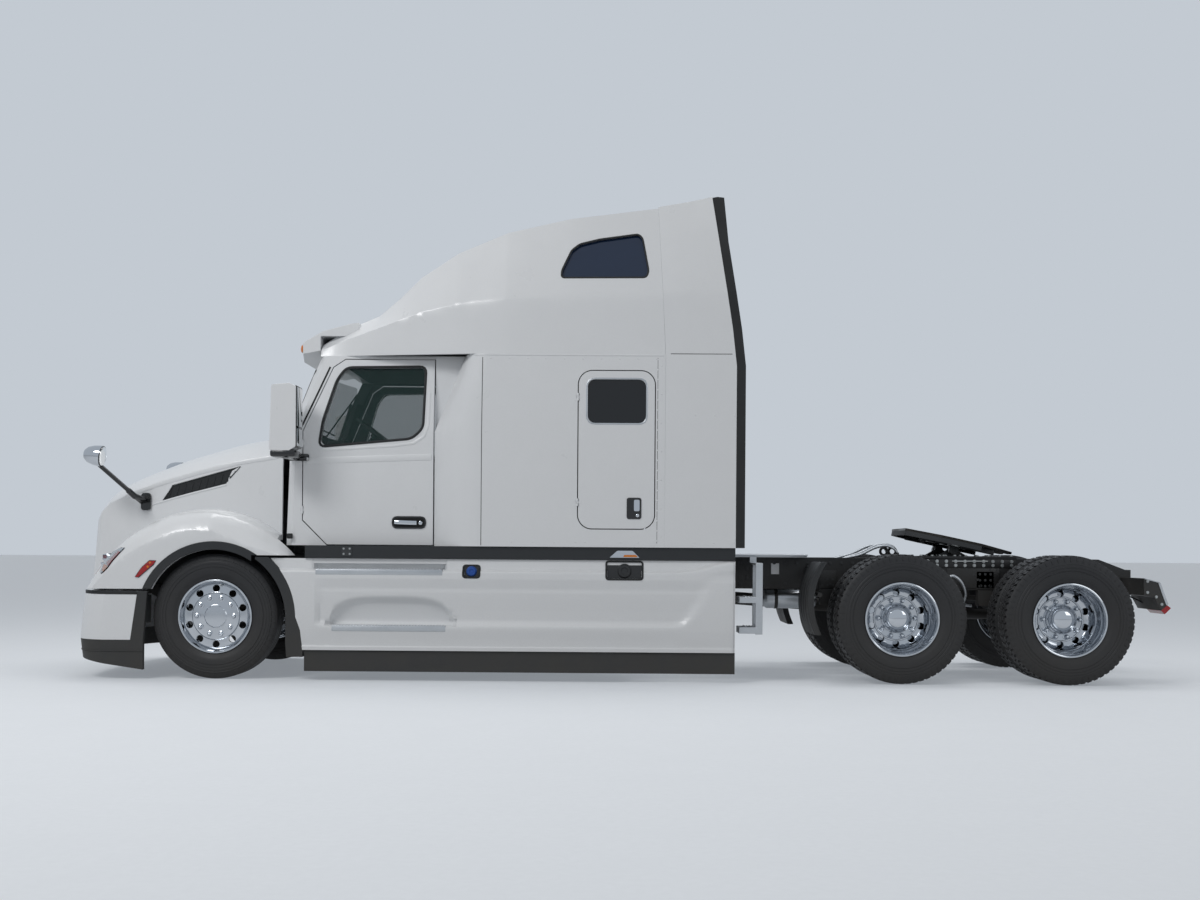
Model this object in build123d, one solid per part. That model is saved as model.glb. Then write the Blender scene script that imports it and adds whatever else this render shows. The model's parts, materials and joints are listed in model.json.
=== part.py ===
"""Semi truck tractor unit: an aerodynamic conventional with a high-roof sleeper and a tandem drive.

Millimetres. +X is forward, +Y is left and +Z is up. While it is drawn, X counts from the front
axle and Z from the ground; each finished piece then moves by ORIGIN_SHIFT, so that X = 0 is the
middle of the overall length. Y = 0 is the middle of the truck.
"""
from build123d import *
import os
from math import asin, cos, radians, sin, sqrt, tan

# Overall layout
WHEELBASE = 6100            # front axle to the middle of the tandem
TANDEM = 1321               # between the two drive axles
FRONT_OVERHANG = 1215       # front axle to the bumper's front
REAR_OVERHANG = 880         # rear drive axle to the tail bar's tip
HALF_WIDTH = 1220
BEYOND = HALF_WIDTH + 200   # how far cutting forms reach
AXLE_2 = -WHEELBASE + TANDEM / 2
AXLE_3 = -WHEELBASE - TANDEM / 2
LENGTH = FRONT_OVERHANG + WHEELBASE + TANDEM / 2 + REAR_OVERHANG
ORIGIN_SHIFT = LENGTH / 2 - FRONT_OVERHANG

# Levels
FLOOR_Z = 1067              # underside of cab and sleeper, top of the belts
BELT_Z = 966                # top of the side fairings
SKIRT_TOP = 240
SKIRT_BOTTOM = 72
SEAM_Z = 2590               # where the roof sits on cab and sleeper
SILL_Z = 1980               # foot of the windshield

# Stations along X
COWL_X = -500               # front of the cab
HOOD_BACK = -476
DOOR_FRONT = -676
DOOR_BACK = -1716
CAB_BACK = DOOR_BACK - 8
SLEEPER_BACK = -3560
EXTENDER_BACK = -4121
EDGE_BACK = -4196
FAIRING_JOINT = -2310       # between front and rear side fairing

# Walls and gaps
CAB_HALF = HALF_WIDTH - 145     # half the cab's width below the windows
CAB_TOP_HALF = HALF_WIDTH - 220
CAB_WALL = 55
SLEEPER_WALL = 50
ROOF_WALL = 40
HOOD_WALL = 30
SKIN = 40                   # bumper and extenders
PANEL_GAP = 8               # CAB_BACK stands this far behind the door
GLASS = 6
GLASS_DEPTH = 18            # glass behind the outer face
SEAT = 0.3                  # between glass and its rim

# Frame
RAIL_OUT = 432              # centre to the rails' outer faces
RAIL_TOP = 995
RAIL_DEPTH = 265
RAIL_FLANGE = 89
RAIL_WALL = 10
RAIL_FRONT = 1000
RAIL_BACK = AXLE_3 - 720
RAIL_BOTTOM = RAIL_TOP - RAIL_DEPTH
RAIL_IN = RAIL_OUT - RAIL_FLANGE

# Wheels: a tyre's outline is rows of (half width, radius) from bead to tread
STEER_R = 497
DRIVE_R = 514
TYRE_HALF = 138
BEAD_R = 286
STEER_Y = HALF_WIDTH - 190
DUAL_Y = (HALF_WIDTH - 143, HALF_WIDTH - 485)      # middles of the outer and the inner twin
SPINDLE_R = 45
RUNNING = 0.05

# Steering
KINGPIN_Y = STEER_Y - 170
KINGPIN_R = 20
ARM = 180
AXLE_HALF = 45

# Hood: the pivot is at its lower front lip
HOOD_FOOT = 705
NOSE_X = 1165
NOSE_LEAN = 3.5
ARCH_Z = 487
ARCH_R = 540
TRIM_R = 606
WELL_R = 620
FAIRING_R = 650


def box(x0, x1, y0, y1, z0, z1):
    """A block between two corners."""
    size = Box(abs(x1 - x0), abs(y1 - y0), abs(z1 - z0))
    return Pos((x0 + x1) / 2, (y0 + y1) / 2, (z0 + z1) / 2) * size


def side_prism(outline, y0, y1):
    """An outline drawn in X and Z, extruded from y0 to y1."""
    face = Plane((0, y0, 0), x_dir=(1, 0, 0), z_dir=(0, -1, 0)) * make_face(outline)
    return extrude(face, amount=y1 - y0, dir=(0, 1, 0))


def front_prism(outline, x0, x1):
    """An outline drawn in Y and Z, extruded from x0 to x1."""
    face = Plane((x0, 0, 0), x_dir=(0, 1, 0), z_dir=(1, 0, 0)) * make_face(outline)
    return extrude(face, amount=x1 - x0, dir=(1, 0, 0))


def plan_prism(outline, z0, z1):
    """An outline drawn in X and Y, extruded from z0 to z1."""
    return extrude(Pos(0, 0, z0) * make_face(outline), amount=z1 - z0, dir=(0, 0, 1))


def polygon(points, radius=0):
    """A closed outline, its corners rounded where a radius is given."""
    if radius:
        return FilletPolyline(*points, radius=radius, close=True)
    return Polyline(*points, close=True)


def rod(start, end, radius):
    """A round bar between two points."""
    way = Vector(*end) - Vector(*start)
    return extrude(Plane(start, z_dir=way) * Circle(radius), amount=way.length)


def axle_disc(x, z, radius, y0, y1):
    """A cylinder across the truck."""
    return rod((x, y0, z), (x, y1, z), radius)


def both(shape):
    """A shape and its mirror image on the other side."""
    return shape + mirror(shape, about=Plane.XZ)


def ruled(sections):
    """A solid with straight walls through closed wires."""
    return Part([Solid.make_loft(sections, True)])


def ring(x, z, inner, outer, y0, y1):
    """A flat ring across the truck."""
    return axle_disc(x, z, outer, y0, y1) - axle_disc(x, z, inner, y0 - 1, y1 + 1)


# Cab

def cab_plan(z, front, corner, half, inset, back=CAB_BACK):
    """The cab's outline at one height: bowed front, straight sides."""
    x_mid, x_corner, y_half = front - inset, corner - inset, half - inset
    y_corner = y_half - 75
    p = [Vector(back, -y_half, z), Vector(x_corner - 60, -y_half, z), Vector(x_corner, -y_corner, z),
         Vector(x_mid, 0, z), Vector(x_corner, y_corner, z), Vector(x_corner - 60, y_half, z),
         Vector(back, y_half, z)]
    return Wire([Edge.make_line(p[0], p[1]), Edge.make_line(p[1], p[2]),
                 Edge.make_three_point_arc(p[2], p[3], p[4]),
                 Edge.make_line(p[4], p[5]), Edge.make_line(p[5], p[6]), Edge.make_line(p[6], p[0])])


# (height, front at the middle, front at the corners, half width)
CAB_SECTIONS = (
    (FLOOR_Z, COWL_X, COWL_X - 30, CAB_HALF),
    (SILL_Z, COWL_X + 10, COWL_X - 60, CAB_HALF),
    (SEAM_Z, COWL_X - 160, COWL_X - 285, CAB_TOP_HALF),
)


def cab_solid(inset):
    """The cab's outer form, or with an inset a form that lies that far inside it."""
    rows = [cab_plan(z, front, corner, half, inset) for z, front, corner, half in CAB_SECTIONS]
    return ruled(rows)


DOOR_TOP = SEAM_Z - 30
DOOR_FOOT = FLOOR_Z + PANEL_GAP
DOOR_POINTS = (
    (DOOR_BACK, DOOR_FOOT), (-870, DOOR_FOOT), (DOOR_FRONT, 1270), (DOOR_FRONT, SILL_Z),
    (-905, 2495), (-1000, DOOR_TOP), (DOOR_BACK, DOOR_TOP),
)
WINDOW_POINTS = (
    (-808, 1862), (-838, 2070), (-940, 2395), (-1010, 2490), (-1640, 2500), (-1625, 2010), (-1540, 1930),
)


def door_prism(grow, side):
    outline = offset(make_face(Polyline(*DOOR_POINTS, close=True)), grow, kind=Kind.INTERSECTION)
    face = Plane((0, side * (CAB_HALF - 375), 0), x_dir=(1, 0, 0), z_dir=(0, -1, 0)) * outline
    return extrude(face, amount=600, dir=(0, side, 0))


def window_prism(grow, side):
    outline = offset(make_face(polygon(WINDOW_POINTS, 45)), grow)
    face = Plane((0, side * (CAB_HALF - 375), 0), x_dir=(1, 0, 0), z_dir=(0, -1, 0)) * outline
    return extrude(face, amount=600, dir=(0, side, 0))


def windshield_prism(grow):
    """The windshield's opening, seen from the front."""
    top, foot = CAB_TOP_HALF - 130 + grow, CAB_HALF - 125 + grow
    points = ((-foot, SILL_Z + 60 - grow), (foot, SILL_Z + 60 - grow), (top, SEAM_Z - 55 + grow),
              (-top, SEAM_Z - 55 + grow))
    return front_prism(polygon(points, 60), -1000, 200)


cab_outer = cab_solid(0)
cab_wall = cab_outer - (cab_solid(CAB_WALL) + box(CAB_BACK - 50, COWL_X - 120, -CAB_TOP_HALF + CAB_WALL,
                                                   CAB_TOP_HALF - CAB_WALL, SEAM_Z - 200, SEAM_Z + 50))
cab_floor = box(CAB_BACK, COWL_X - 40, -CAB_HALF + CAB_WALL, CAB_HALF - CAB_WALL, FLOOR_Z, FLOOR_Z + 60)
cab_shell = (cab_wall + cab_floor) - windshield_prism(0)
doors, door_glass = {}, {}
for name, side in (("left", 1), ("right", -1)):
    cab_shell -= door_prism(PANEL_GAP, side)
    panel = cab_wall & door_prism(0, side)
    doors[name] = panel - window_prism(0, side)
pane = cab_solid(GLASS_DEPTH) - cab_solid(GLASS_DEPTH + GLASS)
for name, side in (("left", 1), ("right", -1)):
    door_glass[name] = pane & window_prism(-SEAT, side)
windshield = pane & windshield_prism(-SEAT)

# Door hinges: the shell carries two ears and a pin, the door an eye round the pin
DOOR_PIVOT = (DOOR_FRONT + 5, CAB_HALF + 3)
DOOR_HINGE_Z = (1350, 1880)
KNUCKLE_R = 8
HINGE_PIN_R = 3.5
KNUCKLE_HALF = 30           # half a hinge's height
EYE_HALF = 11


def hinge_cuts(x, y, z):
    """The room a hinge needs in the shell and in the door."""
    clear = KNUCKLE_R + 4
    return [Pos(x, y, z) * Cylinder(clear, 2 * half + 2) for half in (EYE_HALF, KNUCKLE_HALF)]


def hinge_pieces(x, y, z, away):
    """Ears and pin for the shell, an eye for the door; the shell lies towards away along X."""
    ear_height = KNUCKLE_HALF - EYE_HALF - SEAT
    ears = None
    for way in (1, -1):
        ear_z = z + way * (KNUCKLE_HALF - ear_height / 2)
        ear = Pos(x, y, ear_z) * Cylinder(KNUCKLE_R, ear_height)
        ear += box(x, x + away * 30, y - 14, y - 2, ear_z - ear_height / 2, ear_z + ear_height / 2)
        ears = ear if ears is None else ears + ear
    ears += Pos(x, y, z) * Cylinder(HINGE_PIN_R, 2 * KNUCKLE_HALF)
    eye = Pos(x, y, z) * Cylinder(KNUCKLE_R, 2 * EYE_HALF)
    eye += box(x - away * 30, x, y - 14, y - 2, z - EYE_HALF, z + EYE_HALF)
    return ears, eye - Pos(x, y, z) * Cylinder(HINGE_PIN_R + RUNNING, 2 * EYE_HALF + 2)


def hang(shell, door, pivot, heights, away):
    """Joins a left door to its shell by a hinge at each height; returns both."""
    x, y = pivot
    for z in heights:
        shell_cut, door_cut = hinge_cuts(x, y, z)
        ears, eye = hinge_pieces(x, y, z, away)
        shell = (shell - shell_cut) + ears
        door = (door - door_cut) + eye
    return shell, door


def hang_both(shell, leaves, pivot, heights):
    """Hangs the left and the right door; the right one through a mirrored shell."""
    shell, leaves["left"] = hang(shell, leaves["left"], pivot, heights, 1)
    other, leaf = hang(mirror(shell, about=Plane.XZ), mirror(leaves["right"], about=Plane.XZ), pivot, heights, 1)
    leaves["right"] = mirror(leaf, about=Plane.XZ)
    return mirror(other, about=Plane.XZ)


cab_shell = hang_both(cab_shell, doors, DOOR_PIVOT, DOOR_HINGE_Z)
cab_feet = [box(x - 75, x + 75, RAIL_IN, RAIL_OUT, RAIL_TOP, FLOOR_Z) for x in (-700, CAB_BACK + 120)]
for foot in cab_feet:
    cab_shell += both(foot)

# Sleeper: the front corner swells out from the cab's width
# (height, front at the cab's side, where the full width starts)
SLEEPER_SECTIONS = (
    (FLOOR_Z, CAB_BACK, -2110),
    (SILL_Z, CAB_BACK, -2110),
    (SEAM_Z, CAB_BACK - 245, -2160),
)


def sleeper_plan(z, front, full):
    """The sleeper's outline at one height; each front corner is an arc that meets its side smoothly."""
    rise = HALF_WIDTH - CAB_HALF + 15
    radius = ((front - full) ** 2 + rise ** 2) / (2 * rise)
    half_turn = asin((front - full) / radius) / 2
    mid_x, mid_y = full + radius * sin(half_turn), HALF_WIDTH - radius * (1 - cos(half_turn))
    p = [Vector(SLEEPER_BACK, -HALF_WIDTH, z), Vector(full, -HALF_WIDTH, z),
         Vector(mid_x, -mid_y, z), Vector(front, -CAB_HALF + 15, z),
         Vector(front, CAB_HALF - 15, z), Vector(mid_x, mid_y, z),
         Vector(full, HALF_WIDTH, z), Vector(SLEEPER_BACK, HALF_WIDTH, z)]
    edges = [Edge.make_line(p[0], p[1]), Edge.make_three_point_arc(p[1], p[2], p[3]), Edge.make_line(p[3], p[4]),
             Edge.make_three_point_arc(p[4], p[5], p[6]), Edge.make_line(p[6], p[7]), Edge.make_line(p[7], p[0])]
    return Wire(edges)


BUNK_DOOR = (-3477, -2877, 1214, 2456)      # low x, high x, low z, high z
BUNK_RADIUS = 110
BUNK_WINDOW = (-3409, -2948, 2045, 2390)
BUNK_WINDOW_RADIUS = 60


def side_window(limits, radius, grow, side, depth=400):
    """A rounded opening through one side of the sleeper."""
    x0, x1, z0, z1 = limits
    points = ((x0 - grow, z0 - grow), (x1 + grow, z0 - grow), (x1 + grow, z1 + grow), (x0 - grow, z1 + grow))
    reach = sorted((side * (HALF_WIDTH - depth / 2), side * (HALF_WIDTH + depth / 2)))
    return side_prism(polygon(points, radius + grow), *reach)


sleeper_outer = ruled([sleeper_plan(*row) for row in SLEEPER_SECTIONS])
sleeper_outer += box(CAB_BACK - 400, CAB_BACK, -CAB_TOP_HALF, CAB_TOP_HALF, FLOOR_Z, SEAM_Z)
room = box(SLEEPER_BACK + SLEEPER_WALL, -2160, -HALF_WIDTH + SLEEPER_WALL, HALF_WIDTH - SLEEPER_WALL,
           FLOOR_Z + 60, SEAM_Z + 10)
room += box(-2200, CAB_BACK + 10, -CAB_TOP_HALF + SLEEPER_WALL, CAB_TOP_HALF - SLEEPER_WALL, FLOOR_Z + 60, SEAM_Z + 10)
sleeper_wall = sleeper_outer - room
sleeper_shell = sleeper_wall
bunk_doors, bunk_glass = {}, {}
for name, side in (("left", 1), ("right", -1)):
    sleeper_shell -= side_window(BUNK_DOOR, BUNK_RADIUS, PANEL_GAP, side)
    door = sleeper_wall & side_window(BUNK_DOOR, BUNK_RADIUS, 0, side)
    bunk_doors[name] = door - side_window(BUNK_WINDOW, BUNK_WINDOW_RADIUS, 0, side)
    inner = sorted((side * (HALF_WIDTH - GLASS_DEPTH - GLASS), side * (HALF_WIDTH - GLASS_DEPTH)))
    slab = box(BUNK_WINDOW[0] - 20, BUNK_WINDOW[1] + 20, *inner, BUNK_WINDOW[2] - 20, BUNK_WINDOW[3] + 20)
    bunk_glass[name] = slab & side_window(BUNK_WINDOW, BUNK_WINDOW_RADIUS, -SEAT, side)
BUNK_PIVOT = (BUNK_DOOR[1] + 5, HALF_WIDTH + 3)
BUNK_HINGE_Z = (1420, 2250)
sleeper_shell = hang_both(sleeper_shell, bunk_doors, BUNK_PIVOT, BUNK_HINGE_Z)
for x in (-2150, SLEEPER_BACK + 150):
    sleeper_shell += both(box(x - 75, x + 75, RAIL_IN, RAIL_OUT, RAIL_TOP, FLOOR_Z))

# Roof: (station, then how far inside the full half width seam, shoulder and crown lie, each with its z, top z)
ROOF_ROWS = (
    (-790, 255, 275, 2640, 360, 2695, 2740),
    (-1000, 220, 235, 2720, 360, 2830, 2885),
    (-1250, 160, 170, 2800, 340, 2930, 3000),
    (-1420, 130, 140, 2860, 320, 3070, 3140),
    (-1600, 100, 110, 2920, 300, 3240, 3310),
    (-1900, 45, 52, 2980, 270, 3430, 3500),
    (-2300, 0, 8, 3010, 240, 3590, 3655),
    (-2800, 0, 6, 3030, 220, 3700, 3755),
    (-3575, 0, 4, 3050, 210, 3795, 3850),
)
ROOF_SECTIONS = [(x, HALF_WIDTH - seam, HALF_WIDTH - shoulder, shoulder_z, HALF_WIDTH - crown, crown_z, top)
                 for x, seam, shoulder, shoulder_z, crown, crown_z, top in ROOF_ROWS]
ROOF_TOP_BACK = -3491       # the rear seam leans from here down to SLEEPER_BACK
TIP_Z = 3890                # highest point of the side extenders


def roof_section(row, inset):
    x, seam, shoulder, shoulder_z, crown, crown_z, top = row
    foot = SEAM_Z - (5 if inset else 0)
    half = [(seam - inset, foot), (shoulder - inset, shoulder_z), (crown - inset, crown_z - inset)]
    left = [Vector(x, y, z) for y, z in half]
    right = [Vector(x, -y, z) for y, z in half]
    return Wire([Edge.make_line(left[0], left[1]), Edge.make_line(left[1], left[2]),
                 Edge.make_three_point_arc(left[2], Vector(x, 0, top - inset), right[2]),
                 Edge.make_line(right[2], right[1]), Edge.make_line(right[1], right[0]),
                 Edge.make_line(right[0], left[0])])


def roof_solid(inset):
    rows = list(ROOF_SECTIONS)
    if inset:
        first, last = list(rows[0]), list(rows[-1])
        first[0] -= inset * 2
        last[0] += inset * 3
        rows = [first] + rows[1:-1] + [last]
    return ruled([roof_section(row, inset) for row in rows])


LOFT_WINDOW = ((-2737, 3205), (-3400, 3208), (-3418, 3255), (-3370, 3530), (-3340, 3562), (-3035, 3520),
               (-2877, 3480), (-2815, 3430), (-2740, 3262))
behind = side_prism(Polyline((ROOF_TOP_BACK, 4000), (SLEEPER_BACK, SEAM_Z - 20), (SLEEPER_BACK - 400, SEAM_Z - 20),
                             (SLEEPER_BACK - 400, 4000), close=True), -BEYOND, BEYOND)
roof_outer = roof_solid(0) - behind
roof_fairing = roof_outer - roof_solid(ROOF_WALL)
loft_pane = (roof_solid(GLASS_DEPTH) - roof_solid(GLASS_DEPTH + GLASS)) - behind
loft_windows = []
for side in (1, -1):
    reach = sorted((side * (HALF_WIDTH - 420), side * BEYOND))
    opening = side_prism(polygon(LOFT_WINDOW, 15), *reach)
    slim = offset(make_face(polygon(LOFT_WINDOW, 15)), -SEAT)
    slim_prism = extrude(Plane((0, reach[0], 0), x_dir=(1, 0, 0), z_dir=(0, -1, 0)) * slim, amount=reach[1] - reach[0],
                         dir=(0, 1, 0))
    roof_fairing -= opening
    loft_windows.append(loft_pane & slim_prism)

# Side extenders: a strip like the roof's side, from (station, then foot, shoulder and tip with their z)
WING_SECTIONS = (
    (SLEEPER_BACK + 75, HALF_WIDTH, HALF_WIDTH - 4, 3050, HALF_WIDTH - 210, 3795),
    (SLEEPER_BACK - 200, HALF_WIDTH, HALF_WIDTH - 3, 3070, HALF_WIDTH - 175, 3835),
    (EXTENDER_BACK, HALF_WIDTH, HALF_WIDTH - 2, 3090, HALF_WIDTH - 120, 3905),
)
WING_BACK = ((-3924, 4000), (-3924, TIP_Z), (-3982, 3496), (-4040, 3102), (-4089, 2787), (EXTENDER_BACK, 2500),
             (EXTENDER_BACK, FLOOR_Z))


def wing_strip(row):
    x, foot, shoulder, shoulder_z, tip, tip_z = row
    outer = [(foot, FLOOR_Z), (shoulder, shoulder_z), (tip, tip_z)]
    inner = [(y - SKIN, z) for y, z in reversed(outer)]
    return Wire.make_polygon([Vector(x, y, z) for y, z in outer + inner], close=True)


wing_band = ruled([wing_strip(row) for row in WING_SECTIONS])
wing_shape = side_prism(Polyline(*WING_BACK, (SLEEPER_BACK - SEAT, FLOOR_Z), (SLEEPER_BACK - SEAT, SEAM_Z),
                                 (ROOF_TOP_BACK - SEAT, 4000), close=True), HALF_WIDTH - 700, BEYOND)
side_wing = wing_band & wing_shape
side_extenders = both(side_wing)
edge_outer = [(x - 72 if z < 3600 else x - 95, z) for x, z in WING_BACK[2:]]
edge_shape = Polyline((-3924, TIP_Z - 15), *WING_BACK[2:], *reversed(edge_outer), (-4022, TIP_Z - 30), close=True)
rear_band = ruled([wing_strip(row) for row in (WING_SECTIONS[1], (EDGE_BACK - 5,) + WING_SECTIONS[2][1:])])
extender_edges = both((rear_band & side_prism(edge_shape, HALF_WIDTH - 700, BEYOND)) - wing_shape)

# Visor
VISOR_POINTS = ((-560, 2600), (-560, 2640), (-660, 2720), (-800, 2800), (-1020, 2860), (-1090, 2870), (-1090, 2700))
VISOR_HALF = CAB_TOP_HALF - 70
visor_block = side_prism(polygon(VISOR_POINTS), -VISOR_HALF, VISOR_HALF)
visor_plan = plan_prism(Polyline((-1200, -VISOR_HALF - 10), (-640, -VISOR_HALF - 10), (-560, -500), (-530, 0),
                                 (-560, 500), (-640, VISOR_HALF + 10), (-1200, VISOR_HALF + 10), close=True),
                        2500, 3000)
visor = (visor_block & visor_plan) - roof_outer - cab_outer - box(-2000, -780, -BEYOND, BEYOND, 2400, 2760)

# Hood: (station, top z, how far the crease lies inside the cab's half width, crease z, the same for the foot)
HOOD_ROWS = (
    (HOOD_BACK, 2030, 170, 1795, 145),
    (0, 1945, 215, 1715, 175),
    (450, 1815, 275, 1602, 225),
    (800, 1680, 340, 1490, 285),
    (1000, 1590, 395, 1405, 345),
    (1090, 1530, 445, 1330, 385),
    (1150, 1440, 515, 1240, 435),
    (1200, 1330, 575, 1150, 475),
)
HOOD_SECTIONS = [(x, top, CAB_HALF - crease, crease_z, CAB_HALF - base) for x, top, crease, crease_z, base in HOOD_ROWS]


def hood_section(row, inset):
    x, top, crease, crease_z, base = row
    foot = HOOD_FOOT - (20 if inset else 0)
    left = [Vector(x, base - inset, foot), Vector(x, crease - inset, crease_z - inset / 2)]
    right = [Vector(v.X, -v.Y, v.Z) for v in left]
    return Wire([Edge.make_line(left[0], left[1]),
                 Edge.make_three_point_arc(left[1], Vector(x, 0, top - inset), right[1]),
                 Edge.make_line(right[1], right[0]), Edge.make_line(right[0], left[0])])


def hood_body(inset):
    rows = [list(row) for row in HOOD_SECTIONS]
    if inset:
        rows[0][0] -= 20
    return ruled([hood_section(row, inset) for row in rows])


def beyond_nose(back_off):
    """All that lies ahead of the leaning nose."""
    lean = tan(radians(NOSE_LEAN))
    x_foot, x_top = NOSE_X - back_off, NOSE_X - back_off - (2000 - HOOD_FOOT) * lean
    return side_prism(Polyline((x_foot + 200 * lean, HOOD_FOOT - 200), (x_top, 2000), (2500, 2000),
                               (2500, HOOD_FOOT - 200), close=True), -BEYOND, BEYOND)


# Fender: (across, how far its crest lies inside the full crest)
FENDER_HALF = HALF_WIDTH - 8
FENDER_ROWS = ((FENDER_HALF - 612, 0), (FENDER_HALF - 212, 6), (FENDER_HALF - 112, 40), (FENDER_HALF - 47, 95),
               (FENDER_HALF, 180))
FENDER_CREST = ((-640, 985), (-436, 1188), (48, 1361), (640, 1205), (1060, HOOD_FOOT + 8))


def fender_outline(y, inset, grow=0):
    """One section of the fender along X and Z."""
    tail, back, top, front, nose = FENDER_CREST
    inward = inset + grow

    def pulled(point):
        reach = sqrt(point[0] ** 2 + (point[1] - ARCH_Z) ** 2)
        share = 1 - inward / reach
        return Vector(point[0] * share, y, ARCH_Z + (point[1] - ARCH_Z) * share)

    drop = 30 if grow else 0
    start = Vector(tail[0] + 0.6 * inset + grow, y, tail[1] - drop)
    end = Vector(nose[0] - 0.5 * inset - grow, y, nose[1] - drop)
    a = Vector(0, y, nose[1] - drop)
    b = Vector(-200, y, tail[1] - drop)
    return Wire([Edge.make_three_point_arc(start, pulled(back), pulled(top)),
                 Edge.make_three_point_arc(pulled(top), pulled(front), end),
                 Edge.make_line(end, a), Edge.make_line(a, b), Edge.make_line(b, start)])


def fender(grow):
    rows = [(y - grow * (1.2 if i else 0), inset) for i, (y, inset) in enumerate(FENDER_ROWS)]
    return both(ruled([fender_outline(y, inset, grow) for y, inset in rows]))


HEADLAMP_POINTS = ((800, 1015), (945, 985), (1030, 860), (1060, 790), (950, 800), (890, 870))
HEADLAMP_Y = (HALF_WIDTH - 520, HALF_WIDTH - 90)
GRILLE_TOP = 1385
GRILLE_TOP_HALF = 400
GRILLE_FOOT_HALF = 520
GRILLE_FOOT = HOOD_FOOT + 45


def grille_outline(grow):
    points = ((-GRILLE_FOOT_HALF - grow, GRILLE_FOOT - grow), (GRILLE_FOOT_HALF + grow, GRILLE_FOOT - grow),
              (GRILLE_TOP_HALF + grow, GRILLE_TOP + grow), (-GRILLE_TOP_HALF - grow, GRILLE_TOP + grow))
    return polygon(points, 70)


VENT_POINTS = ((533, 1423), (453, 1552), (-127, 1708), (-54, 1668), (-7, 1563))
VENT_DEPTH = 14

fender_solid = fender(0)
hood_outer = (hood_body(0) + fender_solid) - beyond_nose(0)
hood = hood_outer - (hood_body(HOOD_WALL) - beyond_nose(HOOD_WALL)) - fender(HOOD_WALL)
hood -= both(axle_disc(0, ARCH_Z, WELL_R, 400, FENDER_HALF - 34))
hood -= both(axle_disc(0, ARCH_Z, ARCH_R, FENDER_HALF - 112, BEYOND))
hood -= box(-2000, HOOD_BACK, -CAB_HALF - 8, CAB_HALF + 8, 0, 3000)
hood -= both(box(HOOD_BACK, -330, HALF_WIDTH - 620, HALF_WIDTH - 220, HOOD_FOOT - 20, 960))
hood -= front_prism(grille_outline(0), 1000, 1300)
hood -= both(side_prism(polygon(VENT_POINTS), 500, BEYOND)) - hood_body(VENT_DEPTH)
lamp_prism = both(side_prism(polygon(HEADLAMP_POINTS, 12), *HEADLAMP_Y))
lens_shell = fender_solid - fender(20) - hood_body(0) - beyond_nose(0)
headlamps = lens_shell & both(side_prism(offset(make_face(polygon(HEADLAMP_POINTS, 12)), -SEAT).face().outer_wire(),
                                         HEADLAMP_Y[0] + SEAT, HEADLAMP_Y[1] - SEAT))
hood -= lamp_prism

# Hood hinges at the lower lip: an eye on the hood round a pin between two ears of the bumper
HOOD_PIVOT = (NOSE_X + 7, HOOD_FOOT - 5)
HOOD_HINGE_Y = 250
HOOD_PIN_R = 6
HOOD_EYE_R = 12
for way in (1, -1):
    y = way * HOOD_HINGE_Y
    hood -= box(NOSE_X - 60, NOSE_X + 60, y - 40, y + 40, 600, HOOD_FOOT + 25)
    eye = axle_disc(*HOOD_PIVOT, HOOD_EYE_R, y - 15, y + 15)
    eye += box(NOSE_X - 22, NOSE_X - 3, y - 15, y + 15, HOOD_FOOT - 5, HOOD_FOOT + 30)
    hood += eye - axle_disc(*HOOD_PIVOT, HOOD_PIN_R + RUNNING, y - 20, y + 20)

# Grille: a frame with bars, leaning with the nose
GRILLE_BARS = 12
GRILLE_POSTS = 5
grille_depth = 45
grille_frame = front_prism(grille_outline(-SEAT), 1000, 1300)
grille_core = front_prism(grille_outline(-35), 1000, 1300)
grille_slab = beyond_nose(8 + grille_depth) - beyond_nose(8)
bar_pitch = (GRILLE_TOP - GRILLE_FOOT) / GRILLE_BARS
bars = None
for i in range(1, GRILLE_BARS):
    z = GRILLE_FOOT + i * bar_pitch
    bar = box(1000, 1300, -600, 600, z - 8, z + 8)
    bars = bar if bars is None else bars + bar
for i in range(GRILLE_POSTS):
    y = (i - (GRILLE_POSTS - 1) / 2) * 170
    bars += box(1000, 1300, y - 6, y + 6, GRILLE_FOOT, GRILLE_TOP)
grille = ((grille_frame - grille_core) + (bars & grille_core)) & grille_slab

# Arch trims on the fenders
trim = ring(0, ARCH_Z, ARCH_R, TRIM_R, FENDER_HALF, HALF_WIDTH)
trim -= box(-2000, 2000, 0, BEYOND, -500, HOOD_FOOT + 8)
trim -= box(-2000, -300, 0, BEYOND, -500, 985)
arch_trims = both(trim)

# Bumper: a band round the front, (height, how far its middle lies behind the overall front)
BUMPER_ROWS = ((HOOD_FOOT - 8, 42), (560, 22), (330, 0), (310, 0))
BUMPER_BACK = 600
BUMPER_FOOT = 310
DAM_FOOT = 74


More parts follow.
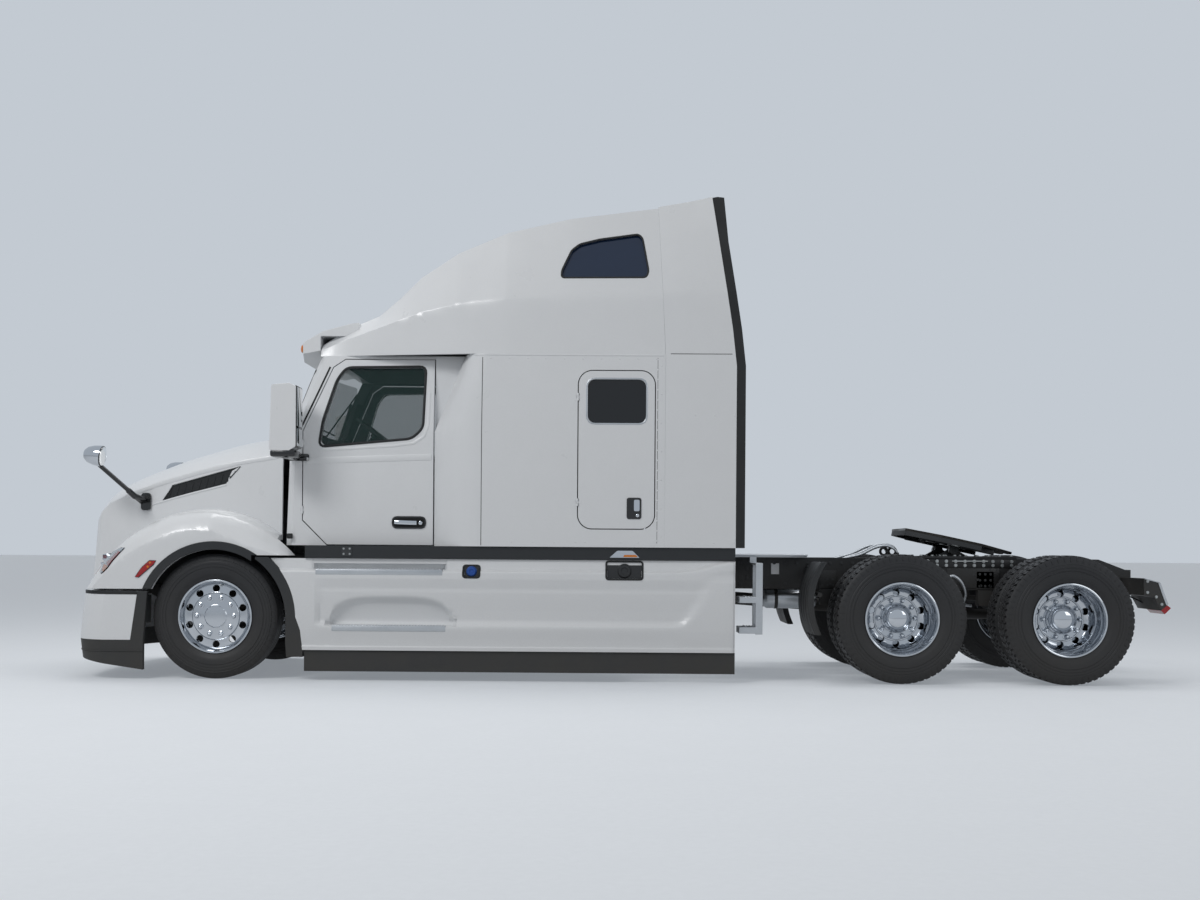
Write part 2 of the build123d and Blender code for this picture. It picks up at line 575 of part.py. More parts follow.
def front_band(z, setback, back_end, inset=0):
    """The band's plan: bowed front, swept corners, straight sides."""
    nose = FRONT_OVERHANG - setback
    loops = []
    for cut in (0, SKIN):
        half = HALF_WIDTH - 2 - inset - cut
        tip = nose - inset - cut
        loops.append([(back_end, -half), (tip - 330, -half), (tip - 165, -half + 100), (tip - 72, -half + 290),
                      (tip, 0), (tip - 72, half - 290), (tip - 165, half - 100), (tip - 330, half), (back_end, half)])
    outer, inner = [[Vector(x, y, z) for x, y in loop] for loop in loops]
    wires = [Edge.make_line(outer[0], outer[1]), Edge.make_three_point_arc(*outer[1:4]),
             Edge.make_three_point_arc(*outer[3:6]), Edge.make_three_point_arc(*outer[5:8]),
             Edge.make_line(outer[7], outer[8]), Edge.make_line(outer[8], inner[8]),
             Edge.make_line(inner[8], inner[7]), Edge.make_three_point_arc(inner[7], inner[6], inner[5]),
             Edge.make_three_point_arc(inner[5], inner[4], inner[3]),
             Edge.make_three_point_arc(inner[3], inner[2], inner[1]), Edge.make_line(inner[1], inner[0]),
             Edge.make_line(inner[0], outer[0])]
    return Wire(wires)


bumper = ruled([front_band(z, setback, BUMPER_BACK) for z, setback in BUMPER_ROWS])
bumper -= side_prism(Polyline((BUMPER_BACK - 50, HOOD_FOOT), (BUMPER_BACK, HOOD_FOOT - 8), (655, BUMPER_FOOT),
                              (655, BUMPER_FOOT - 50), (BUMPER_BACK - 50, BUMPER_FOOT - 50), close=True), -BEYOND, BEYOND)
bumper -= front_prism(polygon(((-380, 400), (380, 400), (380, 590), (-380, 590)), 40), 900, 1300)
bumper_stays = both(box(RAIL_FRONT, FRONT_OVERHANG - 70, RAIL_IN + 10, RAIL_OUT, 610, 690))
bumper += bumper_stays - box(FRONT_OVERHANG - 90, FRONT_OVERHANG, -600, 600, 0, 2000)
bumper += both(box(RAIL_FRONT, RAIL_FRONT + 30, RAIL_IN + 10, RAIL_OUT, 610, RAIL_TOP - 20))
for way in (1, -1):
    y = way * HOOD_HINGE_Y
    bumper -= box(NOSE_X - 80, NOSE_X + 80, y - 18, y + 18, HOOD_PIVOT[1] - 2 * HOOD_EYE_R, 800)
    for ear in (y - 29, y + 18):
        bumper += box(HOOD_PIVOT[0] - 10, HOOD_PIVOT[0] + 8, ear, ear + 11, HOOD_FOOT - 30, HOOD_PIVOT[1] + 10)
    bumper += axle_disc(*HOOD_PIVOT, HOOD_PIN_R, y - 29, y + 29)
air_dam = ruled([front_band(BUMPER_FOOT, 0, 552), front_band(DAM_FOOT, 30, 552)])
air_dam -= side_prism(Polyline((FRONT_OVERHANG + 50, 180), (552, DAM_FOOT), (552, -50), (FRONT_OVERHANG + 50, -50),
                               close=True), -BEYOND, BEYOND)
bumper_trim = side_prism(Polyline((552, BUMPER_FOOT), (655, BUMPER_FOOT), (BUMPER_BACK, HOOD_FOOT - 8),
                                  (522, HOOD_FOOT - 8), close=True), HALF_WIDTH - 2 - SKIN, HALF_WIDTH - 2)
air_dam += both(bumper_trim)

# Side fairings
STEPS = ((816, 871, -1816, -789), (376, 640, -1850, -927))      # low z, high z, low x, high x of each recess
FAIRING_WALL = 50
SEAM_DEPTH = 12
# low x, high x, low z, high z, depth: the side filler's recess and the fuel filler's pocket
FAIRING_POCKETS = ((-2099, -1979, 825, 911, 32), (-3386, -3108, 818, 950, 42))
FILLER = (-2039, 868)
FILLER_R = 36
STEP_DEPTH = 120
FAIRING_BACK = EXTENDER_BACK
# Above the ledge and inside the scoop the face lies deeper; both rise to the rear
LEDGE_Z = 870
LEDGE_DEPTH = 30
LEDGE_POINTS = ((-600, LEDGE_Z), (FAIRING_BACK + 521, LEDGE_Z), (FAIRING_BACK + 350, 880), (FAIRING_BACK + 192, 919),
                (FAIRING_BACK + 81, 945), (FAIRING_BACK + 81, BELT_Z + 20), (-600, BELT_Z + 20))
SCOOP_DEPTH = 26
SCOOP_POINTS = ((-830, 455), (FAIRING_BACK + 481, 455), (FAIRING_BACK + 428, 470), (FAIRING_BACK + 350, 530),
                (FAIRING_BACK + 271, 640), (FAIRING_BACK + 192, 790), (-830, 790))
fairing_outline = Polyline((FAIRING_BACK, SKIRT_TOP), (-700, SKIRT_TOP), (-300, SKIRT_TOP), (-300, BELT_Z),
                           (FAIRING_BACK, BELT_Z), close=True)
fairing = side_prism(fairing_outline, HALF_WIDTH - FAIRING_WALL, HALF_WIDTH)
fairing += box(-2000, -720, HALF_WIDTH - FAIRING_WALL - STEP_DEPTH, HALF_WIDTH - FAIRING_WALL, 330, BELT_Z)
fairing += box(FAIRING_BACK, -720, HALF_WIDTH - 220, HALF_WIDTH - FAIRING_WALL, BELT_Z - 40, BELT_Z)
fairing -= axle_disc(0, ARCH_Z, FAIRING_R, HALF_WIDTH - 320, BEYOND)
fairing -= side_prism(Polyline((0, 500), (-FAIRING_R, 500), (-690, 397), (-707, SKIRT_TOP), (-707, SKIRT_TOP - 20),
                               (0, SKIRT_TOP - 20), close=True), HALF_WIDTH - 320, BEYOND)
for z0, z1, x0, x1 in STEPS:
    pocket = side_prism(polygon(((x0, z0), (x1, z0), (x1, z1), (x0, z1)), 25), HALF_WIDTH - STEP_DEPTH, BEYOND)
    fairing -= pocket
fairing -= side_prism(polygon(LEDGE_POINTS), HALF_WIDTH - LEDGE_DEPTH, BEYOND)
fairing -= side_prism(polygon(SCOOP_POINTS), HALF_WIDTH - SCOOP_DEPTH, BEYOND)
fairing -= box(FAIRING_JOINT - PANEL_GAP / 2, FAIRING_JOINT + PANEL_GAP / 2, HALF_WIDTH - SEAM_DEPTH, BEYOND, 0, 2000)
for x0, x1, z0, z1, depth in FAIRING_POCKETS:
    fairing -= side_prism(polygon(((x0, z0), (x1, z0), (x1, z1), (x0, z1)), 14), HALF_WIDTH - depth, BEYOND)
fairing += axle_disc(*FILLER, FILLER_R, HALF_WIDTH - FAIRING_POCKETS[0][4] - 1, HALF_WIDTH - 8)
fairing_arms = [box(x - 30, x + 30, RAIL_OUT, HALF_WIDTH - FAIRING_WALL, 860, 920) for x in (-1000, -2080, -3520)]
for arm in fairing_arms:
    fairing += arm
side_fairings = both(fairing)

# Belts, skirts and rear arch trims
sill = box(EXTENDER_BACK, -720, HALF_WIDTH - 220, HALF_WIDTH - 20, BELT_Z, FLOOR_Z)
sill += box(FAIRING_BACK, -719, HALF_WIDTH - 40, HALF_WIDTH - 20, SKIRT_BOTTOM, SKIRT_TOP)
rear_trim = ring(0, ARCH_Z, 572, FAIRING_R, HALF_WIDTH - 135, HALF_WIDTH - 5)
rear_trim &= box(-800, -330, 0, BEYOND, 500, BELT_Z + 5)
rear_trim += side_prism(Polyline((-572, 500), (-FAIRING_R, 500), (-690, 397), (-707, SKIRT_TOP), (-707, 184),
                                 (-581, 184), (-572, 300), close=True), HALF_WIDTH - 135, HALF_WIDTH - 5)
sill_trim = both(sill) + both(rear_trim)

# Frame
def rail(side):
    """One C-shaped rail with a tapered tail."""
    outline = Polyline((RAIL_FRONT, RAIL_BOTTOM), (RAIL_FRONT, RAIL_TOP), (RAIL_BACK + 250, RAIL_TOP),
                       (RAIL_BACK, RAIL_TOP - 95), (RAIL_BACK, RAIL_TOP - 155), (RAIL_BACK + 250, RAIL_BOTTOM),
                       close=True)
    inner = Polyline((RAIL_FRONT + 1, RAIL_BOTTOM + RAIL_WALL), (RAIL_FRONT + 1, RAIL_TOP - RAIL_WALL),
                     (RAIL_BACK + 250, RAIL_TOP - RAIL_WALL), (RAIL_BACK + 30, RAIL_TOP - 105),
                     (RAIL_BACK + 30, RAIL_TOP - 145), (RAIL_BACK + 250, RAIL_BOTTOM + RAIL_WALL), close=True)
    bar = side_prism(outline, RAIL_IN, RAIL_OUT) - side_prism(inner, RAIL_IN - 1, RAIL_OUT - RAIL_WALL)
    return bar if side > 0 else mirror(bar, about=Plane.XZ)


frame_rails = rail(1) + rail(-1)
CROSSMEMBERS = (820, -1650, -2900, -4300, AXLE_2 + 420, (AXLE_2 + AXLE_3) / 2, AXLE_3 - 420)
members = None
for x in CROSSMEMBERS:
    member = box(x - 60, x + 60, -RAIL_OUT + RAIL_WALL, RAIL_OUT - RAIL_WALL, RAIL_TOP - 150, RAIL_TOP - 30)
    member -= box(x - 50, x + 70, -RAIL_OUT, RAIL_OUT, RAIL_TOP - 140, RAIL_TOP - 40)
    members = member if members is None else members + member
crossmembers = members

# Engine with its gearbox and radiator
ENGINE = (-440, 620, 330, 640, 1460)        # back, front, half width, foot, top
engine = box(ENGINE[0], ENGINE[1], -ENGINE[2], ENGINE[2], ENGINE[3], ENGINE[4])
engine += box(ENGINE[0] - 850, ENGINE[0], -200, 200, 640, 1000)
engine += both(box(350, 500, ENGINE[2], RAIL_OUT - RAIL_WALL, 800, 900))
radiator = box(880, 960, -470, 470, RAIL_TOP, 1390)
engine_block = engine + radiator
GEARBOX_BACK = ENGINE[0] - 850

# Driveshaft from the gearbox to the first drive axle, and on to the second
SHAFT_R = 55
PINION = 300                # from an axle's middle to its pinion flange
SHAFT_POINTS = ((GEARBOX_BACK, 780), (GEARBOX_BACK - 140, 780), (-3300, 700), (AXLE_2 + PINION, DRIVE_R + 60))
driveshaft = rod((AXLE_2 - PINION, 0, DRIVE_R), (AXLE_3 + PINION, 0, DRIVE_R), 45)
for start, end in zip(SHAFT_POINTS, SHAFT_POINTS[1:]):
    driveshaft += rod((start[0], 0, start[1]), (end[0], 0, end[1]), SHAFT_R)
for x, z in SHAFT_POINTS[1:3]:
    driveshaft += Pos(x, 0, z) * Sphere(75)

# Front axle: a dropped beam with kingpin eyes
beam_outline = Polyline((-KINGPIN_Y, STEER_R - 60), (-600, STEER_R - 60), (-480, 350), (480, 350), (600, STEER_R - 60),
                        (KINGPIN_Y, STEER_R - 60), (KINGPIN_Y, STEER_R + 60), (560, STEER_R + 60), (430, 450),
                        (-430, 450), (-560, STEER_R + 60), (-KINGPIN_Y, STEER_R + 60), close=True)
beam = front_prism(beam_outline, -AXLE_HALF, AXLE_HALF)
beam -= both(box(-60, 60, KINGPIN_Y - 10, KINGPIN_Y + 80, 0, 1000))
eye = Pos(0, KINGPIN_Y, STEER_R) * Cylinder(AXLE_HALF, 120)
front_axle = beam + both(eye)
front_axle -= both(Pos(0, KINGPIN_Y, STEER_R) * Cylinder(KINGPIN_R + RUNNING, 200))
front_axle += both(box(-AXLE_HALF, AXLE_HALF, 375, 430, 450, 480))

SPRING_Y = (375, 465)
spring_lower = ThreePointArc((-720, 650), (0, 480), (720, 650))
spring_upper = ThreePointArc((720, 700), (0, 530), (-720, 700))
leaf = side_prism([spring_lower, Line((720, 650), (720, 700)), spring_upper, Line((-720, 700), (-720, 650))],
                  *SPRING_Y)
leaf += box(650, 760, *SPRING_Y, 655, RAIL_BOTTOM)
leaf += box(-760, -650, *SPRING_Y, 655, RAIL_BOTTOM)
front_springs = both(leaf)

# Knuckles, with the steering arms pointing back from the kingpins
LUG_GAP = 5
low_lug = STEER_R - 60 - LUG_GAP
high_lug = STEER_R + 60 + LUG_GAP
knuckle = Pos(0, KINGPIN_Y, (low_lug + high_lug) / 2) * Cylinder(KINGPIN_R, high_lug - low_lug + 60)
for z0 in (low_lug - 32, high_lug):
    knuckle += plan_prism(polygon(((-38, KINGPIN_Y - 38), (38, KINGPIN_Y - 38), (38, KINGPIN_Y + 72),
                                   (-38, KINGPIN_Y + 72)), 20), z0, z0 + 32)
knuckle += box(-38, 38, KINGPIN_Y + 52, KINGPIN_Y + 72, low_lug - 32, high_lug + 32)
knuckle += axle_disc(0, STEER_R, SPINDLE_R, KINGPIN_Y + 72, STEER_Y + 65)
knuckle += box(-ARM, 0, KINGPIN_Y - 20, KINGPIN_Y + 20, low_lug - 32, low_lug)
knuckle += Pos(-ARM, KINGPIN_Y, low_lug - 16) * Cylinder(26, 32)
knuckle += Pos(-ARM, KINGPIN_Y, low_lug - 60) * Cylinder(12, 60)
tie_z = low_lug - 64
tie_rod = axle_disc(-ARM, tie_z, 14, -KINGPIN_Y + 25, KINGPIN_Y - 25)
for side, slack in ((1, RUNNING), (-1, 0.8)):
    tie_rod += Pos(-ARM, side * KINGPIN_Y, tie_z) * Cylinder(28, 36)
    tie_rod -= Pos(-ARM, side * KINGPIN_Y, tie_z) * Cylinder(12 + slack, 80)


# Wheels
def spun(points, x, z):
    """A closed outline of (across, radius) spun about the axle."""
    face = make_face(Polyline(*[(r, y) for y, r in points], close=True))
    return Pos(x, 0, z) * revolve(face, Axis.Y, 360)


def tyre(middle, radius, x):
    """(across from the middle, radius), from the outer bead over the tread to the inner bead."""
    rows = [(0.80, BEAD_R), (0.97, BEAD_R + 60), (1.0, BEAD_R + 110), (0.93, radius - 45), (0.83, radius - 12),
            (0.55, radius)]
    outer = [(middle + share * TYRE_HALF, r) for share, r in rows]
    inner = [(middle - share * TYRE_HALF, r) for share, r in reversed(rows)]
    return spun(outer + inner, x, radius)


HAND_HOLES = 10
HAND_HOLE_R = 27
RIM_WALL = 9
rim_r = BEAD_R - SEAT


def barrel(middle):
    """Half a wheel's rim outline, (across, radius), outer side first."""
    half = 0.8 * TYRE_HALF
    return [(middle + half + 12, rim_r + 9), (middle + half, rim_r), (middle + 60, rim_r), (middle + 40, rim_r - 24),
            (middle - 40, rim_r - 24), (middle - 60, rim_r), (middle - half, rim_r), (middle - half - 12, rim_r + 9)]


def rim_ring(middle, x, z):
    outer = barrel(middle)
    inner = [(y, r - RIM_WALL) for y, r in reversed(outer)]
    return spun(outer + inner, x, z)


def hand_holes(x, z, pitch_r, y0, y1, start=18):
    """The ring of round openings in a wheel's disc."""
    holes = None
    for i in range(HAND_HOLES):
        turn = radians(start + 360 / HAND_HOLES * i)
        hole = axle_disc(x + pitch_r * cos(turn), z + pitch_r * sin(turn), HAND_HOLE_R, y0, y1)
        holes = hole if holes is None else holes + hole
    return holes


def steer_rim():
    """Front wheel: the disc lies close behind the outer lip."""
    x, z = 0, STEER_R
    shape = rim_ring(STEER_Y, x, z)
    face_y = STEER_Y + 85
    shape += spun([(face_y - 60, rim_r - 28), (face_y - 50, rim_r - 28), (face_y, 190), (face_y, 0),
                   (face_y - 14, 0), (face_y - 14, 186), (face_y - 74, rim_r - 28)], x, z)
    shape -= hand_holes(x, z, 205, face_y - 80, face_y + 5)
    shape += spun([(face_y + 40, 0), (face_y + 40, 60), (face_y + 12, 95), (face_y, 95), (face_y - 150, 95),
                   (face_y - 150, SPINDLE_R + RUNNING), (face_y - 5, SPINDLE_R + RUNNING), (face_y - 5, 0)], x, z)
    return shape


def drive_rim(x):
    """Twin wheels on one hub: both discs meet between them."""
    z = DRIVE_R
    seat_y = sum(DUAL_Y) / 2
    shape = rim_ring(DUAL_Y[0], x, z) + rim_ring(DUAL_Y[1], x, z)
    for way, middle in zip((1, -1), DUAL_Y):
        foot = middle - way * (0.8 * TYRE_HALF - 8)
        shape += spun([(foot, rim_r - 5), (foot + way * 12, rim_r - 5), (seat_y + way * 14, 170),
                       (seat_y + way * 14, 90), (seat_y, 90), (seat_y, 176)], x, z)
    shape += spun([(seat_y + 150, 0), (seat_y + 150, 70), (seat_y + 120, 88), (seat_y + 60, 110), (seat_y + 14, 130),
                   (seat_y - 90, 130), (seat_y - 150, 100), (seat_y - 150, SPINDLE_R + RUNNING),
                   (seat_y + 95, SPINDLE_R + RUNNING), (seat_y + 95, 0)], x, z)
    shape -= hand_holes(x, z, 200, seat_y - 60, seat_y + 60)
    return shape


# Drive axles: a housing with the final drive and a spindle at each end
axles = None
for x in (AXLE_2, AXLE_3):
    seat_y = sum(DUAL_Y) / 2
    housing = Pos(x, 0, DRIVE_R) * Sphere(215)
    housing += axle_disc(x, DRIVE_R, 85, -520, 520)
    housing += axle_disc(x, DRIVE_R, SPINDLE_R, -(seat_y + 85), seat_y + 85)
    axles = housing if axles is None else axles + housing
shaft_way = (Vector(*SHAFT_POINTS[3], 0) - Vector(*SHAFT_POINTS[2], 0)).normalized() * 150
axles += rod((SHAFT_POINTS[3][0] + shaft_way.X, 0, SHAFT_POINTS[3][1] + shaft_way.Y),
             (SHAFT_POINTS[3][0], 0, SHAFT_POINTS[3][1]), 80)
axles += rod((AXLE_2 - 100, 0, DRIVE_R), (AXLE_2 - PINION, 0, DRIVE_R), 70)
axles += rod((AXLE_3 + 100, 0, DRIVE_R), (AXLE_3 + PINION, 0, DRIVE_R), 70)
drive_axles = axles

# Rear suspension: a hanger, a trailing arm and an air spring at each wheel
ARM_Y = (RAIL_IN + 5, RAIL_OUT + 15)
AIR_SPRING_R = 110
AIR_SPRING_X = -330         # behind its axle
PAD_Z = 505
HANGER_X = 480
suspension = None
for x in (AXLE_2, AXLE_3):
    arm_foot, arm_top = DRIVE_R + 85.3, DRIVE_R + 150
    unit = side_prism(Polyline((x + HANGER_X + 40, arm_foot), (x + HANGER_X + 40, arm_top), (x - 60, arm_top),
                               (x + AIR_SPRING_X + 90, PAD_Z), (x + AIR_SPRING_X - 90, PAD_Z),
                               (x + AIR_SPRING_X - 90, PAD_Z - 35), (x + AIR_SPRING_X + 60, PAD_Z - 35),
                               (x - 120, arm_foot), close=True), *ARM_Y)
    unit += box(x + HANGER_X - 60, x + HANGER_X + 60, *ARM_Y, arm_foot, RAIL_BOTTOM)
    pad = Pos(x + AIR_SPRING_X, (ARM_Y[0] + ARM_Y[1]) / 2, 0)
    for z0, z1, radius in ((PAD_Z - 5, PAD_Z + 20, 85), (PAD_Z + 20, PAD_Z + 100, AIR_SPRING_R),
                           (PAD_Z + 100, PAD_Z + 110, 95), (PAD_Z + 110, RAIL_BOTTOM - 12, AIR_SPRING_R),
                           (RAIL_BOTTOM - 12, RAIL_BOTTOM, 80)):
        unit += pad * (Pos(0, 0, (z0 + z1) / 2) * Cylinder(radius, z1 - z0))
    suspension = unit if suspension is None else suspension + unit
rear_suspension = both(suspension)

# Fuel tanks behind the fairings, on brackets from the rails
TANK_R = (HALF_WIDTH - RAIL_OUT - 148) / 2
TANK = (SLEEPER_BACK + 160, -2160, RAIL_OUT + 38 + TANK_R, 620, TANK_R)       # back, front, across, height, radius
tank = rod((TANK[0], TANK[2], TANK[3]), (TANK[1], TANK[2], TANK[3]), TANK[4])
for x in (TANK[0] + 250, TANK[1] - 250):
    tank += box(x - 40, x + 40, RAIL_OUT, TANK[2], TANK[3] + 120, TANK[3] + 200)
fuel_tanks = both(tank)

# Rear deck behind the sleeper with a two-step ladder on the left
DECK = (EXTENDER_BACK - 639, EXTENDER_BACK - 19)        # back, front
LADDER = (EXTENDER_BACK - 224, EXTENDER_BACK - 168)     # back and front of its posts
LADDER_OUT = HALF_WIDTH - 85
LADDER_FOOT = 383
deck = box(*DECK, -HALF_WIDTH + 600, HALF_WIDTH - 600, RAIL_TOP, RAIL_TOP + 25)
ladder = box(*LADDER, LADDER_OUT - 15, LADDER_OUT, LADDER_FOOT, 950)
ladder += box(*LADDER, HALF_WIDTH - 620, LADDER_OUT, 935, 950)
ladder += box(*LADDER, HALF_WIDTH - 620, HALF_WIDTH - 600, 935, RAIL_TOP + 1)
ladder += box(*LADDER, LADDER_OUT - 275, LADDER_OUT - 260, LADDER_FOOT, 950)
for low, high in ((390, 440), (632, 680)):
    ladder += box(LADDER[0] + 15, LADDER[1] + 129, LADDER_OUT - 275, LADDER_OUT, low, high)
rear_deck = deck + ladder

# Quarter fenders ahead of the first drive axle
Q_Y = (HALF_WIDTH - 620, HALF_WIDTH - 30)
Q_TOP, Q_MID, Q_FOOT = AXLE_2 + 640, AXLE_2 + 742, AXLE_2 + 684      # the band's front side
Q_WALL = 45
quarter_arc = [ThreePointArc((Q_TOP, 961), (Q_MID, 620), (Q_FOOT, 384)), Line((Q_FOOT, 384), (Q_FOOT - Q_WALL, 384)),
               ThreePointArc((Q_FOOT - Q_WALL, 384), (Q_MID - Q_WALL, 620), (Q_TOP - Q_WALL, 961)),
               Line((Q_TOP - Q_WALL, 961), (Q_TOP, 961))]
quarter = side_prism(quarter_arc, *Q_Y)
quarter += axle_disc(Q_TOP + 10, 880, 28, RAIL_OUT, Q_Y[0] + 40)
quarter_fenders = both(quarter)

# Fifth wheel: the plate rocks on a cross pin in the base and rests tail down
FIFTH_X = AXLE_2 - 600
FIFTH_Z = 1068
PLATE_TILT = 12
PIN_R = 25
PLATE_TOP = 95              # plate's face above the pin, when level
PLATE_WALL = 20
RIB = 25                    # depth of the ribs under the plate
MOUTH_HALF = 27
PLATE_POINTS = ((430, -300), (430, 300), (150, 450), (-200, 450), (-520, 200), (-520, 70), (-170, MOUTH_HALF),
                (-170, -MOUTH_HALF), (-520, -70), (-520, -200), (-200, -450), (150, -450))
KINGPIN_BORE = 25.5
BASE_TOP = RAIL_TOP + 20
plate = plan_prism(Polyline(*PLATE_POINTS, close=True), PLATE_TOP - PLATE_WALL, PLATE_TOP)
plate += box(-180, 200, -380, 380, PLATE_TOP - PLATE_WALL - RIB, PLATE_TOP - PLATE_WALL)
plate += both(box(-38, 38, 300, 340, -32, PLATE_TOP - PLATE_WALL - 5))
plate -= plan_prism(Polyline((-600, -MOUTH_HALF), (-170, -MOUTH_HALF), (0, -KINGPIN_BORE), (0, KINGPIN_BORE),
                             (-170, MOUTH_HALF), (-600, MOUTH_HALF), close=True), -100, PLATE_TOP + 10)
plate -= Cylinder(KINGPIN_BORE, 300)
plate -= both(axle_disc(0, 0, PIN_R + RUNNING, 250, 400))
fifth_wheel_plate = Pos(FIFTH_X, 0, FIFTH_Z) * Rot(0, -PLATE_TILT, 0) * plate

bracket = side_prism(Polyline((FIFTH_X - 130, BASE_TOP), (FIFTH_X + 130, BASE_TOP), (FIFTH_X + 36, FIFTH_Z),
                              (FIFTH_X + 24, FIFTH_Z + 32), (FIFTH_X - 24, FIFTH_Z + 32), (FIFTH_X - 36, FIFTH_Z),
                              close=True), 225, 280)
base = box(FIFTH_X - 500, FIFTH_X + 500, -RAIL_OUT - 20, RAIL_OUT + 20, RAIL_TOP, BASE_TOP)
fifth_wheel_base = base + both(bracket) + both(axle_disc(FIFTH_X, FIFTH_Z, PIN_R, 225, 345))

# Tail bar with its lamps
tail_bar = box(RAIL_BACK - 20, RAIL_BACK, -RAIL_OUT, RAIL_OUT, RAIL_TOP - 165, RAIL_TOP - 85)
TAIL_ARM_OUT = HALF_WIDTH - 260
tail_arm = side_prism(Polyline((RAIL_BACK + 60, 849), (RAIL_BACK - 65, 818), (RAIL_BACK - 130, 633),
                               (RAIL_BACK - 80, 590), (RAIL_BACK - 20, 697), (RAIL_BACK + 60, 712), close=True),
                      RAIL_OUT, TAIL_ARM_OUT)
tail_bar += both(tail_arm)
tail_lamps = both(side_prism(Polyline((RAIL_BACK - 80, 590), (RAIL_BACK - 130, 633), (AXLE_3 - REAR_OVERHANG, 610),
                                      (RAIL_BACK - 110, 560), close=True), TAIL_ARM_OUT - 320, TAIL_ARM_OUT))

# Mirrors
mirror_head = side_prism(polygon(((-692, 1830), (-692, 2300), (-640, 2323), (-500, 2310), (-485, 1799), (-640, 1799)),
                                 15), CAB_HALF + 155, CAB_HALF + 365)
mirror_arm = box(-620, -570, CAB_HALF - 12, CAB_HALF + 225, 1745, 1799)
mirror_arm += box(-620, -570, CAB_HALF + 175, CAB_HALF + 225, 1745, 1800)
mirror_arm -= cab_outer
cab_mirrors = both(mirror_head + mirror_arm)

HOOD_HEAD = (925, HALF_WIDTH - 130, 1765)      # middle of the glass, which faces back
HEAD_R = 82
dome = Polyline((0, 0), (HEAD_R, 0), (HEAD_R, 20), (0.93 * HEAD_R, 70), (0.75 * HEAD_R, 115), (0.45 * HEAD_R, 142),
                (0, 152), close=True)
hood_mirror = Pos(*HOOD_HEAD) * Rot(0, 82, 0) * revolve(Plane.XZ * make_face(dome), Axis.Z, 360)
hood_arm = rod((990, HOOD_HEAD[1], HOOD_HEAD[2] - 35), (760, HALF_WIDTH - 260, 1500), 18)
hood_arm += Pos(760, HALF_WIDTH - 260, 1500) * Sphere(22)
hood_arm += rod((760, HALF_WIDTH - 260, 1500), (700, HALF_WIDTH - 480, 1400), 22)
hood_mirrors = both((hood_mirror + hood_arm) - hood_outer)

# Inside the cab
DASH_BACK = -880
WHEEL_CENTRE = (-1190, 520, 1990)
WHEEL_TILT = 38
SHAFT_TIP_R = 12            # the column's tip inside the wheel's hub
dash_outline = Polyline((-575, 1350), (-575, 1900), (-700, 1900), (DASH_BACK, 1830), (DASH_BACK, 1500),
                        (-700, 1350), close=True)
dash = cab_solid(CAB_WALL) & side_prism(dash_outline, -CAB_HALF + 95, CAB_HALF - 95)
column_way = Vector(sin(radians(WHEEL_TILT)), 0, -cos(radians(WHEEL_TILT)))
wheel_mid = Vector(*WHEEL_CENTRE)
column_top = wheel_mid + column_way * 50
column_end = wheel_mid + column_way * 330
column = rod(tuple(column_top), tuple(column_end), 40)
column += rod(tuple(wheel_mid + column_way * 10), tuple(column_end), SHAFT_TIP_R)
pedestals = both(box(-1650, -1350, 380, 660, FLOOR_Z + 60, 1480))
column_stay = box(-1000, DASH_BACK, 490, 550, 1690, 1790)
cab_interior = dash + column + column_stay + pedestals
BUNK_FRONT = -2780
BUNK_Z = 1480
bunk_back = SLEEPER_BACK + SLEEPER_WALL
cab_interior += box(bunk_back + 100, BUNK_FRONT - 60, -620, 620, FLOOR_Z + 60, BUNK_Z - 40)
cab_interior += box(bunk_back, BUNK_FRONT, -HALF_WIDTH + 120, HALF_WIDTH - 120, BUNK_Z - 40, BUNK_Z)

wheel_plane = Plane(WHEEL_CENTRE, z_dir=(-column_way.X, 0, -column_way.Z))
grip = Torus(212, 15)
hub = Pos(0, 0, -22) * Cylinder(55, 50) - Pos(0, 0, -29) * Cylinder(SHAFT_TIP_R + RUNNING, 40)
spokes = Pos(0, 0, -6) * (Box(16, 410, 14) + Pos(-100, 0, 0) * Box(200, 30, 14))
spokes -= Pos(0, 0, -29) * Cylinder(SHAFT_TIP_R + RUNNING, 40)
steering_wheel = wheel_plane * (grip + hub + spokes)

SEAT_Y = 520
seats = None
for side in (1, -1):
    y = side * SEAT_Y
    cushion = box(-1740, -1230, y - 260, y + 260, 1480.3, 1600)
    back = Pos(-1800, y, 1945.4) * Rot(0, -12, 0) * Box(120, 500, 700)
    pair = cushion + back
    seats = pair if seats is None else seats + pair

mattress = box(bunk_back + SEAT, BUNK_FRONT, -HALF_WIDTH + 125, HALF_WIDTH - 125, BUNK_Z + SEAT, BUNK_Z + 150)
seats += mattress

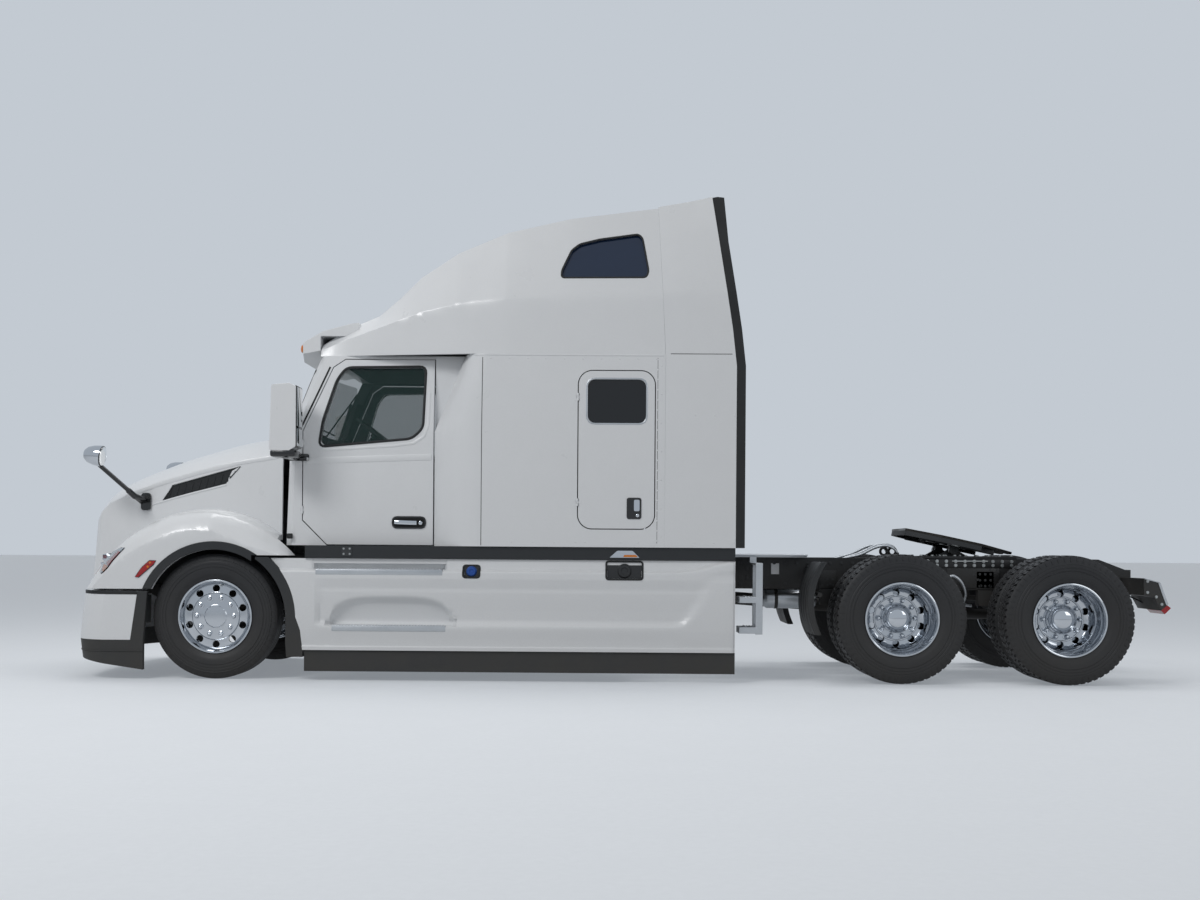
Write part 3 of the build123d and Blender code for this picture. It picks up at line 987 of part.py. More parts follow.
# Every node: name and shape
nodes = {
    "frame_rails": frame_rails, "crossmembers": crossmembers, "engine_block": engine_block,
    "driveshaft": driveshaft, "front_axle": front_axle, "front_springs": front_springs, "tie_rod": tie_rod,
    "drive_axles": drive_axles, "rear_suspension": rear_suspension, "fuel_tanks": fuel_tanks,
    "rear_deck": rear_deck, "quarter_fenders": quarter_fenders, "fifth_wheel_base": fifth_wheel_base,
    "fifth_wheel_plate": fifth_wheel_plate, "tail_bar": tail_bar, "tail_lamps": tail_lamps,
    "bumper": bumper, "air_dam": air_dam, "hood": hood, "grille": grille, "headlamps": headlamps,
    "arch_trims": arch_trims, "hood_mirrors": hood_mirrors, "cab_shell": cab_shell, "windshield": windshield,
    "visor": visor, "cab_mirrors": cab_mirrors, "cab_interior": cab_interior, "steering_wheel": steering_wheel,
    "seats": seats, "sleeper_shell": sleeper_shell, "roof_fairing": roof_fairing,
    "loft_windows": loft_windows[0] + loft_windows[1], "side_extenders": side_extenders,
    "extender_edges": extender_edges, "side_fairings": side_fairings, "sill_trim": sill_trim,
}
for name in ("left", "right"):
    nodes["cab_door_" + name] = doors[name]
    nodes["door_glass_" + name] = door_glass[name]
    nodes["bunk_door_" + name] = bunk_doors[name]
    nodes["bunk_glass_" + name] = bunk_glass[name]
wheels = {
    "front": (tyre(STEER_Y, STEER_R, 0), steer_rim()),
    "middle": (tyre(DUAL_Y[0], DRIVE_R, AXLE_2) + tyre(DUAL_Y[1], DRIVE_R, AXLE_2), drive_rim(AXLE_2)),
    "rear": (tyre(DUAL_Y[0], DRIVE_R, AXLE_3) + tyre(DUAL_Y[1], DRIVE_R, AXLE_3), drive_rim(AXLE_3)),
}
for place, (rubber, rim) in wheels.items():
    nodes["tyre_" + place + "_left"], nodes["rim_" + place + "_left"] = rubber, rim
    nodes["tyre_" + place + "_right"] = mirror(rubber, about=Plane.XZ)
    nodes["rim_" + place + "_right"] = mirror(rim, about=Plane.XZ)
nodes["knuckle_left"] = knuckle
nodes["knuckle_right"] = mirror(knuckle, about=Plane.XZ)

os.makedirs("parts", exist_ok=True)
for name, shape in nodes.items():
    export_step(Pos(ORIGIN_SHIFT, 0, 0) * shape, "parts/" + name + ".step")
print(len(nodes), "nodes")
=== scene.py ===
"""Semi truck tractor unit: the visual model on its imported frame.

Metres, +X forward, +Y left, +Z up. Places along the truck are written as millimetres from the front
axle and from the ground, and spot() turns them into the frame's metres.
"""
import json
import math

import bmesh
import bpy
from mathutils import Matrix, Vector
from mathutils.bvhtree import BVHTree


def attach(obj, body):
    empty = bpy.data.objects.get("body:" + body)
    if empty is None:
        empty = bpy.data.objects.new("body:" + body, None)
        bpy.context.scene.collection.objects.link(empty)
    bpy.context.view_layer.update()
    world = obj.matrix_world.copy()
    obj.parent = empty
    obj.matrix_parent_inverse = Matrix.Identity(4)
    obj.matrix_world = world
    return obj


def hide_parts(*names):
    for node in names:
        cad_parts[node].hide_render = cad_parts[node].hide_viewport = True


bl_info = {
    "name": "Semi truck tractor unit",
    "version": (1, 0, 0),
    "blender": (4, 5, 0),
    "location": "3D View > Sidebar > Tractor",
    "description": "Dresses the packed tractor unit with its panels, trim, wheels and materials",
    "category": "Object",
}

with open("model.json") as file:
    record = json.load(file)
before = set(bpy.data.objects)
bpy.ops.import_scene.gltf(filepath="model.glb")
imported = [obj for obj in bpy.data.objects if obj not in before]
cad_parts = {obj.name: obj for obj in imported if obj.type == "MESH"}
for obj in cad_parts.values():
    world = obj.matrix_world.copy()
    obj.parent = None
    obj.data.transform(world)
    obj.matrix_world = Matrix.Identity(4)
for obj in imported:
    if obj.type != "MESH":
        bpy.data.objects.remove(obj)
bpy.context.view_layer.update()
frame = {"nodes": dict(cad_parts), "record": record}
AXLE_TO_MIDDLE = 3212.75    # front axle ahead of the frame's X = 0
SIDES = (("left", 1), ("right", -1))
ORIGIN, AHEAD, BACK = Vector((0, 0, 0)), Vector((1, 0, 0)), Vector((-1, 0, 0))
LEFT, UP = Vector((0, 1, 0)), Vector((0, 0, 1))
CREASE = 32     # degrees: faces that meet at more keep a crease


def spot(x, y, z):
    """A place in the frame's metres from millimetres, X counted from the front axle."""
    return Vector(((x + AXLE_TO_MIDDLE) / 1000, y / 1000, z / 1000))


def linear(code):
    """An sRGB hex colour as linear red, green, blue and alpha."""
    parts = [int(code[i:i + 2], 16) / 255 for i in (1, 3, 5)]
    return tuple(c / 12.92 if c <= 0.04045 else ((c + 0.055) / 1.055) ** 2.4 for c in parts) + (1.0,)


def colour(name, code, words):
    """A colour that a user may change."""
    return bpy.props.FloatVectorProperty(name=name, description=words, subtype="COLOR", size=4, min=0, max=1,
                                         default=linear(code))


class PaintSettings(bpy.types.PropertyGroup):
    body: colour("Body paint", "#E6E8EA", "Topcoat on hood, cab, sleeper and fairings")
    trim: colour("Grained trim", "#1E2124", "Moulded black trim on belts, skirts and arches")
    chassis: colour("Chassis paint", "#17181A", "Enamel on rails, axles and brackets")
    interior: colour("Interior", "#3A3B3D", "Dashboard and door linings")
    seat: colour("Seat cloth", "#55585C", "Woven cover of the seats")
    cap: colour("Tank cap", "#1F4FA0", "Cap of the side filler")


class WheelSettings(bpy.types.PropertyGroup):
    nuts: bpy.props.IntProperty(name="Nuts", description="Wheel nuts on each hub", default=10, min=5, max=12)
    pitches: bpy.props.IntProperty(name="Tread pitches", description="Lugs round a drive tyre", default=60, min=20,
                                   max=90)
    groove: bpy.props.FloatProperty(name="Groove depth", description="Depth of the tread grooves", default=0.012,
                                    min=0.004, max=0.02, unit="LENGTH")


class TrimSettings(bpy.types.PropertyGroup):
    rivet: bpy.props.FloatProperty(name="Rivet head", description="Radius of a body rivet's head", default=0.007,
                                   min=0.002, max=0.01, unit="LENGTH")
    pitch: bpy.props.FloatProperty(name="Rivet pitch", description="Distance between body rivets", default=0.15,
                                   min=0.05, max=0.3, unit="LENGTH")
    edge: bpy.props.FloatProperty(name="Panel edge", description="Rounding of the panels' edges", default=0.003,
                                  min=0.001, max=0.01, unit="LENGTH")


class StageSettings(bpy.types.PropertyGroup):
    floor: colour("Floor", "#C6C8CA", "Plain floor under the truck")
    backdrop: colour("Backdrop", "#C3CAD2", "What the camera sees behind the truck")


SETTINGS = {"tractor_paint": PaintSettings, "tractor_wheels": WheelSettings, "tractor_trim": TrimSettings,
            "tractor_stage": StageSettings}


def add(tree, kind, inputs=None, **settings):
    """Adds a node with its settings; an input is a value or the output that feeds it."""
    new = tree.nodes.new(kind)
    for key, value in settings.items():
        setattr(new, key, value)
    for key, value in (inputs or {}).items():
        if isinstance(value, bpy.types.NodeSocket):
            tree.links.new(value, new.inputs[key])
        else:
            new.inputs[key].default_value = value
    return new


materials = {}


def finish(name, base, roughness, metallic=0.0, grain=1.5, relief=0.0, mottle=0.06, wear=0.06, dust=0.0, shader=None,
           stretch=(1, 1, 1)):
    """A surface with grain (millimetres), relief (millimetres), mottled colour, uneven gloss and road dust."""
    material = bpy.data.materials.new(name)
    material.use_nodes = True
    tree = material.node_tree
    tree.nodes.clear()
    place = add(tree, "ShaderNodeTexCoord").outputs["Object"]
    stretched = add(tree, "ShaderNodeMapping", {"Vector": place, "Scale": stretch}).outputs["Vector"]
    fine = add(tree, "ShaderNodeTexNoise", {"Vector": stretched, "Scale": 1000 / grain, "Detail": 3.0})
    broad = add(tree, "ShaderNodeTexNoise", {"Vector": place, "Scale": 3.2, "Detail": 5.0, "Roughness": 0.6})
    blend = add(tree, "ShaderNodeMath", {0: fine.outputs["Fac"], 1: broad.outputs["Fac"]}, operation="MULTIPLY")
    dark = tuple(c * (1 - mottle) for c in base[:3]) + (1.0,)
    light = tuple(min(1.0, c * (1 + mottle)) for c in base[:3]) + (1.0,)
    tone = add(tree, "ShaderNodeMapRange", {"Value": blend.outputs[0], "From Min": 0.12, "From Max": 0.38})
    tint = add(tree, "ShaderNodeMix", {"Factor": tone.outputs[0], "A": dark, "B": light}, data_type="RGBA")
    skin_colour = tint.outputs["Result"]
    rough = add(tree, "ShaderNodeMapRange", {"Value": broad.outputs["Fac"], "From Min": 0.3, "From Max": 0.7,
                                             "To Min": max(0.02, roughness - wear),
                                             "To Max": min(1.0, roughness + wear)}).outputs[0]
    if dust:
        height = add(tree, "ShaderNodeSeparateXYZ", {"Vector": place}).outputs["Z"]
        low = add(tree, "ShaderNodeMapRange", {"Value": height, "From Min": 1.0, "From Max": 0.0, "To Max": dust})
        patch = add(tree, "ShaderNodeMath", {0: low.outputs[0], 1: broad.outputs["Fac"]}, operation="MULTIPLY")
        dusty = add(tree, "ShaderNodeMix", {"Factor": patch.outputs[0], "A": skin_colour, "B": linear("#8D867B")},
                    data_type="RGBA")
        skin_colour = dusty.outputs["Result"]
        rough = add(tree, "ShaderNodeMath", {0: rough, 1: patch.outputs[0]}, operation="ADD",
                    use_clamp=True).outputs[0]
    inputs = {"Base Color": skin_colour, "Roughness": rough, "Metallic": metallic}
    if relief:
        bump = add(tree, "ShaderNodeBump", {"Height": fine.outputs["Fac"], "Distance": relief / 1000,
                                            "Strength": 1.0})
        inputs["Normal"] = bump.outputs["Normal"]
    inputs.update(shader or {})
    body = add(tree, "ShaderNodeBsdfPrincipled", inputs)
    add(tree, "ShaderNodeOutputMaterial", {"Surface": body.outputs[0]})
    materials[name] = material
    return material


def make_materials():
    """Every finish on the truck, named for what it really is."""
    paint = bpy.context.scene.tractor_paint
    # two-stage polyurethane enamel: bright white under a clear coat, with a trace of orange peel
    finish("white_enamel", paint.body, 0.32, grain=9, relief=0.012, mottle=0.012, wear=0.05,
           shader={"Coat Weight": 0.6, "Coat Roughness": 0.14, "IOR": 1.5})
    # the same enamel low on the chassis, where road film dulls it
    finish("white_enamel_low", paint.body, 0.36, grain=9, relief=0.012, mottle=0.02, wear=0.08, dust=0.22,
           shader={"Coat Weight": 0.5, "Coat Roughness": 0.2, "IOR": 1.5})
    # injection-moulded polypropylene with a leather-like grain: dull, slightly greyed by sun and dust
    finish("grained_polypropylene", paint.trim, 0.58, grain=1.6, relief=0.12, mottle=0.16, wear=0.1, dust=0.25)
    # gloss black ABS, as moulded
    finish("gloss_abs", linear("#101113"), 0.22, grain=4, relief=0.004, mottle=0.05, wear=0.05,
           shader={"Coat Weight": 0.4, "Coat Roughness": 0.08})
    # expanded mesh of black polypropylene, drawn as a fine rough weave
    finish("vent_mesh", linear("#1C1E20"), 0.75, grain=5, relief=1.2, mottle=0.5, wear=0.05)
    # chassis enamel sprayed over rolled steel, filmed with dust
    finish("chassis_enamel", paint.chassis, 0.48, grain=3, relief=0.05, mottle=0.25, wear=0.14, dust=0.5)
    # sand-cast iron, painted dull grey
    finish("cast_iron", linear("#3B3D3F"), 0.62, metallic=0.3, grain=1.2, relief=0.2, mottle=0.2, wear=0.1, dust=0.4)
    # forged aluminium, machine polished: bright with a faint turning pattern
    finish("polished_aluminium", linear("#BCC0C5"), 0.12, metallic=1.0, grain=0.8, relief=0.001, mottle=0.02,
           wear=0.06)
    # mill-finish aluminium sheet and extrusions
    finish("mill_aluminium", linear("#B9BCBF"), 0.36, metallic=1.0, grain=1.5, relief=0.02, mottle=0.08, wear=0.1,
           dust=0.15, stretch=(0.05, 1, 1))
    # chromium plating on ABS
    finish("chrome_plate", linear("#C4C8CD"), 0.05, metallic=1.0, grain=3, mottle=0.02, wear=0.03)
    # carbon-black tyre compound, greyed by use
    finish("tyre_rubber", linear("#191A1D"), 0.56, grain=1.4, relief=0.08, mottle=0.2, wear=0.1, dust=0.14)
    # EPDM seals and edge strips
    finish("epdm_rubber", linear("#1B1C1D"), 0.7, grain=1.2, relief=0.06, mottle=0.15, wear=0.08)
    # cast steel top plate under a film of grease
    finish("greased_steel", linear("#2A2825"), 0.3, metallic=0.7, grain=14, relief=0.5, mottle=0.4, wear=0.18)
    # soft-touch vinyl over foam
    finish("interior_vinyl", paint.interior, 0.62, grain=1.0, relief=0.12, mottle=0.1, wear=0.06)
    # flat-woven polyester, about 1 mm yarns
    finish("woven_polyester", paint.seat, 0.88, grain=1.1, relief=0.3, mottle=0.25, wear=0.04,
           shader={"Sheen Weight": 0.3, "Sheen Roughness": 0.5})
    # needled felt headliner
    finish("headliner_felt", linear("#77787A"), 0.95, grain=1.0, relief=0.3, mottle=0.12, wear=0.03)
    # tempered float glass, lightly tinted green
    finish("float_glass", linear("#1E3D39"), 0.03, grain=60, mottle=0.02, wear=0.01,
           shader={"Alpha": 0.32, "IOR": 1.52})
    # privacy glass on sleeper and loft, almost black
    finish("privacy_glass", linear("#0D1116"), 0.04, grain=60, mottle=0.02, wear=0.01, shader={"IOR": 1.52})
    # bluish tinted loft pane
    finish("loft_glass", linear("#1A2A44"), 0.05, grain=60, mottle=0.02, wear=0.01, shader={"IOR": 1.52})
    # moulded polycarbonate and acrylic lenses
    finish("clear_polycarbonate", linear("#D5DCE2"), 0.05, grain=40, mottle=0.01, wear=0.01,
           shader={"Alpha": 0.28, "IOR": 1.58})
    finish("amber_acrylic", linear("#E07A10"), 0.12, grain=6, mottle=0.08, wear=0.03,
           shader={"IOR": 1.49, "Subsurface Weight": 0.2, "Coat Weight": 0.5})
    finish("red_acrylic", linear("#A80F14"), 0.12, grain=6, mottle=0.08, wear=0.03,
           shader={"IOR": 1.49, "Subsurface Weight": 0.2, "Coat Weight": 0.5})
    # silvered mirror glass
    finish("silvered_glass", linear("#EDEFF0"), 0.02, metallic=1.0, grain=50, mottle=0.01, wear=0.005)
    # rotomoulded blue polyethylene
    finish("blue_polyethylene", paint.cap, 0.45, grain=2, relief=0.05, mottle=0.08, wear=0.06)
    # zinc-plated fasteners
    finish("zinc_plate", linear("#A9ABAA"), 0.34, metallic=1.0, grain=2, relief=0.02, mottle=0.12, wear=0.1)
    # painted shade: flat black for the gaps between panels and for grooves and recesses, where shade falls; the gauge
    # faces use it as their own black
    finish("shadow_black", linear("#0A0A0B"), 0.9, grain=4, mottle=0.1, wear=0.02)


def cad_copy(node, name):
    """A merged copy of a CAD node's mesh as a new object at the origin."""
    source = frame["nodes"][node]
    mesh = source.data.copy()
    mesh.name = name
    piece = bpy.data.objects.new(name, mesh)
    bpy.context.collection.objects.link(piece)
    piece.matrix_world = Matrix.Identity(4)
    work = bmesh.new()
    work.from_mesh(mesh)
    bmesh.ops.remove_doubles(work, verts=work.verts, dist=2e-5)
    bmesh.ops.dissolve_limit(work, angle_limit=math.radians(0.4), verts=work.verts, edges=work.edges)
    work.to_mesh(mesh)
    work.free()
    return piece


def dress(piece, material):
    """Gives a piece one material in place of any it has."""
    piece.data.materials.clear()
    piece.data.materials.append(materials[material])
    return piece


def soften(piece, angle):
    """Smooth shading with creases where faces meet at more than the angle in degrees."""
    for face in piece.data.polygons:
        face.use_smooth = True
    piece.data.set_sharp_from_angle(angle=math.radians(angle))


def settle(piece):
    """Applies a piece's modifiers, so that its mesh is final."""
    shape = bpy.data.meshes.new_from_object(piece.evaluated_get(bpy.context.evaluated_depsgraph_get()))
    shape.name = piece.name
    piece.modifiers.clear()
    piece.data = shape
    return piece


skins = {}

# Panels whose inside is lined: low and high x, low and high z of the line that it faces, and its finish
LININGS = {
    "cab_shell": ((-1600, -900, 1500, 2300), "interior_vinyl"),
    "sleeper_shell": ((-3300, -2000, 1400, 2400), "interior_vinyl"),
    "roof_fairing": ((-3300, -1800, 2300, 2900), "headliner_felt"),
    "cab_door_left": ((-1700, -700, 1000, 2600), "interior_vinyl"),
    "cab_door_right": ((-1700, -700, 1000, 2600), "interior_vinyl"),
    "hood": ((-200, 900, 700, 1100), "grained_polypropylene"),
}
FAIRED = ("hood", "roof_fairing", "sleeper_shell", "side_extenders", "cab_shell")


def fair(piece, pitch=0.06, rounds=9):
    """Divides a panel's broad faces and eases the shallow edges between them; sharp edges stay."""
    work = bmesh.new()
    work.from_mesh(piece.data)
    for axis in range(3):
        reach = [vert.co[axis] for vert in work.verts]
        slice_up(work, axis, spread(min(reach), max(reach), pitch))
    sharp = {vert for edge in work.edges
             if len(edge.link_faces) != 2 or edge.calc_face_angle(0) > math.radians(24) for vert in edge.verts}
    free = [vert for vert in work.verts if vert not in sharp]
    for i in range(rounds):
        bmesh.ops.smooth_vert(work, verts=free, factor=0.5, use_axis_x=True, use_axis_y=True, use_axis_z=True)
    work.to_mesh(piece.data)
    work.free()


def line_inside(piece, limits, material):
    """Gives the faces that look at a panel's inside their own finish."""
    piece.data.materials.append(materials[material])
    low, high = spot(limits[0], 0, limits[2]), spot(limits[1], 0, limits[3])
    for face in piece.data.polygons:
        centre = face.center
        middle = Vector((max(low.x, min(high.x, centre.x)), 0, max(low.z, min(high.z, centre.z))))
        if face.normal.dot((middle - centre).normalized()) > 0.3:
            face.material_index = 1


def skin(node, material, width):
    """Replaces a CAD node by its own shape with rounded edges and smooth shading."""
    piece = dress(cad_copy(node, node + "_skin"), material)
    if node in FAIRED:
        fair(piece)
    soften(piece, CREASE)
    bevel = piece.modifiers.new("edges", "BEVEL")
    bevel.width = bpy.context.scene.tractor_trim.edge if width is None else width
    bevel.segments = 2
    bevel.limit_method = "ANGLE"
    bevel.angle_limit = math.radians(CREASE + 8)
    flat = piece.modifiers.new("flat_panels", "WEIGHTED_NORMAL")
    flat.keep_sharp = True
    flat.weight = 80
    bpy.context.view_layer.update()
    settle(piece)
    if node in LININGS:
        line_inside(piece, *LININGS[node])
    skins[node] = piece
    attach(piece, body_of(node))
    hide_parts(node)
    return piece


def body_of(node):
    """The body that holds a CAD node."""
    bodies = frame["record"]["behaviour"]["bodies"]
    return next(body for body, nodes in bodies.items() if node in nodes)


def eased(points, radius, closed=True, steps=4):
    """An outline with its corners turned into short arcs; points are pairs."""
    rounded, count = [], len(points)
    for i, point in enumerate(points):
        if not closed and i in (0, count - 1):
            rounded.append(tuple(point))
            continue
        here = Vector(point)
        before, after = Vector(points[i - 1]) - here, Vector(points[(i + 1) % count]) - here
        reach = min(radius, before.length * 0.45, after.length * 0.45)
        start, end = here + before.normalized() * reach, here + after.normalized() * reach
        for k in range(steps + 1):
            t = k / steps
            rounded.append(tuple(start * (1 - t) ** 2 + here * 2 * t * (1 - t) + end * t * t))
    return rounded


def slab(low, high, corner):
    """The outline of a rectangle between two corners, rounded."""
    (x0, z0), (x1, z1) = low, high
    return eased(((x0, z0), (x1, z0), (x1, z1), (x0, z1)), corner)


def walk(points, pitch, closed=False):
    """Places along the runs of a line or outline of pairs, about a pitch apart."""
    points, places = list(points), []
    for start, end in zip(points, points[1:] + points[:closed]):
        count = max(1, int(math.dist(start, end) / pitch))
        places += [(start[0] + (end[0] - start[0]) * i / count, start[1] + (end[1] - start[1]) * i / count)
                   for i in range(count)]
    return places if closed else places + [points[-1]]


def widen(points, by):
    """A closed outline moved outwards by a distance."""
    area = sum(a[0] * b[1] - b[0] * a[1] for a, b in zip(points, points[1:] + points[:1]))
    turn = 1 if area > 0 else -1
    moved = []
    for i, point in enumerate(points):
        before, after = Vector(points[i - 1]), Vector(points[(i + 1) % len(points)])
        along = (after - before).normalized()
        moved.append((point[0] + along.y * by * turn, point[1] - along.x * by * turn))
    return moved


def arc(start, middle, end, steps):
    """Points along the circle through three points in a plane."""
    (ax, ay), (bx, by), (cx, cy) = start, middle, end
    d = 2 * (ax * (by - cy) + bx * (cy - ay) + cx * (ay - by))
    ux = ((ax * ax + ay * ay) * (by - cy) + (bx * bx + by * by) * (cy - ay) + (cx * cx + cy * cy) * (ay - by)) / d
    uy = ((ax * ax + ay * ay) * (cx - bx) + (bx * bx + by * by) * (ax - cx) + (cx * cx + cy * cy) * (bx - ax)) / d
    radius = math.dist((ax, ay), (ux, uy))
    first, mid, last = (math.atan2(y - uy, x - ux) for x, y in (start, middle, end))
    turn = (last - first) % math.tau
    if (mid - first) % math.tau > turn:
        turn -= math.tau
    return [(ux + radius * math.cos(first + turn * i / steps), uy + radius * math.sin(first + turn * i / steps))
            for i in range(steps + 1)]


def curl(points, steps=6):
    """A smooth line through points, each run divided into steps."""
    line, count = [], len(points)
    for i in range(count - 1):
        a, b, c, d = points[max(0, i - 1)], points[i], points[i + 1], points[min(count - 1, i + 2)]
        for k in range(steps):
            t = k / steps
            line.append(b + (c - a) * 0.5 * t + (a * 2 - b * 5 + c * 4 - d) * 0.5 * t * t
                        + (b * 3 - a - c * 3 + d) * 0.5 * t ** 3)
    return line + [points[-1]]


surfaces = {}


def surface(*nodes):
    """The nodes' faces, or their skins', as one tree that rays can meet."""
    if nodes not in surfaces:
        verts, faces = [], []
        for node in nodes:
            mesh = skins.get(node, frame["nodes"][node]).data
            start = len(verts)
            verts += [v.co.copy() for v in mesh.vertices]
            faces += [[start + i for i in face.vertices] for face in mesh.polygons]
        surfaces[nodes] = BVHTree.FromPolygons(verts, faces)
    return surfaces[nodes]


def land(nodes, origin, way, guess=None):
    """Where a ray from a place first meets the nodes, or else their nearest place to a guess, and the way out."""
    place, normal, face, distance = surface(*nodes).ray_cast(origin, way)
    if place is None and guess is not None:
        place, normal, face, distance = surface(*nodes).find_nearest(guess)
    if place is None:
        raise RuntimeError("no surface of %s from %s" % (nodes, tuple(round(c, 3) for c in origin)))
    return place, normal if normal.dot(way) < 0 else -normal


def beside(nodes, x, z, side):
    """The place on the truck's side at a station and a height, in the frame, with its outward direction."""
    return land(nodes, spot(x, side * 1700, z), Vector((0, -side, 0)))


def loose(name, work, material=None):
    """An object of a bmesh, its faces outward, that rides on nothing yet."""
    bmesh.ops.recalc_face_normals(work, faces=work.faces)
    mesh = bpy.data.meshes.new(name)
    work.to_mesh(mesh)
    work.free()
    piece = bpy.data.objects.new(name, mesh)
    bpy.context.collection.objects.link(piece)
    return dress(piece, material) if material else piece


def piece_of(name, work, material, body="chassis", angle=30, replaces=()):
    """Makes a finished object of a bmesh: one material, smooth with creases, riding on its body."""
    piece = loose(name, work, material)
    soften(piece, angle)
    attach(piece, body)
    if replaces:
        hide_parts(*replaces)
    return piece


def slice_up(work, axis, cuts):
    """Cuts every face along planes across one axis."""
    way = [0, 0, 0]
    way[axis] = 1
    for at in cuts:
        place = [0, 0, 0]
        place[axis] = at
        bmesh.ops.bisect_plane(work, geom=work.verts[:] + work.edges[:] + work.faces[:], plane_co=place, plane_no=way,
                               dist=1e-6)


def spread(low, high, pitch):
    """Evenly spaced cuts inside a range."""
    count = max(1, int((high - low) / pitch))
    return [low + (high - low) * i / count for i in range(1, count)]


def lay_plate(work, nodes, outline, side, lift, thick, pitch=60, inside=False):
    """Adds a plate, cut from an outline in X and Z, that follows the truck's side; all in millimetres."""
    start, out = (0.3, -side) if inside else (1.7, side)
    sheet = bmesh.new()
    face = sheet.faces.new([sheet.verts.new(spot(x, 0, z)) for x, z in outline])
    bmesh.ops.triangulate(sheet, faces=[face])
    xs, zs = [p[0] for p in outline], [p[1] for p in outline]
    slice_up(sheet, 0, [(x + AXLE_TO_MIDDLE) / 1000 for x in spread(min(xs), max(xs), pitch)])
    slice_up(sheet, 2, [z / 1000 for z in spread(min(zs), max(zs), pitch)])
    for vert in sheet.verts:
        place = surface(*nodes).ray_cast(Vector((vert.co.x, side * start, vert.co.z)), Vector((0, -out, 0)))[0]
        if place is None:
            place = surface(*nodes).find_nearest(Vector((vert.co.x, side * 1.1, vert.co.z)))[0]
        vert.co.y = place.y + out * lift / 1000
    stretched = bmesh.ops.extrude_face_region(sheet, geom=sheet.faces[:])
    for item in stretched["geom"]:
        if isinstance(item, bmesh.types.BMVert):
            item.co.y += out * thick / 1000
    pour(sheet, work)


def pour(source, target):
    """Adds one bmesh to another."""
    mesh = bpy.data.meshes.new("poured")
    source.to_mesh(mesh)
    source.free()
    target.from_mesh(mesh)
    bpy.data.meshes.remove(mesh)


def sweep(work, path, profile, ups, closed=False):
    """Adds a bar whose outline, pairs of (across, up) in metres, follows a path; ups points out of the surface."""
    count, rings = len(path), []
    for i, place in enumerate(path):
        before = path[i - 1] if closed or i else path[i]
        after = path[(i + 1) % count] if closed or i < count - 1 else path[i]
        along = (after - before).normalized()
        up = ups[i] if isinstance(ups, list) else ups
        up = (up - along * up.dot(along)).normalized()
        across = along.cross(up)
        rings.append([work.verts.new(place + across * a + up * b) for a, b in profile])
    for i in range(count if closed else count - 1):
        low, high = rings[i], rings[(i + 1) % count]
        for k in range(len(profile)):
            n = (k + 1) % len(profile)
            work.faces.new((low[k], low[n], high[n], high[k]))
    if not closed:
        work.faces.new(rings[0])
        work.faces.new(rings[-1][::-1])


def round_bar(radius, sides=8):
    """A round outline for sweep()."""
    return [(radius * math.cos(2 * math.pi * k / sides), radius * math.sin(2 * math.pi * k / sides))
            for k in range(sides)]


def flat_bar(across, high):
    """A rectangular outline for sweep(), from half its sizes."""
    return [(-across, -high), (across, -high), (across, high), (-across, high)]


def bead(wide, high, sunk=0.002):
    """The outline of a low strip with rounded shoulders, in metres, standing on a surface."""
    half = wide / 2
    return [(-half, -sunk), (-half, high * 0.45), (-half * 0.72, high * 0.88), (0, high), (half * 0.72, high * 0.88),
            (half, high * 0.45), (half, -sunk)]


def along_side(nodes, points, side, pitch=40, closed=False):
    """A path on the truck's side through points in X and Z, with the outward direction at each."""
    landed = [beside(nodes, x, z, side) for x, z in walk(points, pitch, closed)]
    return [place for place, up in landed], [up for place, up in landed]


def trim_line(work, nodes, points, side, profile, closed=False, pitch=40):
    """Adds a strip that follows the truck's side."""
    path, ups = along_side(nodes, points, side, pitch, closed)
    sweep(work, path, profile, ups, closed)


def strip(name, nodes, lines, side, shape, material, body="chassis", angle=40, closed=False, pitch=40):
    """Makes one piece of the strips that follow some lines on the truck's side."""
    work = bmesh.new()
    for points in lines:
        trim_line(work, nodes, points, side, shape, closed, pitch)
    return piece_of(name, work, material, body, angle)


def plate(name, nodes, outline, side, lift, thick, material, body="chassis", angle=40, pitch=60, inside=False):
    """Makes one piece of a plate that follows the truck's side."""
    work = bmesh.new()
    lay_plate(work, nodes, outline, side, lift, thick, pitch, inside)
    return piece_of(name, work, material, body, angle)


def lathe(work, outline, centre, segments=72):
    """Adds a body spun about an axis along Y; the outline is closed, in millimetres of (across, radius)."""
    rings = []
    for across, radius in outline:
        if radius < 0.01:
            rings.append([work.verts.new(centre + Vector((0, across / 1000, 0)))])
            continue
        rings.append([work.verts.new(centre + Vector((radius / 1000 * math.cos(2 * math.pi * k / segments),
                                                      across / 1000,
                                                      radius / 1000 * math.sin(2 * math.pi * k / segments))))
                      for k in range(segments)])
    for i in range(len(rings)):
        low, high = rings[i], rings[(i + 1) % len(rings)]
        if len(low) == 1 and len(high) == 1:
            continue
        for k in range(segments):
            n = (k + 1) % segments
            corners = [low[k % len(low)], low[n % len(low)], high[n % len(high)], high[k % len(high)]]
            work.faces.new(list(dict.fromkeys(corners)))


def spindle(work, outline, centre, way, segments=32):
    """Adds a body spun about any axis through a place; the outline is (along, radius) in millimetres."""
    part = bmesh.new()
    lathe(part, outline, ORIGIN, segments)
    part.transform(Matrix.Translation(centre) @ Vector(way).to_track_quat("Y", "Z").to_matrix().to_4x4())
    pour(part, work)


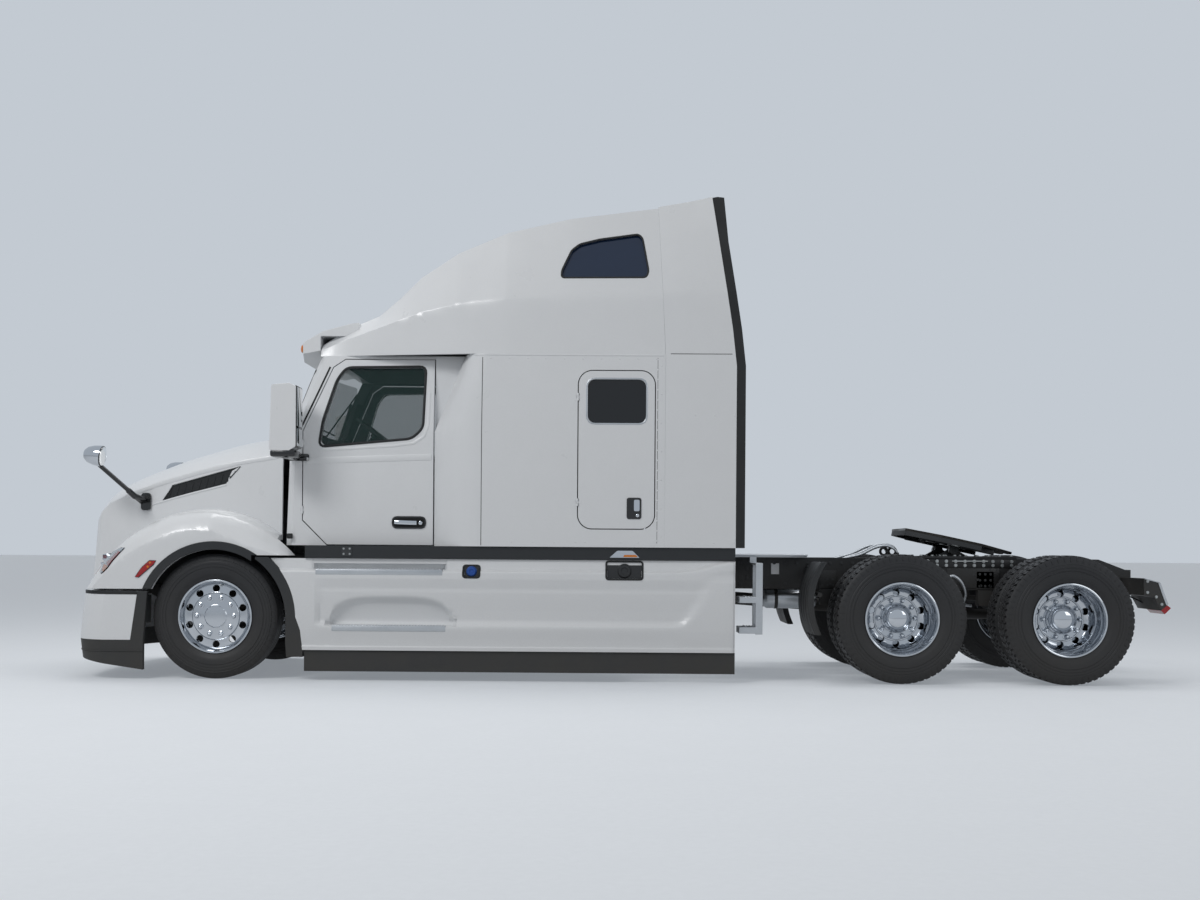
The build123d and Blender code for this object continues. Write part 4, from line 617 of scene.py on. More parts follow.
def block(work, one, other, soft=0.0):
    """Adds a box between two opposite corners in the frame, its edges cut back by soft metres."""
    box = bmesh.new()
    xs, ys, zs = (sorted(pair) for pair in zip(one, other))
    corners = [box.verts.new((x, y, z)) for x in xs for y in ys for z in zs]
    for a, b, c, d in ((0, 1, 3, 2), (4, 6, 7, 5), (0, 4, 5, 1), (2, 3, 7, 6), (0, 2, 6, 4), (1, 5, 7, 3)):
        box.faces.new((corners[a], corners[b], corners[c], corners[d]))
    if soft:
        bmesh.ops.bevel(box, geom=box.edges[:], offset=soft, segments=2, affect="EDGES", profile=0.5)
    pour(box, work)


def sockets(tree, **kinds):
    """Gives a geometry tree its named inputs and its one output."""
    for name, kind in kinds.items():
        tree.interface.new_socket(name, in_out="INPUT", socket_type="NodeSocket" + kind)
    tree.interface.new_socket("Geometry", in_out="OUTPUT", socket_type="NodeSocketGeometry")
    return add(tree, "NodeGroupInput").outputs


def repeat_tree():
    """Copies its geometry evenly round an axis along Y."""
    tree = bpy.data.node_groups.new("repeat_round_axle", "GeometryNodeTree")
    source = sockets(tree, Geometry="Geometry", Count="Int", Centre="Vector", Finish="Material")
    index = add(tree, "GeometryNodeInputIndex").outputs[0]
    step = add(tree, "ShaderNodeMath", {0: math.tau, 1: source["Count"]}, operation="DIVIDE")
    turn = add(tree, "ShaderNodeMath", {0: index, 1: step.outputs[0]}, operation="MULTIPLY")
    turned = add(tree, "ShaderNodeCombineXYZ", {"Y": turn.outputs[0]})
    back = add(tree, "ShaderNodeVectorMath", {0: source["Centre"], "Scale": -1.0}, operation="SCALE")
    shape = add(tree, "GeometryNodeTransform", {"Geometry": source["Geometry"], "Translation": back.outputs[0]})
    points = add(tree, "GeometryNodePoints", {"Count": source["Count"], "Position": source["Centre"]})
    copies = add(tree, "GeometryNodeInstanceOnPoints", {"Points": points.outputs[0], "Instance": shape.outputs[0],
                                                        "Rotation": turned.outputs[0]})
    real = add(tree, "GeometryNodeRealizeInstances", {"Geometry": copies.outputs[0]})
    done = add(tree, "GeometryNodeSetMaterial", {"Geometry": real.outputs[0], "Material": source["Finish"]})
    add(tree, "NodeGroupOutput", {"Geometry": done.outputs[0]})
    return tree


def stud_tree():
    """Sets a rivet's dome, or a hexagon head on its washer, on every point, facing the point's own way."""
    tree = bpy.data.node_groups.new("studs_on_points", "GeometryNodeTree")
    source = sockets(tree, Geometry="Geometry", Radius="Float", Height="Float", Hexagon="Bool", Finish="Material")
    dome = add(tree, "GeometryNodeMeshUVSphere", {"Segments": 8, "Rings": 4, "Radius": 1.0})
    flat = add(tree, "ShaderNodeCombineXYZ", {"X": source["Radius"], "Y": source["Radius"], "Z": source["Height"]})
    rivet = add(tree, "GeometryNodeTransform", {"Geometry": dome.outputs[0], "Scale": flat.outputs[0]})
    deep = add(tree, "ShaderNodeMath", {0: source["Height"], 1: 2.0}, operation="MULTIPLY")
    head = add(tree, "GeometryNodeMeshCylinder", {"Vertices": 6, "Radius": source["Radius"], "Depth": deep.outputs[0]})
    wide = add(tree, "ShaderNodeMath", {0: source["Radius"], 1: 1.35}, operation="MULTIPLY")
    thin = add(tree, "ShaderNodeMath", {0: source["Height"], 1: 0.5}, operation="MULTIPLY")
    washer = add(tree, "GeometryNodeMeshCylinder", {"Vertices": 14, "Radius": wide.outputs[0],
                                                    "Depth": thin.outputs[0]})
    bolt = add(tree, "GeometryNodeJoinGeometry", {"Geometry": head.outputs[0]})
    tree.links.new(washer.outputs[0], bolt.inputs[0])
    shape = add(tree, "GeometryNodeSwitch", {"Switch": source["Hexagon"], "False": rivet.outputs[0],
                                             "True": bolt.outputs[0]}, input_type="GEOMETRY")
    facing = add(tree, "GeometryNodeInputNamedAttribute", {"Name": "facing"}, data_type="FLOAT_VECTOR")
    turned = add(tree, "FunctionNodeAlignRotationToVector", {"Vector": facing.outputs[0]}, axis="Z")
    copies = add(tree, "GeometryNodeInstanceOnPoints", {"Points": source["Geometry"], "Instance": shape.outputs[0],
                                                        "Rotation": turned.outputs[0]})
    real = add(tree, "GeometryNodeRealizeInstances", {"Geometry": copies.outputs[0]})
    done = add(tree, "GeometryNodeSetMaterial", {"Geometry": real.outputs[0], "Material": source["Finish"]})
    add(tree, "NodeGroupOutput", {"Geometry": done.outputs[0]})
    return tree


trees = {}


def grow(piece, maker, body, angle=CREASE, **values):
    """Runs a geometry tree on a piece, keeps the plain mesh it gives, and rides the piece on its body."""
    if maker not in trees:
        trees[maker] = maker()
    change = piece.modifiers.new("repeat", "NODES")
    change.node_group = trees[maker]
    for item in change.node_group.interface.items_tree:
        if item.in_out == "INPUT" and item.name in values:
            change[item.identifier] = values[item.name]
    bpy.context.view_layer.update()
    settle(piece)
    soften(piece, angle)
    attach(piece, body)
    return piece


def round_axle(name, work, count, centre, material, body="chassis", angle=30):
    """Makes one object of a bmesh repeated round a wheel's axle."""
    return grow(loose(name, work), repeat_tree, body, angle, Count=count, Centre=centre, Finish=materials[material])


def studs(name, places, material, radius, height, body="chassis", hexagon=False):
    """Makes one object of rivets or bolts on places, each a pair of position and outward direction."""
    mesh = bpy.data.meshes.new(name)
    mesh.from_pydata([tuple(place) for place, way in places], [], [])
    facing = mesh.attributes.new("facing", "FLOAT_VECTOR", "POINT")
    facing.data.foreach_set("vector", [c for place, way in places for c in way])
    piece = bpy.data.objects.new(name, mesh)
    bpy.context.collection.objects.link(piece)
    return grow(piece, stud_tree, body, Radius=radius, Height=height, Hexagon=hexagon, Finish=materials[material])


def side_row(nodes, start, end, pitch, side):
    """Places for studs along a line on the truck's side."""
    count = max(1, round(math.dist(start, end) / pitch))
    return [beside(nodes, start[0] + (end[0] - start[0]) * i / count, start[1] + (end[1] - start[1]) * i / count, side)
            for i in range(count + 1)]


# The finish of each CAD node, and the rounding of its edges in metres (None: as the trim settings say)
NODE_FINISHES = (
    ("white_enamel", None, ("hood", "bumper", "cab_shell", "visor", "sleeper_shell", "roof_fairing",
                            "side_extenders", "cab_door_left", "cab_door_right", "bunk_door_left",
                            "bunk_door_right", "cab_mirrors")),
    ("grained_polypropylene", None, ("air_dam", "sill_trim", "arch_trims", "quarter_fenders")),
    ("gloss_abs", 0.004, ("hood_mirrors",)),
    ("chassis_enamel", 0.002, ("frame_rails", "crossmembers", "driveshaft", "front_axle", "front_springs",
                               "tie_rod", "drive_axles", "rear_suspension", "fifth_wheel_base", "tail_bar",
                               "knuckle_left", "knuckle_right")),
    ("cast_iron", 0.006, ("engine_block",)),
    ("mill_aluminium", 0.002, ("fuel_tanks", "rear_deck")),
    ("greased_steel", 0.003, ("fifth_wheel_plate",)),
    ("chrome_plate", 0.002, ("grille",)),
    ("epdm_rubber", 0.003, ("extender_edges",)),
    ("interior_vinyl", 0.006, ("cab_interior", "steering_wheel")),
    ("red_acrylic", 0.002, ("tail_lamps",)),
)
PANES = (
    ("float_glass", ("windshield", "door_glass_left", "door_glass_right")),
    ("privacy_glass", ("bunk_glass_left", "bunk_glass_right")),
    ("loft_glass", ("loft_windows",)),
    ("clear_polycarbonate", ("headlamps",)),
)


class TRACTOR_OT_panels(bpy.types.Operator):
    """Round and paint the panels, castings and trim that the frame already holds"""
    bl_idname = "tractor.panels"
    bl_label = "Panels and castings"

    def execute(self, context):
        for material, width, nodes in NODE_FINISHES:
            for node in nodes:
                skin(node, material, width)
        for material, nodes in PANES:
            for node in nodes:
                dress(frame["nodes"][node], material)
        return {"FINISHED"}


STEER_R, DRIVE_R, TYRE_HALF = 497, 514, 138
STEER_Y, DUAL_Y = 1030, (1077, 735)
AXLES = (("front", 0, STEER_R), ("middle", -5439.5, DRIVE_R), ("rear", -6760.5, DRIVE_R))


def tyre_outline(middle, radius, ribbed, groove, side):
    """Half way round a tyre's section and back: beads, sidewalls with moulded rings, shoulders and tread."""
    top = radius - (0 if ribbed else groove)
    wall = [(0.74, 286), (0.80, 286), (0.86, 297), (0.885, 306), (0.955, 330), (0.965, 332), (0.985, 352),
            (0.998, 372), (0.999, 384), (0.978, 387), (0.978, 391), (0.999, 394), (1.0, 408), (0.982, 411),
            (0.98, 415), (0.997, 418), (0.992, 431), (0.966, 436), (0.962, 440), (0.972, 443), (0.962, 449),
            (0.93, radius - 44), (0.905, radius - 30), (0.875, radius - 20), (0.835, radius - 11),
            (0.80, top - (3 if ribbed else 4))]
    tread = [] if ribbed else [(0.4, top), (-0.4, top)]
    if ribbed:
        for centre in (0.60, 0.215, -0.215, -0.60):
            tread += [(centre + 0.055, top - 1), (centre + 0.035, top - groove), (centre - 0.035, top - groove),
                      (centre - 0.055, top - 1)]
    rows = wall + tread + [(-share, r) for share, r in reversed(wall)]
    return [(side * (middle + share * TYRE_HALF), r) for share, r in rows]


def lugs(middle, radius, side, centre, groove, pitches):
    """One pitch of a drive tyre's tread: two shoulder lugs and two inner blocks, each tapered to its top."""
    work = bmesh.new()
    step = math.tau / pitches
    # (across: low, high; length as a share of the pitch; how far it runs ahead, as a share of the pitch)
    for low, high, share, ahead in ((-116, -62, 0.74, 0.12), (-55, -7, 0.84, -0.1), (7, 55, 0.84, 0.15),
                                    (62, 116, 0.74, -0.1)):
        corners = []
        for up in (0, 1):
            reach = (radius - groove - 3, radius)[up] / 1000
            taper = (1.0, 0.88)[up]
            drop = 0.004 if up and abs(low + high) > 150 else 0.0
            for across, turn in ((low, -1), (high, -1), (high, 1), (low, 1)):
                slant = 0.12 * (1 if across == high else -1) * (1 if low > 0 else -1)
                angle = step * (ahead + slant + turn * share * taper / 2)
                middle_y = (low + high) / 2
                y = side * (middle + middle_y + (across - middle_y) * taper)
                outer = reach - (drop if abs(across) > 100 else 0)
                corners.append(work.verts.new(centre + Vector((outer * math.cos(angle), y / 1000,
                                                               outer * math.sin(angle)))))
        for a, b, c, d in ((0, 1, 2, 3), (4, 7, 6, 5), (0, 4, 5, 1), (1, 5, 6, 2), (2, 6, 7, 3), (3, 7, 4, 0)):
            work.faces.new((corners[a], corners[b], corners[c], corners[d]))
    return work


FRONT_BARREL = ((1140, 278), (1152, 287), (1152, 295), (1157, 293), (1159, 287), (1157, 280), (1150, 275), (1136, 271),
                (1124, 266), (1116, 262), (1000, 258), (975, 272), (920, 278), (908, 287), (908, 295), (914, 295),
                (921, 286), (978, 286), (1000, 268), (1100, 268), (1128, 280))
FRONT_DISC = ((1062, 264), (1106, 264), (1113, 258), (1118, 250), (1119, 196), (1121, 191), (1128, 187), (1131, 183),
              (1132, 176), (1132, 96), (1134, 90), (1140, 84), (1141, 76), (1141, 0), (1100, 0), (1100, 180),
              (1098, 230), (1062, 256))
DEEP_BARREL = ((1188, 279), (1199, 287), (1199, 295), (1204, 293), (1206, 287), (1204, 280), (1196, 275), (1182, 271),
               (1150, 270), (1138, 264), (1124, 260), (1062, 257), (1050, 252), (1042, 246), (1010, 246), (985, 243),
               (962, 236), (946, 222), (938, 205), (937, 186), (944, 182), (944, 174), (937, 170), (934, 120),
               (918, 120), (918, 205), (930, 240), (966, 262), (1000, 266), (1120, 270), (1160, 286))
DEEP_MIDDLE = 906       # between a twin wheel's two barrels
HUB = ((934, 124), (944, 120), (962, 118), (990, 117), (998, 112), (1004, 104), (1022, 96), (1036, 80), (1046, 56),
       (1050, 28), (1051, 0), (930, 0), (930, 124))
HAND_HOLES = 10
NUT_CIRCLE = 148


def mirrored(outline, side):
    """An outline for the left wheels, or its mirror image for the right ones."""
    return [(side * across, radius) for across, radius in outline]


def pierce(piece, cutter):
    """Cuts one closed piece out of another and drops the cutter."""
    change = piece.modifiers.new("holes", "BOOLEAN")
    change.operation, change.solver, change.object = "DIFFERENCE", "EXACT", cutter
    bpy.context.view_layer.update()
    settle(piece)
    bpy.data.objects.remove(cutter)


class TRACTOR_OT_tyres(bpy.types.Operator):
    """Mould the tyres: sidewall rings, ribs on the steered ones and lugs on the driven ones"""
    bl_idname = "tractor.tyres"
    bl_label = "Tyres"

    def execute(self, context):
        wheels = context.scene.tractor_wheels
        groove = wheels.groove * 1000
        for place, x, radius in AXLES:
            for name, side in SIDES:
                wheel = place + "_" + name
                body, centre = "wheel_" + wheel, spot(x, 0, radius)
                steered = place == "front"
                middles = (STEER_Y,) if steered else DUAL_Y
                work = bmesh.new()
                for middle in middles:
                    lathe(work, tyre_outline(middle, radius, steered, groove, side), centre, 96)
                piece_of("tyre_%s_rubber" % wheel, work, "tyre_rubber", body, 28, ("tyre_" + wheel,))
                work = bmesh.new()
                for middle in middles:
                    for way in (1, -1):
                        path = [centre + Vector(((radius - drop) / 1000,
                                                 side * (middle + way * share * TYRE_HALF) / 1000, 0))
                                for share, drop in ((0.945, 50), (0.918, 36), (0.885, 22), (0.86, 17))]
                        sweep(work, path, [(-0.0055, -0.002), (0.0055, -0.002), (0.004, 0.0028), (-0.004, 0.0028)],
                              Vector((0.6, side * way * 0.8, 0)))
                round_axle("shoulder_ribs_" + wheel, work, wheels.pitches, centre, "tyre_rubber", body, 20)
                if not steered:
                    work = bmesh.new()
                    for middle in DUAL_Y:
                        pour(lugs(middle, radius, side, centre, groove, wheels.pitches), work)
                    round_axle("tread_" + wheel, work, wheels.pitches, centre, "tyre_rubber", body, 20)
        return {"FINISHED"}


class TRACTOR_OT_rims(bpy.types.Operator):
    """Turn and pierce the wheels, with their nuts, hub caps and valves"""
    bl_idname = "tractor.rims"
    bl_label = "Wheels"

    def execute(self, context):
        nuts = context.scene.tractor_wheels.nuts
        for place, x, radius in AXLES:
            for name, side in SIDES:
                wheel = place + "_" + name
                body, centre = "wheel_" + wheel, spot(x, 0, radius)
                steered = place == "front"
                face, holes_at = (1132, 222) if steered else (936, 206)
                work = bmesh.new()
                lathe(work, mirrored(FRONT_DISC if steered else DEEP_BARREL, side), centre, 96)
                disc = loose("rim_%s_polished" % wheel, work, "polished_aluminium")
                cutter = bmesh.new()
                hole = ((face - 60, 0), (face - 60, 29), (face + 30, 29), (face + 30, 0))
                for i in range(HAND_HOLES):
                    turn = math.radians(360 / HAND_HOLES * (i + 0.5))
                    at = centre + Vector((holes_at / 1000 * math.cos(turn), 0, holes_at / 1000 * math.sin(turn)))
                    lathe(cutter, mirrored(hole, side), at, 24)
                pierce(disc, loose("hand_holes", cutter, "polished_aluminium"))
                soften(disc, 28)
                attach(disc, body)
                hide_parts("rim_" + wheel)
                work = bmesh.new()
                if steered:
                    lathe(work, mirrored(FRONT_BARREL, side), centre, 96)
                else:
                    back = [(2 * DEEP_MIDDLE - across, r) for across, r in DEEP_BARREL]
                    lathe(work, mirrored(back, side), centre, 72)
                piece_of("barrel_" + wheel, work, "polished_aluminium", body, 28)
                if not steered:
                    work = bmesh.new()
                    lathe(work, mirrored(HUB, side), centre, 64)
                    piece_of("hub_cap_" + wheel, work, "chrome_plate", body, 28)
                work = bmesh.new()
                at = centre + Vector((NUT_CIRCLE / 1000, 0, 0))
                tip = face + (34 if steered else 58)
                lathe(work, mirrored(((face - 3, 0), (face - 3, 24), (face + 3, 24), (face + 6, 17.5), (tip - 10, 16),
                                      (tip - 3, 12), (tip, 5), (tip, 0)), side), at, 14)
                round_axle("nut_covers_" + wheel, work, nuts, centre, "chrome_plate", body, 40)
                work = bmesh.new()
                turn = math.radians(100)
                stem = centre + Vector((0.244 * math.cos(turn), side * (face - 14) / 1000, 0.244 * math.sin(turn)))
                out = Vector((0.25 * math.cos(turn), side, 0.25 * math.sin(turn))).normalized()
                sweep(work, [stem, stem + out * 0.055], round_bar(0.0045), AHEAD)
                piece_of("valve_" + wheel, work, "zinc_plate", body)
        return {"FINISHED"}


FAIRING = (-4121, -700, 240, 964)       # low x, high x, low z, high z of a side fairing
FAIRING_ARCH = (0, 487, 652)            # the wheel arch that cuts its front end
STEP_RUN = (-1823, -797)                # the upper step along X
LOW_STEP = (-1850, -927)
WIDEST = 1220                           # a side fairing's widest plane
# Title, limits along X and Z, depth, then the cap's X, Z, radius and finish
FILLERS = (
    ("side_filler", (-2099, -1979, 825, 911), 34, -2039, 868, 36, "blue_polyethylene"),
    # the fuel cap's dark finish is painted shade: the cap lies in the shade of its deep recess
    ("fuel_filler", (-3386, -3108, 818, 950), 46, -3247, 880, 52, "grained_polypropylene"),
)


def ease(value, low, high):
    """0 below low, 1 above high and a smooth rise between."""
    t = min(1.0, max(0.0, (value - low) / (high - low)))
    return t * t * (3 - 2 * t)


def profile(value, rows):
    """A height read from rows of (value, height), with straight runs between."""
    for (a, low), (b, high) in zip(rows, rows[1:]):
        if value <= b:
            return low + (high - low) * max(0.0, value - a) / (b - a)
    return rows[-1][1]


# How far the fairing's face lies inside its widest plane, from the foot up
FAIRING_ROWS = ((240, 3), (268, 3), (278, 11), (330, 9), (400, 1), (420, 0), (436, 3), (462, 30), (480, 37), (560, 31),
                (650, 20), (700, 15), (729, 18), (790, 4), (808, 0), (856, 0), (866, 3), (884, 33), (964, 38))
PLAIN_ROWS = ((240, 3), (268, 3), (278, 9), (330, 5), (400, 0), (964, 0))
REAR_EDGE = ((437, -3693), (516, -3771), (627, -3850), (769, -3929), (848, -3985), (964, -4040))
RIDGE_LIFT = ((-4121, 84), (-4008, 74), (-3929, 51), (-3850, 27), (-3771, 10), (-3600, 0), (0, 0))


def fairing_depth(x, z):
    """How far the fairing's face lies inside its widest plane at a station and a height."""
    lift = profile(x, RIDGE_LIFT) * ease(z, 780, 860)
    scooped, plain = profile(z - lift, FAIRING_ROWS), profile(z, PLAIN_ROWS)
    rear = profile(z, REAR_EDGE)
    share = ease(x, rear - 18, rear + 55) * (1 - ease(x, -850, -800) * (1 - ease(z, 800, 812)))
    if z > 800:
        share = 1.0
    depth = plain + (scooped - plain) * share
    if z > 876:
        depth += 62 * ease(x, STEP_RUN[0] - 14, STEP_RUN[0] + 6) * (1 - ease(x, STEP_RUN[1] - 6, STEP_RUN[1] + 14)) \
            * ease(z, 876, 884)
    middle, half = (LOW_STEP[0] + LOW_STEP[1]) / 2 - 20, 500
    across = abs(x - middle) / half
    if across < 1.12 and 430 < z < 700:
        crown = 440 + 235 * max(0.0, 1 - across ** 4) ** 0.5
        inside = 1 - ease(z, crown - 70, crown)
        depth += (88 - depth * 0.4) * inside * ease(z, 430, 444) * (1 - 0.45 * ease(z, 450, crown))
    depth += 16 * (1 - ease(x, -4121, -4098))
    for filler in FILLERS:
        x0, x1, z0, z1 = filler[1]
        inside = ease(x, x0 - 4, x0 + 4) * (1 - ease(x, x1 - 4, x1 + 4)) * ease(z, z0 - 4, z0 + 4) \
            * (1 - ease(z, z1 - 4, z1 + 4))
        depth += (max(depth, filler[2]) - depth) * inside
    return depth


def even(low, high, pitch):
    """Places from low to high, evenly spaced by about a pitch."""
    count = round((high - low) / pitch)
    return [low + (high - low) * i / count for i in range(count + 1)]


class TRACTOR_OT_fairings(bpy.types.Operator):
    """Form the side fairings with their ledges, scoops, step pockets and filler recesses"""
    bl_idname = "tractor.fairings"
    bl_label = "Side fairings"

    def execute(self, context):
        x0, x1, z0, z1 = FAIRING
        xs = even(x0, x1, 36)
        edges = [edge for filler in FILLERS for edge in filler[1][:2]]
        for edge in (*edges, STEP_RUN[0], STEP_RUN[1] + 4, *LOW_STEP, x0 + 10):
            xs += [edge - 5, edge - 2, edge + 2, edge + 5]
        xs = sorted(x for x in xs if x0 <= x <= x1)
        zs = even(z0, z1, 12)
        edges = [edge for filler in FILLERS for edge in filler[1][2:]]
        for edge in (*edges, 272, 430, 437, 444, 452, 464, 862, 870, 878, 884):
            zs += [edge - 3, edge + 3]
        zs = sorted(z for z in zs if z0 <= z <= z1)
        ax, az, reach = FAIRING_ARCH
        for name, side in SIDES:
            work = bmesh.new()
            low, high = math.asin((500 - az) / reach), math.asin((z1 - az) / reach)
            turns = [low + (high - low) * i / 16 for i in range(17)]
            outline = [(x0, z0), (-707, z0), (-690, 397)]
            outline += [(ax - reach * math.cos(turn), az + reach * math.sin(turn)) for turn in turns] + [(x0, z1)]
            face = work.faces.new([work.verts.new(spot(x, 0, z)) for x, z in outline])
            bmesh.ops.triangulate(work, faces=[face])
            slice_up(work, 0, [(x + AXLE_TO_MIDDLE) / 1000 for x in xs])
            slice_up(work, 2, [z / 1000 for z in zs])
            for vert in work.verts:
                x, z = vert.co.x * 1000 - AXLE_TO_MIDDLE, vert.co.z * 1000
                vert.co.y = side * (WIDEST - fairing_depth(x, z)) / 1000
            stretched = bmesh.ops.extrude_face_region(work, geom=work.faces[:])
            for item in stretched["geom"]:
                if isinstance(item, bmesh.types.BMVert):
                    item.co.y -= side * 0.006
            block(work, spot(x0, side * 1000, 926), spot(-720, side * 1176, 964))
            piece_of("side_fairing_" + name, work, "white_enamel_low", replaces=("side_fairings",))
            self.steps(name, side)
            self.fillers(name, side)
        return {"FINISHED"}

    def steps(self, name, side):
        """Pressed aluminium treads with a serrated lip and round grip buttons."""
        work, buttons = bmesh.new(), []
        for (start, end), low, high, back in ((STEP_RUN, 836, 880, 1110), (LOW_STEP, 392, 437, 1108)):
            block(work, spot(start + 12, side * back, high - 6), spot(end - 12, side * 1221, high), 0.002)
            block(work, spot(start + 12, side * 1213, low), spot(end - 12, side * 1222, high - 2), 0.003)
            count = int((end - start - 40) / 24)
            for i in range(count):
                x = start + 24 + i * 24
                block(work, spot(x, side * 1214, high - 2), spot(x + 14, side * 1222, high + 7), 0.002)
                for k in range(4):
                    buttons.append((spot(x + 6, side * (1130 + 22 * k + 11 * (i % 2)), high), UP))
        piece_of("step_treads_" + name, work, "mill_aluminium", angle=25)
        studs("step_grips_" + name, buttons, "mill_aluminium", 0.006, 0.003)

    def pocket(self, name, side, title, limits, depth):
        """A black liner, painted shade inside a filler's recess, with a rounded rubber frame round it."""
        x0, x1, z0, z1 = limits
        loop = walk(slab((x0, z0), (x1, z1), 16), 8, True)
        faces = [WIDEST - fairing_depth(x, z) for x, z in widen(loop, 9)]
        floor = WIDEST - depth
        work = bmesh.new()
        path = [spot(x, side * y, z) for (x, z), y in zip(widen(loop, 5), faces)]
        sweep(work, path, bead(0.014, 0.006), Vector((0, side, 0)), True)
        piece_of(title + "_frame_" + name, work, "epdm_rubber", angle=40)
        work = bmesh.new()
        block(work, spot(x0 + 3, side * (floor - 1), z0 + 3), spot(x1 - 3, side * (floor + 1.5), z1 - 3))
        rings = []
        for inset, out in ((1, False), (1, True), (-3, True), (-3, False)):
            rings.append([work.verts.new(spot(x, side * (y + 1 if out else floor), z))
                          for (x, z), y in zip(widen(loop, inset), faces)])
        for a, b in zip(rings, rings[1:] + rings[:1]):
            for i in range(len(loop)):
                n = (i + 1) % len(loop)
                work.faces.new((a[i], a[n], b[n], b[i]))
        piece_of(title + "_shade_liner_" + name, work, "gloss_abs", angle=40)

    def fillers(self, name, side):
        """The blue cap of the forward filler and the fuel cap, made black as painted shade, each in its lined recess.
        """
        for title, limits, depth, x, z, radius, material in FILLERS:
            self.pocket(name, side, title, limits, depth)
        for title, limits, depth, x, z, radius, material in FILLERS:
            work = bmesh.new()
            centre, base = spot(x, 0, z), WIDEST - depth
            cap = ((base - 2, 0), (base - 2, radius + 6), (base + 4, radius + 6), (base + 6, radius + 1),
                   (base + 18, radius), (base + 24, radius - 4), (base + 25, radius * 0.55),
                   (base + 20, radius * 0.45), (base + 20, 0))
            lathe(work, mirrored(cap, side), centre, 40)
            piece_of(title + "_cap_" + name, work, material)
            work = bmesh.new()
            rib = centre + Vector(((radius + 0.5) / 1000, side * (base + 12) / 1000, 0))
            block(work, rib - Vector((0.003, 0.007, 0.0025)), rib + Vector((0.0025, 0.007, 0.0025)), 0.001)
            round_axle(title + "_grips_" + name, work, 18, centre, material)


